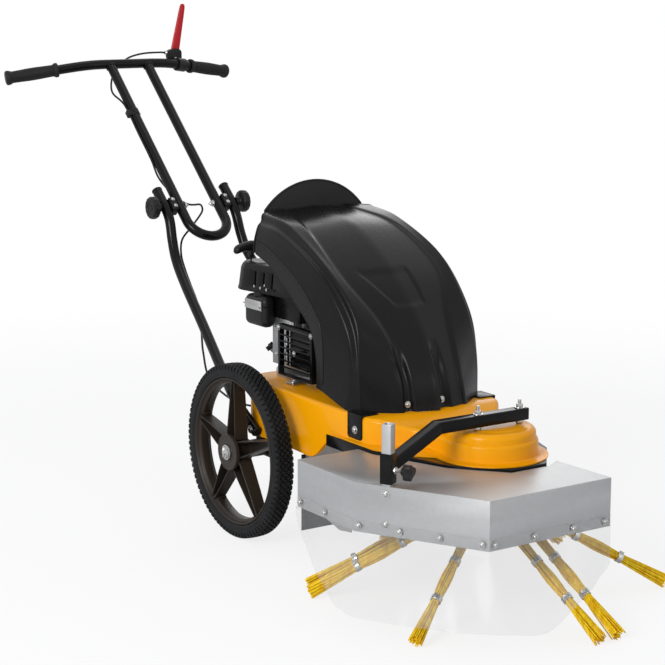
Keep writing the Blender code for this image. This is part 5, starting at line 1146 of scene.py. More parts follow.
def make_rear_guard():
    """A folded sheet behind the brush, with a wing at each end."""
    half = DECK_HALF_WIDTH - DECK_SHEET - GAP
    sheet = 0.002
    back, wing_end, bottom = REAR_GUARD_X, 0.37, 0.085
    end = half - sheet / 2
    start = back + sheet / 2
    wall = box((back, -end, 0.12), (back + sheet, end, 0.3), 0)
    for side in (-1, 1):
        outline = [(start, 0.29), (start, 0.118), (wing_end - 0.045, bottom),
                   (wing_end, bottom + 0.006), (wing_end, 0.15), (wing_end - 0.1, 0.225),
                   (start + 0.03, 0.2285), (start + 0.03, 0.29)]
        wing = plate(outline, -sheet / 2, sheet / 2)
        moved(wing, Matrix.Translation((0, side * (half - sheet / 2), 0))
              @ Matrix.Rotation(math.pi / 2, 4, "X"))
        wall = joined(wall, wing)
    place(rounded(wall, 0.0006, 2, 40), "rear_guard_sheet", "galvanised", "chassis", "rear_guard",
          sharp=40)


def make_rear_flap():
    """The rubber flap, a little wavy along its hanging edge."""
    thickness = 0.0026
    middle, half = REAR_GUARD_X - GAP - thickness, 0.18
    top, bottom = 0.2235, 0.05
    shape = bmesh.new()
    columns, rows = 40, 10
    grid = []
    for i in range(columns + 1):
        y = -half + 2 * half * i / columns
        line = []
        for k in range(rows + 1):
            t = k / rows
            lean = 0.0007 * t * (1 + math.sin(y * 34.0))
            line.append(shape.verts.new((middle - lean, y, top - (top - bottom) * t)))
        grid.append(line)
    bridged(shape, grid, closed=False)
    flap = rounded(thickened(from_bmesh(shape), thickness, 0), 0.0005, 2, 50)
    place(flap, "rubber_flap", "black_rubber", "chassis", "rear_flap", sharp=50)


# Brush

BUNDLE_LENGTH = (BUNDLE_REACH - HUB_APOTHEM) / math.cos(BUNDLE_SLOPE)
FERRULE_NEAR = 0.0967
FERRULE_FAR = 0.2014
FERRULE_LENGTH = 0.012
STRAND_SIDES = 5
STRAND_LIMIT_Y = 0.345
STRAND_FLOOR = 0.00002


def bundle_frame(heading, offset):
    out = Vector((math.cos(heading), math.sin(heading), 0))
    side = Vector((-out.y, out.x, 0))
    along = out * math.cos(BUNDLE_SLOPE) - Vector((0, 0, math.sin(BUNDLE_SLOPE)))
    square = along.cross(side).normalized()
    if square.z < 0:
        square = -square
    back = Vector((BRUSH_X, 0, HUB_HEIGHT)) + out * HUB_APOTHEM + side * offset
    return back, along, side, square


def strand_path(index, seed):
    """One strand's sideways places at stations along the bundle, with its own slight bend."""
    golden = math.pi * (3 - math.sqrt(5))
    share = math.sqrt((index + 0.5) / STRANDS_IN_BUNDLE)
    turn = index * golden + seed
    wander = math.sin(index * 12.9898 + seed * 78.233)
    drift = math.cos(index * 4.1414 + seed * 31.7)
    stations = ((0.003, 0.0118), (0.03, 0.0112), (FERRULE_NEAR, 0.01), (0.148, 0.0128),
                (FERRULE_FAR, 0.0098), (0.245, 0.0125), (BUNDLE_LENGTH, TIP_RADIUS))
    path = []
    for k, (distance, spread) in enumerate(stations):
        reach = (spread - STRAND_RADIUS) * share
        twist = turn + 0.1 * wander * k
        loose = 0.0 if k < 5 else (0.0008 * drift if k == 5 else 0.0014 * drift)
        path.append((distance, reach * math.cos(twist) + loose,
                     reach * math.sin(twist) + loose * 0.6 * wander))
    return path


def strand_bundle(heading, offset, seed):
    """A tied bundle of thin springy strands, fanning out a little towards the floor."""
    back, along, side, square = bundle_frame(heading, offset)
    shape = bmesh.new()
    for index in range(STRANDS_IN_BUNDLE):
        stations = strand_path(index, seed)
        short = 0.004 * (0.5 + 0.5 * math.sin(index * 7.7 + seed))
        points = []
        for k, (distance, a, b) in enumerate(stations):
            if k == len(stations) - 1:
                distance -= short
            points.append(back + along * distance + side * a + square * b)
        points = smooth_path(points, 3)
        rings = []
        for point in points:
            ring = []
            for corner in range(STRAND_SIDES):
                angle = math.tau * corner / STRAND_SIDES + index
                spot = (point + side * STRAND_RADIUS * math.cos(angle)
                        + square * STRAND_RADIUS * math.sin(angle))
                spot.z = max(spot.z, STRAND_FLOOR)
                spot.y = min(spot.y, STRAND_LIMIT_Y)
                ring.append(shape.verts.new(spot))
            rings.append(ring)
        bridged(shape, rings, ends=True)
    return from_bmesh(shape)


def ferrule(heading, offset, distance, radius):
    """A clamp ring round a bundle, with its pressed ear."""
    back, along, side, square = bundle_frame(heading, offset)
    half = FERRULE_LENGTH / 2
    profile = evened([(radius + 0.0003, half * 0.35), (radius + 0.0006, half - 0.0012),
                      (radius, half - 0.0002), (radius - 0.0008, half)])
    ring = lathe(profile, back + along * distance, along, 40, closed=True)
    ear_place = back + along * distance + square * (radius + 0.0018)
    ear = box((-0.0024, -0.0022, -half * 0.8), (0.0024, 0.002, half * 0.8), 0.0006, 2)
    turn = Matrix((side, square, along)).transposed().to_4x4()
    return merged(ring, moved(ear, Matrix.Translation(ear_place) @ turn))


BUNDLE_GROUPS = (
    ("bristles_front_pair", 0, (-0.5, 0.5)),
    ("bristles_left_pair", 120, (-0.5, 0.5)),
    ("bristles_right_pair", -120, (-0.5, 0.5)),
    ("bristles_left_single", 60, (0,)),
    ("bristles_right_single", -60, (0,)),
    ("bristles_rear_single", 180, (0,)),
)


def make_brush():
    seed = 0.0
    rings, cups = [], []
    for node, degrees, shares in BUNDLE_GROUPS:
        heading = math.radians(degrees)
        strands = []
        for share in shares:
            offset = share * PAIR_SPACING
            seed += 1.37
            strands.append(strand_bundle(heading, offset, seed))
            rings.append(ferrule(heading, offset, FERRULE_NEAR, 0.0108))
            rings.append(ferrule(heading, offset, FERRULE_FAR, 0.0106))
            back, along, _, _ = bundle_frame(heading, offset)
            cups.append(lathe([(0.0128, 0), (0.0142, 0.0004), (0.0145, 0.0014), (0.0138, 0.015),
                               (0.0128, 0.0165), (0.0118, 0.015), (0.0118, 0.001)],
                              back + along * GAP, along, 40, closed=True))
            cups.append(disc(0.0125, 0, 0.004, back + along * GAP, along))
        place(strands, node.replace("bristles", "wires"), "yellow_strand", "brush", node,
              sharp=50)
    place(rings, "bundle_ferrules", "zinc_steel", "brush")
    place(cups, "bundle_sockets", "zinc_steel", "brush")


def make_hub():
    top, bottom = HUB_HEIGHT + 0.018, HUB_HEIGHT - 0.01
    loops = []
    for z in (bottom, top):
        apothem = HUB_APOTHEM + (z - HUB_HEIGHT) * math.tan(BUNDLE_SLOPE)
        corner = apothem / math.cos(math.pi / 6)
        loops.append(level(circle((BRUSH_X, 0), corner, 6, math.pi / 6), z))
    hub = rounded(loft(loops), 0.002, 3, 20)
    hub = cut(hub, disc(0.058, bottom - 0.02, HUB_HEIGHT - 0.001, (BRUSH_X, 0, 0), steps=64))
    hub = cut(hub, disc(0.0103, bottom - 0.01, top + 0.01, (BRUSH_X, 0, 0)))
    place(hub, "hexagonal_hub", "black_paint", "brush", "brush_hub", sharp=30)
    heads = [screw_head((x, y, top), Z_AXIS, 0.006, 0.006)
             for x, y in circle((BRUSH_X, 0), 0.075, 6, math.pi / 6)]
    place(heads, "hub_bolts", "zinc_steel", "brush")


# Hood, curtain, post and arm


def hood_inner_edge():
    right = [(x, -y) for x, y in grown_guard(0.006)]
    right[0] = (HOOD_CORNERS[0][0], right[1][1])
    return right + [(right[-1][0], -right[-1][1])]


def post_frame():
    """The post's middle on the ground, with the directions along and away from its wall."""
    b, c = Vector(HOOD_CORNERS[1]), Vector(HOOD_CORNERS[2])
    run = (c - b).normalized()
    along, inward = run.to_3d(), Vector((-run.y, run.x, 0))
    depth = HOOD_SHEET + GAP + POST_SIDE / 2
    return b.to_3d() + along * POST_ALONG_WALL + inward * depth, along, inward


def post_box(half, low, high):
    """An upright square bar on the post's middle line."""
    spot, along, inward = post_frame()
    corners = [(spot + along * a * half + inward * b * half).to_2d() for a, b in CORNERS]
    return loft([level(corners, z) for z in (low, high)])


def make_hood():
    """One folded sheet: a flat top and three walls, with a slot for the post."""
    shape = bmesh.new()
    loop = HOOD_CORNERS + [HOOD_LEFT_CORNER] + list(reversed(hood_inner_edge()))
    top = [shape.verts.new((x, y, HOOD_TOP)) for x, y in loop]
    bottom = [shape.verts.new((x, y, HOOD_TOP - HOOD_HEIGHT)) for x, y in HOOD_CORNERS]
    shape.faces.new(top)
    for i in range(3):
        shape.faces.new((top[i + 1], top[i], bottom[i], bottom[i + 1]))
    hood = thickened(sheet_from(shape, 0, Z_AXIS), HOOD_SHEET, even=True)
    hood = cut(hood, post_box(POST_SIDE / 2 + GAP, 0.26, 0.32))
    hood = rounded(hood, 0.0009, 3, 35)
    place(hood, "hood_sheet", "galvanised", "shield", "shield_hood", sharp=30)


def make_post():
    half = POST_SIDE / 2
    post = cut(post_box(half, POST_BOTTOM, POST_TOP),
               post_box(half - 0.002, POST_BOTTOM - 0.01, POST_TOP + 0.01))
    place(rounded(post, 0.001, 3, 40), "square_post", "galvanised", "shield", "shield_post",
          sharp=30)


# The curtain's lower edge: height, heading from the brush's axis in degrees, and reach
CURTAIN_EDGE = (
    (0.178, -119.5, 0.398),
    (0.098, -109, 0.38),
    (CURTAIN_BOTTOM, -83, CURTAIN_REACH),
    (CURTAIN_BOTTOM, -65, CURTAIN_REACH),
    (CURTAIN_BOTTOM, -48, CURTAIN_REACH),
    (CURTAIN_BOTTOM, -34, CURTAIN_REACH),
    (CURTAIN_BOTTOM, -22, 0.404),
    (0.108, -5, 0.35),
    (0.115, 19.5, 0.283),
)


def curtain_corners():
    a, b, c, d = [Vector(p) for p in HOOD_CORNERS]
    uppers = [a, a.lerp(b, 0.5), b, b.lerp(c, 0.35), b.lerp(c, 0.7), c, c.lerp(d, 0.25),
              c.lerp(d, 0.6), d]
    return outset(uppers, GAP + CURTAIN_SHEET)


def make_curtain():
    """A clear sheet lapped over the walls, swept outwards below in soft waves."""
    lap_low = HOOD_TOP - HOOD_HEIGHT
    lap_top = lap_low + CURTAIN_LAP
    lower = [Vector((*polar(reach, math.radians(heading), (BRUSH_X, 0)), height))
             for height, heading, reach in CURTAIN_EDGE]
    per_span = 12
    lower = smooth_path(lower, per_span)
    upper = []
    corners = [Vector((p.x, p.y, 0)) for p in curtain_corners()]
    for a, b in zip(corners, corners[1:]):
        upper += [a.lerp(b, k / per_span) for k in range(per_span)]
    upper.append(corners[-1])
    rows = []
    for z in (lap_top, lap_top - 0.012, lap_low, lap_low - 0.003):
        rows.append([Vector((p.x, p.y, z)) for p in upper])
    steps = 18
    for k in range(1, steps + 1):
        t = k / steps
        row = []
        for i, (u, low) in enumerate(zip(upper, lower)):
            start = Vector((u.x, u.y, lap_low - 0.003))
            spot = start.lerp(low, t)
            spot.z += math.sin(math.pi * t) * 0.008
            away = Vector((u.x - BRUSH_X, u.y, 0)).normalized()
            wave = math.sin(i * 0.55) * 0.0022 + math.sin(i * 0.23 + 1.0) * 0.0026
            spot += away * wave * t * (1.0 if k < steps else 0.8)
            spot.y = max(spot.y, 0.0045 - CURTAIN_REACH)
            row.append(spot)
        rows.append(row)
    shape = bmesh.new()
    bridged(shape, [[shape.verts.new(p) for p in row] for row in rows], closed=False)
    sample = 30
    curtain = sheet_from(shape, sample, rows[0][sample] - Vector((BRUSH_X, 0, 0.2)))
    place(thickened(curtain, CURTAIN_SHEET * 0.75), "clear_curtain", "clear_sheet", "shield",
          "curtain", sharp=50)


def curtain_screws():
    """Pan heads through the lap, and the two bolts that hold the post."""
    corners = [Vector(p) for p in HOOD_CORNERS]
    heads = []
    z = HOOD_TOP - HOOD_HEIGHT + 0.012
    for a, b, shares in ((0, 1, (0.06, 0.5)), (1, 2, (0.03, 0.34, 0.64, 0.95)),
                         (2, 3, (0.04, 0.36, 0.68, 0.95))):
        wall = (corners[b] - corners[a]).normalized()
        out = Vector((wall.y, -wall.x))
        for share in shares:
            spot = corners[a].lerp(corners[b], share) + out * (CURTAIN_SHEET + GAP)
            heads.append(pan_head((spot.x, spot.y, z), (out.x, out.y, 0), 0.0048, 0.0056))
    spot, _, inward = post_frame()
    face = spot - inward * (POST_SIDE / 2 + GAP + HOOD_SHEET)
    for height in (0.275, 0.214):
        heads.append(pan_head((face.x, face.y, height), tuple(-inward), 0.0058, 0.0055))
    place(heads, "hood_screws", "zinc_steel", "shield")


def make_arm():
    """The square tube: level over the turret, mitred, then down to its sleeve."""
    half = ARM_SIDE / 2
    middle = ARM_BOTTOM + half
    spot, along, inward = post_frame()
    end = spot + inward * (half - 0.002)
    stations = [Vector((ARM_X, ARM_END_Y, middle)), Vector((ARM_X, ARM_BEND_Y + 0.004, middle)),
                Vector((end.x, end.y, 0.33))]
    run_a = (stations[1] - stations[0]).normalized()
    run_b = (stations[2] - stations[1]).normalized()
    wide = Vector((1, 0, 0))
    bend = (run_a + run_b).normalized()
    up_b = run_b.cross(wide).normalized()
    up_b = up_b if up_b.z > 0 else -up_b
    wide_b = up_b.cross(run_b).normalized()
    wide_b = wide_b if wide_b.x > 0 else -wide_b

    def square(spot, across, up):
        return [spot + across * a * half + up * b * half for a, b in CORNERS]

    mitre = [corner + run_a * ((stations[1] - corner).dot(bend) / run_a.dot(bend))
             for corner in square(stations[1], wide, Z_AXIS)]
    loops = [square(stations[0], wide, Z_AXIS), mitre, square(stations[2], wide_b, up_b)]
    arm = rounded(loft(loops), 0.0022, 4, 12)
    arm = joined(arm, rounded(post_box(half, SLEEVE_BOTTOM, SLEEVE_TOP), 0.0016, 3, 40))
    arm = cut(arm, post_box(POST_SIDE / 2 + GAP, 0.28, 0.42))
    place(arm, "hood_arm", "black_paint", "chassis", "guard_arm", sharp=28)
    weld = []
    for share in (-1, 1):
        a = spot + inward * half + along * share * (half - 0.001)
        line = [(a.x, a.y, z) for z in (0.316, 0.33, 0.343)]
        weld.append(sweep(smooth_path(line, 4), 0.0019, 10))
    place(weld, "arm_welds", "black_paint", "chassis")


def make_arm_hardware():
    """The two long studs with their nuts, and the collars under the arm."""
    arm_top = ARM_BOTTOM + ARM_SIDE
    for side, word in SIDES:
        centre = (ARM_X, side * ARM_BOLT_Y)
        profile = [(0, 0.285), (0.004, 0.285)]
        profile += thread(0.004, 0.0034, arm_top + 0.009, 0.4065, 0.001)
        profile += [(0.0036, 0.407), (0.003, 0.408), (0, 0.408)]
        parts = [lathe(profile, (*centre, 0), Z_AXIS, 20)]
        parts.append(lathe([(0.0041, 0), (0.0105, 0), (0.0108, 0.0005), (0.0105, 0.0014),
                            (0.0041, 0.0014)], (*centre, arm_top + GAP), Z_AXIS, 32, closed=True))
        for low, high in ((arm_top + 0.0017, arm_top + 0.0085),
                          (TURRET_TOP + GAP, ARM_BOTTOM - GAP)):
            parts.append(plate(circle(centre, 0.0075, 6), low, high, 0.0008))
        place(parts, f"turret_stud_{word}", "zinc_steel", "chassis", f"arm_stud_{word}")


def make_hood_knob():
    """A three-lobed knob on its silver screw."""
    spot, axis, _ = post_frame()
    start = Vector((spot.x, spot.y, SHIELD_KNOB_Z)) + axis * (POST_SIDE / 2 + GAP)
    turn = standing(start, axis)
    body = plate(lobed(0.0175, 0.0062, 3, 72), 0.0262, 0.0408, 0.0026, segments=4)
    collar = lathe([(0, 0.0195), (0.0075, 0.0195), (0.0088, 0.0208), (0.009, 0.0275),
                    (0, 0.0275)], steps=40)
    boss = lathe([(0, 0.0415), (0.0045, 0.0414), (0.0062, 0.0407), (0.0064, 0.04),
                  (0, 0.04)], steps=32)
    place(moved(merged(body, collar, boss), turn), "hood_knob_grip", "black_plastic", "hood_knob",
          "shield_knob", sharp=30)
    profile = [(0, 0)] + thread(0.004, 0.0034, 0.0004, 0.0195, 0.0012)
    profile += [(0.0038, 0.02), (0, 0.02)]
    place(moved(lathe(profile, steps=20), turn), "hood_knob_screw", "zinc_steel", "hood_knob")
    nut_place = start + axis * (ARM_SIDE / 2 - POST_SIDE / 2)
    nut = plate(circle((0, 0), 0.0078, 6), 0, 0.005, 0.0008)
    nut = cut(nut, disc(0.0043, -0.01, 0.01, steps=24))
    place(moved(nut, standing(nut_place, axis)), "sleeve_nut", "zinc_steel", "chassis")


# Engine


def hull_of_circles(circles, count):
    """The convex outline round several circles, by the furthest point in each direction."""
    outline = []
    for i in range(count):
        angle = math.tau * i / count
        heading = Vector((math.cos(angle), math.sin(angle)))
        best = max(circles, key=lambda c: Vector(c[0]).dot(heading) + c[1])
        spot = Vector(best[0]) + heading * best[1]
        outline.append((spot.x, spot.y))
    return outline


def scaled(outline, centre, factor):
    return [(centre[0] + (x - centre[0]) * factor, centre[1] + (y - centre[1]) * factor)
            for x, y in outline]


def make_crankcase():
    """The case with its webs, the neck to the starter, and the finned cylinder beside it."""
    floor = DECK_TOP + GAP
    profile = [(0, floor), (BLOCK_BASE_RADIUS, floor), (BLOCK_BASE_RADIUS, DECK_TOP + 0.0105),
               (BLOCK_BASE_RADIUS - 0.0015, DECK_TOP + 0.012),
               (BLOCK_RADIUS + 0.004, DECK_TOP + 0.014), (BLOCK_RADIUS, DECK_TOP + 0.018),
               (BLOCK_RADIUS, BLOCK_TOP - 0.014), (BLOCK_RADIUS - 0.003, BLOCK_TOP - 0.0085),
               (BLOCK_RADIUS - 0.02, BLOCK_TOP), (0, BLOCK_TOP)]
    case = lathe(profile, steps=96)
    face = CYLINDER_FACE
    case = cut(case, box((-0.2, face - 0.1, DECK_TOP + 0.013), (0.2, face, BLOCK_TOP + 0.01), 0))
    neck = lathe([(0, SHROUD_CEILING - GAP), (0.03, SHROUD_CEILING - GAP),
                  (0.036, SHROUD_BOTTOM + 0.04), (0.055, SHROUD_BOTTOM + 0.04),
                  (0.095, SHROUD_BOTTOM + 0.03), (0.1, SHROUD_BOTTOM + 0.004),
                  (0.06, SHROUD_BOTTOM - 0.002), (0.045, BLOCK_TOP - 0.004),
                  (0, BLOCK_TOP - 0.004)], steps=72)
    barrel = box((-0.05, face - 0.03, 0.392), (0.017, face + 0.004, 0.49), 0.004)
    body = rounded(joined(case, neck, barrel), 0.0008, 2, 40)
    fins = []
    for i in range(5):
        y = face - 0.003 - i * 0.0056
        fins.append(box((-0.063, y - 0.0019, 0.378), (0.026, y, 0.5), 0.0006, 2))
    head_bolts = [screw_head((x, face - 0.03, z), (0, -1, 0), 0.004, 0.0045)
                  for x, z in ((-0.04, 0.402), (0.008, 0.402), (-0.04, 0.464), (0.008, 0.464))]
    webs = []
    for degrees in (100, 125, 150, 175, 200, 30, 55, 80):
        web = box((BLOCK_RADIUS - 0.004, -0.0022, DECK_TOP + 0.0125),
                  (BLOCK_BASE_RADIUS - 0.003, 0.0022, DECK_TOP + 0.042), 0.0008, 2)
        webs.append(spun(web, math.radians(degrees)))
    filler = rod((-0.06, -0.054, 0.374), (-0.092, -0.082, 0.4105), 0.011, 32, 0.001)
    place([body, *fins, *webs, filler], "crankcase", "cast_aluminium", "chassis",
          "engine_block", sharp=35)
    place(head_bolts, "cylinder_bolts", "zinc_steel", "chassis")


def make_engine_fittings():
    """The oil filler's cap, and the engine's front foot with its nut."""
    cap = plate(lobed(0.0148, 0.001, 14, 96), 0, 0.011, 0.0009)
    tab = box((-0.01, -0.002, 0.011), (0.01, 0.002, 0.0135), 0.0008, 2)
    turn = standing((-0.0892, -0.0797, 0.4062), (-0.007, -0.0065, 0.012))
    place(moved(merged(cap, tab), turn), "oil_cap", "black_plastic", "chassis")
    foot = box((0.056, -0.1385, DECK_TOP + GAP), (0.088, -0.102, DECK_TOP + 0.0065), 0.0012)
    nut = screw_head((0.072, -0.126, DECK_TOP + 0.0065), Z_AXIS, 0.0062, 0.0064)
    place([foot, nut], "engine_foot", "zinc_steel", "chassis")


VENT_COUNT = 24


def recoil_housing():
    """The starter's round housing, with a ring of vents in its top."""
    housing = lathe([(0, RECOIL_TOP), (0.031, RECOIL_TOP), (0.034, RECOIL_TOP - 0.0008),
                     (0.042, RECOIL_TOP - 0.0068), (0.046, RECOIL_TOP - 0.0078),
                     (0.068, RECOIL_TOP - 0.01), (0.074, RECOIL_TOP - 0.0116),
                     (RECOIL_RADIUS - 0.006, RECOIL_TOP - 0.02),
                     (RECOIL_RADIUS - 0.003, RECOIL_TOP - 0.025),
                     (RECOIL_RADIUS, SHROUD_TOP - 0.004), (0, SHROUD_TOP - 0.004)], steps=96)
    vents = []
    for i in range(VENT_COUNT):
        vent = box((0.05, -0.0022, RECOIL_TOP - 0.03), (0.066, 0.0022, RECOIL_TOP), 0.002)
        vents.append(spun(vent, math.tau * i / VENT_COUNT))
    return cut(housing, *vents)


DUCT_FOOT = 0.486
# The air duct's thin walls below the shroud: x from and to, then y from and to
DUCT_WALLS = ((-0.1, 0.056, -0.0997, -0.0979), (-0.1, -0.0982, -0.0979, -0.074),
              (0.0542, 0.056, -0.0979, -0.074))


def make_shroud():
    """The fan shroud: a rounded cowl with a lobe for the cord, and slots in its side."""
    foot = SHROUD_BOTTOM
    outline = hull_of_circles([((0, 0), SHROUD_RADIUS), ((LOBE_X, LOBE_Y), LOBE_RADIUS)], 120)
    centre = (-0.03, -0.02)
    stations = [(foot, 0.994), (foot + 0.001, 1), (foot + 0.006, 1),
                (foot + 0.0068, 0.99), (SHROUD_CEILING, 0.955),
                (SHROUD_TOP - 0.01, 0.945), (SHROUD_TOP - 0.006, 0.932),
                (SHROUD_TOP - 0.0028, 0.916), (SHROUD_TOP - 0.0008, 0.898), (SHROUD_TOP, 0.88)]
    cowl = loft([level(scaled(outline, centre, share), z) for z, share in stations])
    inner = scaled(outline, centre, 0.965)
    hollow = loft([level(inner, foot - 0.01), level(scaled(inner, centre, 0.955), SHROUD_CEILING)])
    cowl = cut(cowl, hollow)
    slots = [box((x - 0.003, -0.2, foot + 0.014), (x + 0.003, -0.08, foot + 0.05), 0.0028)
             for x in SLOT_PLACES]
    cowl = cut(cowl, *slots)
    cowl = cut(cowl, rod((GRIP_X, GRIP_Y, 0.5), (GRIP_X, GRIP_Y, 0.68), 0.0042, 20, 0))
    cowl = rounded(cowl, 0.0006, 2, 45)
    duct = [box((x_from, y_from, DUCT_FOOT), (x_to, y_to, foot + 0.004), 0.0005, 2)
            for x_from, x_to, y_from, y_to in DUCT_WALLS]
    place([cowl, recoil_housing(), *duct], "fan_cowl", "black_shell", "chassis",
          "fan_shroud", sharp=35, slot="black_plastic")
    clips = []
    for x in SLOT_PLACES:
        wall = -0.1275 - 0.0022 * (x - SLOT_PLACES[0]) / 0.03
        clips.append(box((x - 0.0026, wall - 0.003, foot + 0.0115),
                         (x + 0.0026, wall + 0.008, foot + 0.0175), 0.001))
    place(clips, "shroud_clips", "zinc_steel", "chassis")


def make_starter():
    eye = SHROUD_TOP - 0.004
    low = eye + CORD_LENGTH + GAP
    cord = sweep([(GRIP_X, GRIP_Y, eye), (GRIP_X, GRIP_Y, eye + CORD_LENGTH * 0.5),
                  (GRIP_X, GRIP_Y, eye + CORD_LENGTH)], 0.002, 16, cap=0)
    place(cord, "pull_cord", "black_rubber", "chassis", "starter_cord")
    stem = lathe([(0, 0), (0.0058, 0), (0.0074, 0.0012), (0.008, 0.005), (0.0068, 0.015),
                  (0.0078, 0.0225), (0, 0.0225)], (GRIP_X, GRIP_Y, low), steps=32)
    loops = []
    stations = 28
    for k in range(stations + 1):
        t = 2 * k / stations - 1
        y = 0.046 * t
        drop = 0.01 * abs(t) ** 1.9
        round_end = math.sqrt(max(0, 1 - max(0, (abs(t) - 0.8) / 0.2) ** 2))
        tall = (0.0122 - 0.0022 * abs(t)) * max(0.3, round_end)
        wide = (0.0118 - 0.001 * abs(t)) * max(0.3, round_end)
        ridge = 1.0 - 0.035 * (0.5 - 0.5 * math.cos(t * 34))
        loops.append([(GRIP_X + wide * ridge * math.cos(math.tau * i / 36), GRIP_Y + y,
                       low + 0.026 - drop + tall * ridge * math.sin(math.tau * i / 36))
                      for i in range(36)])
    place([loft(loops), stem], "pull_grip", "black_plastic", "starter", "starter_grip",
          sharp=45)


def make_intake():
    """The air filter's case, with the bright plate that clips over its outer side."""
    low, high = FILTER_LOW, FILTER_HIGH
    case = box(low, high, 0.015, 8)
    seam = box((low[0] - 0.0008, low[1] - 0.0008, high[2] - 0.0232),
               (high[0] + 0.0008, high[1] + 0.0008, high[2] - 0.0218), 0.0005, 2)
    middle = (low[0] + high[0]) / 2
    collar = rod((middle, -0.118, high[2] - 0.002), (middle, -0.118, SHROUD_BOTTOM + 0.004),
                 0.015, 32, 0.001)
    place([case, seam, collar], "filter_case", "black_plastic", "chassis", "air_filter",
          sharp=40)
    strip = box((low[0] + 0.0095, low[1] - 0.0022, high[2] - 0.032),
                (high[0] - 0.008, low[1] - 0.0004, high[2] - 0.01), 0.0007, 2)
    knob = lathe([(0, 0), (0.005, 0), (0.0056, 0.0008), (0.0044, 0.0026), (0, 0.003)],
                 (high[0] - 0.016, low[1] - 0.0018, high[2] - 0.021), (0, -1, 0), 28)
    place([strip, knob], "filter_plate", "zinc_steel", "chassis")


FILLER_Y = 0.142


def make_tank():
    low, high = (-0.085, SHROUD_RADIUS + 0.004, 0.475), (0.085, 0.166, 0.56)
    tank = box(low, high, 0.015, 6)
    seam = box((low[0] - 0.0016, low[1] - 0.0002, 0.516),
               (high[0] + 0.0016, high[1] + 0.0016, 0.5195), 0.0008, 2)
    neck = rod((0, FILLER_Y, 0.555), (0, FILLER_Y, 0.566), 0.017, 40, 0.0008)
    strap = box((-0.012, BLOCK_RADIUS + GAP, 0.44), (0.012, 0.135, 0.4765), 0.0015)
    cap = plate(lobed(0.021, 0.0012, 20, 120, (0, FILLER_Y)), 0.5645, 0.578, 0.0012)
    place([tank, seam, neck, strap, cap], "petrol_tank", "black_plastic", "chassis",
          "fuel_tank", sharp=40)


CAN_LOW = (0.03, -0.124, 0.388)
CAN_HIGH = (0.158, -0.092, 0.476)


def make_exhaust():
    """The silencer's can on its flange, with a wire clip across its outer face."""
    low, high = CAN_LOW, CAN_HIGH
    can = box(low, high, 0.009, 6)
    seam = box((low[0] - 0.0012, -0.11, low[2] - 0.0012),
               (high[0] + 0.0012, -0.1075, high[2] + 0.0012), 0.001, 2)
    flange = box((0.0263, -0.115, 0.415), (0.034, -0.098, 0.45), 0.001)
    bosses = [rod((x, low[1] + 0.001, z), (x, low[1] - 0.0012, z), 0.0085, 24)
              for x, z in ((0.062, 0.432), (0.126, 0.432))]
    place([can, seam, flange, *bosses], "silencer", "black_paint", "chassis", "muffler")
    strap = low[1] - 0.0016
    bright = [rod((0.056, strap, low[2] - 0.002), (0.056, strap, high[2] + 0.002), 0.0017, 16)]
    for bottom, top in ((0.398, 0.424), (0.438, 0.458)):
        bright.append(rod((0.045, strap - 0.0016, bottom), (0.045, strap - 0.0016, top),
                          0.0036, 20, 0.0012))
    place(bright, "silencer_clips", "zinc_steel", "chassis")


def make_exhaust_guard():
    """The louvred guard in front of the silencer, held by one boss and three screws."""
    left, right, foot, head = 0.0275, 0.168, 0.372, 0.488
    front, back = -0.14, -0.1245
    guard = cut(box((left, front, foot), (right, back, head), 0),
                box((left + 0.003, front + 0.0018, foot + 0.003),
                    (right - 0.003, back + 0.01, head - 0.003), 0))
    windows = []
    count = 7
    pitch = (head - foot - 0.014) / count
    for i in range(count):
        z = foot + 0.008 + i * pitch
        windows.append(box((left + 0.009, front - 0.01, z),
                           (right - 0.009, front + 0.01, z + pitch - 0.004), 0))
    guard = rounded(cut(guard, *windows), 0.0006, 2, 40)
    middle = (foot + head) / 2
    boss = rod((0.096, front + 0.0012, middle), (0.096, CAN_LOW[1] - GAP, middle), 0.0035, 16)
    place([guard, boss], "silencer_guard", "black_paint", "chassis", "muffler_guard")
    heads = [pan_head((x, front, z), (0, -1, 0), 0.0042, 0.0042)
             for x, z in ((0.0315, 0.48), (0.164, 0.48), (0.096, 0.43))]
    place(heads, "silencer_guard_screws", "zinc_steel", "chassis")


# Handle


def up_handle():
    return Vector((-math.cos(HANDLE_SLOPE), 0, math.sin(HANDLE_SLOPE)))


def pivot(y=0.0):
    return Vector((PIVOT_X, y, PIVOT_Z))


def bar_line():
    """The swept handlebar's middle line, its bends rounded."""
    top = pivot() + up_handle() * UPRIGHT_LENGTH
    end, bend = Vector(BAR_END), Vector(BAR_BEND)
    corners = [Vector((end.x, -end.y, end.z)), Vector((bend.x, -bend.y, bend.z)),
               Vector((top.x - 0.002, -bend.y * 0.66, top.z)),
               Vector((top.x - 0.002, bend.y * 0.66, top.z)), bend, end]
    return soft_profile(corners, 0.03, 8)


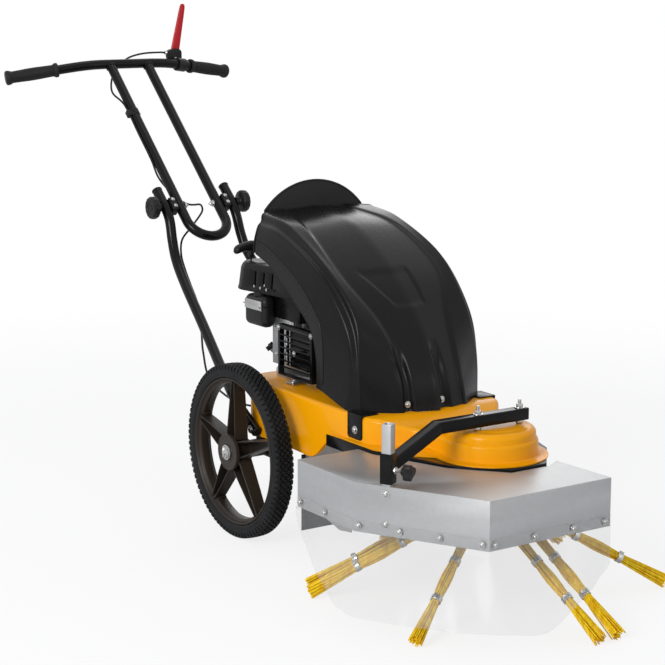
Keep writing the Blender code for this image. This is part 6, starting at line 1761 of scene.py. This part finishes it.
def make_handle_frame():
    """The U of tube with the swept bar across its ends, with a weld bead at each joint."""
    up = up_handle()
    straight = LOOP_LENGTH - UPRIGHT_Y
    reaches = [UPRIGHT_LENGTH - TUBE_RADIUS * 0.4]
    reaches += [UPRIGHT_LENGTH * share for share in (0.75, 0.5, 0.25, 0)]
    reaches.append(-straight * 0.85)
    path = [pivot(-UPRIGHT_Y) + up * reach for reach in reaches]
    for y, drop in arc((0, 0), UPRIGHT_Y, 180, 0, 32):
        path.append(pivot(y) - up * (straight + drop))
    path += [pivot(UPRIGHT_Y) + up * reach for reach in reversed(reaches)]
    loop = sweep(path, TUBE_RADIUS, 36, cap=0.1)
    bar = sweep(bar_line(), TUBE_RADIUS, 36)
    beads = []
    for side in (-1, 1):
        middle = pivot(side * UPRIGHT_Y) + up * (UPRIGHT_LENGTH - TUBE_RADIUS * 0.96)
        ring = []
        for k in range(48):
            angle = math.tau * k / 48
            across = Vector((0, math.cos(angle), 0)) + Vector((up.z, 0, -up.x)) * math.sin(angle)
            dip = 0.0034 * math.sin(angle) ** 2
            wobble = 0.0003 * math.sin(k * 1.9)
            ring.append(middle + across * (TUBE_RADIUS + 0.0004 + wobble) + up * (dip - 0.0012))
        ring.append(ring[0])
        beads.append(sweep(ring, 0.0019, 10, cap=0))
    place([loop, bar, *beads], "handle_tube", "black_paint", "handle", "handle_frame",
          sharp=50)


def grip_axis(side):
    end, bend = Vector(BAR_END), Vector(BAR_BEND)
    end.y *= side
    bend.y *= side
    return end, (end - bend).normalized()


def make_grips():
    """Rubber grips with rounded end caps, an inner collar and fine ribs along them."""
    for side, word in SIDES:
        end, out = grip_axis(side)
        profile = [(0, 0.004), (0.012, 0.004), (0.0165, 0.0032), (0.0186, 0.001),
                   (GRIP_FLARE, -0.0022), (0.0184, -0.006), (0.0172, -0.01)]
        ribs = 44
        first, last = -0.013, -GRIP_LENGTH + 0.014
        for k in range(ribs):
            t = k / (ribs - 1)
            height = first + (last - first) * t
            swell = GRIP_RADIUS - 0.0002 - 0.0006 * math.cos(math.tau * t)
            profile += [(swell, height), (swell, height - 0.0012),
                        (swell - 0.0006, height - 0.0017)]
        profile += [(0.0166, -GRIP_LENGTH + 0.011), (0.0182, -GRIP_LENGTH + 0.0085),
                    (GRIP_FLARE, -GRIP_LENGTH + 0.006), (GRIP_FLARE, -GRIP_LENGTH + 0.0015),
                    (GRIP_FLARE - 0.0012, -GRIP_LENGTH), (0.0115, -GRIP_LENGTH),
                    (0, -GRIP_LENGTH)]
        place(lathe(profile, end, out, 64), f"rubber_grip_{word}", "black_rubber", "handle",
              f"grip_{word}", sharp=60)


LOWER_END_Y = DECK_HALF_WIDTH + GAP + TUBE_RADIUS
LOWER_TUBE_POINTS = (
    (-0.612, LOWER_TUBE_Y, 0.724), (-0.572, LOWER_TUBE_Y, 0.687), (-0.548, LOWER_TUBE_Y, 0.655),
    (-0.53, LOWER_TUBE_Y + 0.003, 0.606), (-0.502, LOWER_TUBE_Y + 0.008, 0.56),
    (-0.44, LOWER_TUBE_Y + 0.018, 0.508), (-0.32, 0.133, 0.424), (-0.2, 0.156, 0.347),
    (-0.1, 0.181, 0.299), (-0.06, LOWER_END_Y, 0.2805), (0.012, LOWER_END_Y, 0.2395),
)


def make_lower_tubes():
    """The bent tubes from the clamps to the deck, each with its two caps and its bolts."""
    for side, word in SIDES:
        points = [(x, side * y, z) for x, y, z in LOWER_TUBE_POINTS]
        tube = sweep(smooth_path(points, 8), TUBE_RADIUS, 36, cap=0.05)
        place(tube, f"frame_tube_{word}", "black_paint", "chassis", f"lower_tube_{word}", sharp=50)
        top, below = Vector(points[0]), Vector(points[1])
        line = (top - below).normalized()
        cap = lathe([(0, -0.001), (TUBE_RADIUS + 0.0006, -0.001), (TUBE_RADIUS + 0.0009, 0.0004),
                     (TUBE_RADIUS + 0.0007, 0.0022), (TUBE_RADIUS - 0.0015, 0.0034), (0, 0.0038)],
                    top - line * 0.0004, line, 40)
        foot, above = Vector(points[-1]), Vector(points[-2])
        run = (foot - above).normalized()
        plug = lathe([(0, -0.0006), (TUBE_RADIUS + 0.0002, -0.0006),
                      (TUBE_RADIUS - 0.0012, 0.0016), (0, 0.0018)], foot, run, 36)
        place([cap, plug], f"tube_caps_{word}", "black_plastic", "chassis")
        heads = []
        for share in (0.22, 0.86):
            spot = above.lerp(foot, share)
            heads.append(screw_head((spot.x, spot.y + side * (TUBE_RADIUS - 0.0004), spot.z),
                                    (0, side, 0), 0.0058, 0.0034))
        place(heads, f"frame_bolts_{word}", "zinc_steel", "chassis")


SADDLE_SCREWS = (-0.0105, 0.0105)


def make_clamps():
    """At each side: the saddle between the tubes with its screws, and the bolt with its nut."""
    up = up_handle()
    across = Vector((up.z, 0, -up.x))
    inner = UPRIGHT_Y + TUBE_RADIUS + GAP
    outer = LOWER_TUBE_Y - TUBE_RADIUS - GAP
    outline = []
    for quarter, (a, b) in enumerate(((1, 1), (-1, 1), (-1, -1), (1, -1))):
        outline += arc((a * 0.014, b * 0.009), 0.006, 90 * quarter, 90 * quarter + 90, 6)
    for side, word in SIDES:
        loops = [[pivot(side * y) + up * u * share + across * v * share for u, v in outline]
                 for y, share in ((inner, 0.94), (inner + 0.0012, 1), (outer - 0.0012, 1),
                                  (outer, 0.94))]
        shells, screws = [loft(loops)], []
        for u in SADDLE_SCREWS:
            foot = pivot(side * (inner + outer) / 2) + up * u + across * 0.0145
            top = foot + across * 0.0016
            shells.append(rod(foot, top, 0.0052, 24, 0.0004))
            screws.append(pan_head(top, across, 0.0034, 0.0034))
        place(shells, f"saddle_{word}", "black_plastic", "chassis",
              f"clamp_saddle_{word}")
        place(screws, f"saddle_screws_{word}", "zinc_steel", "chassis")
        start = UPRIGHT_Y - TUBE_RADIUS - GAP
        low = start - 0.012
        high = LOWER_TUBE_Y + TUBE_RADIUS + 0.0215
        shank = [(0, -0.0002), (0.0024, 0), (0.003, 0.0006)]
        shank += thread(0.003, 0.0025, 0.001, 0.006, 0.001)
        shank += [(0.0029, 0.008), (0.0029, high - low - 0.0005), (0, high - low)]
        bolt = lathe(shank, pivot(side * low), (0, side, 0), 24)
        nut = moved(plate(circle((0, 0), 0.008, 6), 0, 0.0062, 0.0009),
                    standing(pivot(side * start), (0, -side, 0)))
        collar = lathe([(0.0032, 0), (0.0088, 0), (0.009, 0.0005), (0.0086, 0.0012),
                        (0.0032, 0.0012)], pivot(side * start), (0, -side, 0), 28, closed=True)
        place([bolt, nut, collar], f"clamp_shank_{word}", "zinc_steel", "chassis",
              f"clamp_bolt_{word}")


KNOB_STATIONS = (
    (0, 0.0072), (0, 0.0104), (0.0008, 0.0112), (0.0066, 0.0114), (0.0086, 0.013),
    (0.0104, KNOB_RADIUS - 0.008), (0.012, KNOB_RADIUS - 0.0032),
    (0.0138, KNOB_RADIUS - 0.0012), (0.0164, KNOB_RADIUS - 0.0002), (0.023, KNOB_RADIUS),
    (0.0266, KNOB_RADIUS - 0.0005), (0.0288, KNOB_RADIUS - 0.0018),
    (0.0298, KNOB_RADIUS - 0.0042), (0.0294, 0.017), (0.0276, 0.015), (0.027, 0.0075),
    (0.0282, 0.007), (0.0284, 0.0001),
)


def make_clamp_knobs():
    """Round knobs, dished at the face, with shallow flutes round the rim."""
    for side, word in SIDES:
        foot = pivot(side * (LOWER_TUBE_Y + TUBE_RADIUS + GAP))
        knob = loft([level(lobed(radius, 0.0007 if radius > 0.024 else 0.0, 14, 120), height)
                     for height, radius in KNOB_STATIONS])
        place(moved(knob, standing(foot, (0, side, 0))), f"round_knob_{word}", "black_plastic",
              f"knob_{word}", f"clamp_knob_{word}", sharp=35)


# Clutch lever and cable

CABLE_START = (-0.9735, 0.128, 1.052)


def bar_at(y):
    """The handlebar's centre at a distance to the left of the middle, past its bend."""
    end, bend = Vector(BAR_END), Vector(BAR_BEND)
    return bend.lerp(end, (y - bend.y) / (end.y - bend.y))


def make_lever_bracket():
    y = LEVER_PIVOT[1]
    centre = bar_at(y)
    out = grip_axis(1)[1]
    ring = lathe(evened([(0.018, 0.013), (0.017, 0.014), (0.0127, 0.014)]), centre, out, 48,
                 closed=True)
    x, _, z = LEVER_PIVOT
    front = x + LEVER_THICKNESS / 2 + 0.0005
    outline = [(y - 0.028, centre.z + 0.013), (y + 0.013, centre.z + 0.01),
               (y + 0.013, z + 0.004), (y + 0.007, z + 0.011), (y - 0.003, z + 0.0125),
               (y - 0.02, z + 0.0105), (y - 0.029, z + 0.006), (y - 0.031, z - 0.004)]
    points = soft_profile(outline + [outline[0]], 0.004, 4)
    housing = plate(points[:-1], 0, 0.012, 0.0016, segments=3)
    moved(housing, upright(front))
    pin = rod((front + 0.002, y, z), (x - LEVER_THICKNESS / 2 - 0.004, y, z), 0.0034, 24)
    stop = Vector(CABLE_START) + Vector((0, 2 * GAP, 0))
    barrel = rod((stop.x, y - 0.008, stop.z), (stop.x, stop.y + 0.006, stop.z), 0.0054, 28)
    place([ring, housing, pin, barrel], "lever_mount", "black_plastic", "handle",
          "lever_bracket", sharp=40)
    profile = [(0.0027, 0)] + thread(0.005, 0.0044, 0, 0.005, 0.0012)
    profile += [(0.0046, 0.0062), (0.0027, 0.0062)]
    adjuster = lathe(profile, stop, (0, 1, 0), 28, closed=True)
    head = pan_head((front + 0.012, y - 0.006, centre.z + 0.016), (1, 0, 0), 0.003, 0.003)
    place([adjuster, head], "cable_adjuster", "zinc_steel", "handle")


def make_lever():
    """The red lever: a boss round its pin and a tapered, rounded blade."""
    x, y, z = LEVER_PIVOT
    half = LEVER_THICKNESS / 2
    boss = lathe(evened([(0.011, half - 0.0007), (0.0104, half), (0.0038, half)]), (x, y, z),
                 (1, 0, 0), 48, closed=True)
    loops = []
    lean = LEVER_LEAN
    side = Vector((0, math.cos(lean), -math.sin(lean)))
    for share, across, deep in ((0.035, 0.0118, 0.94), (0.1, 0.012, 1), (0.25, 0.0112, 1),
                                (0.5, 0.0098, 0.93), (0.8, 0.0084, 0.82), (0.93, 0.0074, 0.74),
                                (0.975, 0.006, 0.62), (0.993, 0.0038, 0.46), (1, 0.0012, 0.25)):
        reach = LEVER_LENGTH * share
        middle = Vector((x, y + reach * math.sin(lean), z + reach * math.cos(lean)))
        loop = []
        for i in range(28):
            angle = math.tau * i / 28
            a = math.copysign(abs(math.cos(angle)) ** 0.55, math.cos(angle))
            b = math.copysign(abs(math.sin(angle)) ** 0.55, math.sin(angle))
            loop.append(middle + side * a * across + Vector((b * deep * half, 0, 0)))
        loops.append(loop)
    blade = cut(loft(loops), disc(0.008, -0.02, 0.02, (x, y, z), (1, 0, 0), 40))
    place([boss, blade], "red_lever", "red_plastic", "lever", "clutch_lever", sharp=40)


def clip_band(spot, along, tube_centre, radius):
    """A band of the cable's clip, round a tube and the cable beside it."""
    along = Vector(along).normalized()
    away = Vector(spot) - tube_centre
    away -= along * away.dot(along)
    distance = away.length
    away.normalize()
    side = along.cross(away)
    ring = []
    for k in range(48):
        angle = math.tau * k / 48
        c, s = math.cos(angle), math.sin(angle)
        if c > 0.0:
            reach = distance + CABLE_RADIUS + 0.001
            wide = radius + 0.0008 - (radius - CABLE_RADIUS) * c**1.5
            ring.append(tube_centre + away * c * reach + side * s * wide)
        else:
            ring.append(tube_centre + (away * c + side * s) * (radius + 0.0008))
    loops = []
    for thick, push in ((0, -0.003), (0.001, -0.0024), (0.001, 0.0024), (0, 0.003)):
        loops.append([p + (p - tube_centre).normalized() * thick + along * push for p in ring])
    return loft(loops)


CABLE_MEETS_Y = -0.006
UPPER_CABLE = (
    CABLE_START, (-0.975, 0.112, 1.053), (-0.972, 0.06, 1.051), (-0.963, 0.01, 1.04),
    (-0.955, -0.025, 1.015), (-0.935, -0.052, 0.99), (-0.895, -0.072, 0.955),
    (-0.829, -0.0706, 0.925), (-0.7555, -0.0706, 0.857), (-0.69, -0.0706, 0.796),
    (-0.66, -0.064, 0.748), (-0.622, -0.04, 0.704), (-0.594, -0.026, 0.69),
    (-0.579, -0.02, 0.687), (PIVOT_X, -0.0135, PIVOT_Z),
    (PIVOT_X, CABLE_MEETS_Y - GAP / 2, PIVOT_Z),
)
LOWER_CABLE = (
    (PIVOT_X, CABLE_MEETS_Y + GAP / 2, PIVOT_Z), (PIVOT_X, 0.0015, PIVOT_Z),
    (-0.567, 0.006, 0.683), (-0.56, 0.002, 0.668), (-0.553, -0.03, 0.636),
    (-0.541, -0.066, 0.606), (-0.515, -0.084, 0.572), (-0.48, -0.093, 0.54),
    (-0.44, -0.1006, 0.508), (-0.395, -0.106, 0.464), (-0.377, -0.108, 0.405),
    (-0.365, -0.11, 0.35), (-0.33, -0.112, 0.29), (-0.25, -0.096, 0.252),
    (-0.16, -0.078, 0.25), (-0.1, -0.064, 0.262), (-0.06, -0.058, 0.27),
    (-0.03, -0.058, 0.274),
)


def make_cables():
    """The clutch cable's two runs, and the clip that holds it on the handle's tube."""
    for points, name, body, node in (
            (UPPER_CABLE, "cable_at_handle", "handle", "cable_upper"),
            (LOWER_CABLE, "cable_at_deck", "chassis", "cable_lower")):
        run = sweep(smooth_path(points, 10), CABLE_RADIUS, 20, cap=0.1)
        place(run, name, "black_rubber", body, node, sharp=60)
    up = up_handle()
    spot = Vector(UPPER_CABLE[7]).lerp(Vector(UPPER_CABLE[8]), 0.3)
    centre = pivot(-UPRIGHT_Y) + up * (spot - pivot(-UPRIGHT_Y)).dot(up)
    bands = [clip_band(spot + up * step, up, centre + up * step, TUBE_RADIUS)
             for step in (-0.0068, 0, 0.0068)]
    out = (spot - centre).normalized()
    turn = Matrix((up.cross(out), out, up)).transposed().to_4x4()
    block = moved(box((-0.0075, -0.003, -0.0095), (0.0075, 0.0075, 0.0095), 0.0018),
                  Matrix.Translation(centre + out * (TUBE_RADIUS + 0.0012)) @ turn)
    place([*bands, block], "cable_clip_handle", "black_plastic", "handle")


# Belt drive under the deck, seen from below


def make_pulley(centre, core, bore, name, body, node, spokes):
    half = PULLEY_HEIGHT / 2
    groove = BELT_HEIGHT / 2 + GAP
    lip = core + PULLEY_LIP
    profile = evened([(core, groove), (lip, groove), (lip, half - 0.0008), (lip - 0.0008, half),
                      (bore, half)])
    wheel = lathe(profile, (*centre, BELT_Z), steps=96, closed=True)
    if spokes:
        windows = []
        for i in range(spokes):
            spot = polar((core + bore) * 0.5, math.tau * (i + 0.5) / spokes, centre)
            windows.append(rod((*spot, BELT_Z - 0.03), (*spot, BELT_Z + 0.03), core * 0.2, 32, 0))
        wheel = cut(wheel, *windows)
    place(wheel, name, "cast_aluminium", body, node)


def belt_loop(grow):
    """The path round both pulleys at a radius grown from their groove floors."""
    front, rear = BRUSH_PULLEY_CORE + grow, ENGINE_PULLEY_CORE + grow
    lean = math.degrees(math.acos((front - rear) / BRUSH_X))
    return arc((BRUSH_X, 0), front, -lean, lean, 40) + arc((0, 0), rear, lean, 360 - lean, 40)


def make_belt_drive():
    make_pulley((0, 0), ENGINE_PULLEY_CORE, 0.0128, "small_pulley", "engine_crank",
                "engine_pulley", 0)
    make_pulley((BRUSH_X, 0), BRUSH_PULLEY_CORE, 0.0103, "large_pulley", "brush",
                "brush_pulley", 5)
    half = BELT_HEIGHT / 2
    loops = []
    for share, z in ((1, -half + 0.0008), (0.9, -half), (0, -half * 0.62), (0, half * 0.62),
                     (0.9, half), (1, half - 0.0008)):
        loops.append(level(belt_loop(0.001 + BELT_DEPTH * share), BELT_Z + z))
    loops.append(loops[0])
    place(loft(loops, ends=False), "vee_belt", "black_rubber", "chassis", "drive_belt", sharp=30)


# Floor, light and camera


FLOOR_HALF = 40.0
FLOOR_Z = -0.0002


def make_stage():
    """A pale floor that the camera sees fade to white away from the machine."""
    shape = bmesh.new()
    shape.faces.new([shape.verts.new((x * FLOOR_HALF, y * FLOOR_HALF, FLOOR_Z))
                     for x, y in CORNERS])
    floor = from_bmesh(shape)
    floor.name = "floor"
    material = bpy.data.materials.new("floor")
    material.use_nodes = True
    tree = material.node_tree
    link = tree.links.new
    shader = tree.nodes["Principled BSDF"]
    set_values(shader, {"Base Color": (0.93, 0.93, 0.93, 1), "Roughness": 0.85})
    glow = add_node(tree, "Emission")
    rays = add_node(tree, "LightPath")
    spot = add_node(tree, "TexCoord")
    reach = add_node(tree, "VectorMath", operation="LENGTH")
    link(spot.outputs["Object"], reach.inputs[0])
    fade = add_node(tree, "MapRange", {"From Min": 1.2, "From Max": 3.2, "To Min": 0.8,
                                       "To Max": 1.0})
    fade.interpolation_type = "SMOOTHSTEP"
    link(reach.outputs["Value"], fade.inputs["Value"])
    share = add_node(tree, "Math", operation="MULTIPLY")
    link(rays.outputs["Is Camera Ray"], share.inputs[0])
    link(fade.outputs["Result"], share.inputs[1])
    mix_shaders(tree, share.outputs["Value"], shader.outputs["BSDF"], glow.outputs["Emission"],
                tree.nodes["Material Output"])
    floor.data.materials.append(material)


def make_world():
    """A soft grey-blue light all round, which looks white where it is seen."""
    world = bpy.data.worlds.new("studio")
    bpy.context.scene.world = world
    world.use_nodes = True
    tree = world.node_tree
    light = tree.nodes["Background"]
    set_values(light, {"Color": (0.93, 0.95, 1, 1), "Strength": 0.5})
    white = add_node(tree, "Background", {"Color": (1, 1, 1, 1), "Strength": 1.0})
    rays = add_node(tree, "LightPath")
    seen = rays.outputs["Is Camera Ray"]
    for kind in ("Is Glossy Ray", "Is Transmission Ray"):
        either = add_node(tree, "Math", operation="MAXIMUM")
        tree.links.new(seen, either.inputs[0])
        tree.links.new(rays.outputs[kind], either.inputs[1])
        seen = either.outputs["Value"]
    mix_shaders(tree, seen, light.outputs["Background"], white.outputs["Background"],
                tree.nodes["World Output"])


LAMP_TARGET = Vector((0, 0, 0.5))


def make_lamp(name, spot, size, power):
    lamp = bpy.data.lights.new(name, "AREA")
    lamp.shape = "RECTANGLE"
    lamp.size, lamp.size_y = size
    lamp.energy = power
    obj = bpy.data.objects.new(name, lamp)
    bpy.context.scene.collection.objects.link(obj)
    obj.matrix_world = standing(spot, Vector(spot) - LAMP_TARGET)


def make_lights():
    make_lamp("key", (2.1, -4.4, 2.7), (1.9, 1.9), 160.0)
    make_lamp("fill", (4.6, 1.8, 2.0), (1.4, 1.4), 10.0)
    make_lamp("overhead", (-0.6, 0.2, 4.2), (1.6, 1.6), 11.0)
    make_lamp("rim", (-3.6, 3.0, 2.6), (2.0, 2.6), 24.0)


CAMERA_SPOT = (3.48683, -2.30356, 1.25709)
CAMERA_TURN = 0.98163
CAMERA_PITCH = 0.19132
FOCAL_PIXELS = 1841.893
PHOTO_PIXELS = 665


def make_camera():
    camera = bpy.data.cameras.new("camera")
    camera.sensor_width = 36.0
    camera.lens = camera.sensor_width * FOCAL_PIXELS / PHOTO_PIXELS
    camera.clip_end = 60.0
    obj = bpy.data.objects.new("camera", camera)
    bpy.context.scene.collection.objects.link(obj)
    across = Vector((math.cos(CAMERA_TURN), math.sin(CAMERA_TURN), 0))
    ahead = Vector((-math.sin(CAMERA_TURN) * math.cos(CAMERA_PITCH),
                    math.cos(CAMERA_TURN) * math.cos(CAMERA_PITCH), -math.sin(CAMERA_PITCH)))
    up = across.cross(ahead)
    turn = Matrix((across, up, -ahead)).transposed().to_4x4()
    obj.matrix_world = Matrix.Translation(Vector(CAMERA_SPOT) + SHIFT) @ turn
    bpy.context.scene.camera = obj


BUILDERS = (
    make_wheels, make_deck, deck_fasteners, make_cover, make_cover_lip, make_cover_flap,
    make_under_guard, make_rear_guard, make_rear_flap, make_belt_drive, make_brush, make_hub,
    make_hood, make_post, make_curtain, curtain_screws, make_arm, make_arm_hardware,
    make_hood_knob, make_crankcase, make_engine_fittings, make_shroud, make_starter,
    make_intake, make_tank, make_exhaust, make_exhaust_guard, make_handle_frame, make_grips,
    make_lower_tubes, make_clamps, make_clamp_knobs, make_lever_bracket, make_lever,
    make_cables, make_stage, make_world, make_lights, make_camera,
)


def main():
    for name, obj in frame["nodes"].items():
        slot = next(p["material_slot"] for p in frame["record"]["subparts"] if p["node"] == name)
        obj.data.materials.clear()
        obj.data.materials.append(MATERIALS[slot])
    for build in BUILDERS:
        build()
    bpy.context.scene.view_settings.view_transform = "Standard"


make_materials()
main()
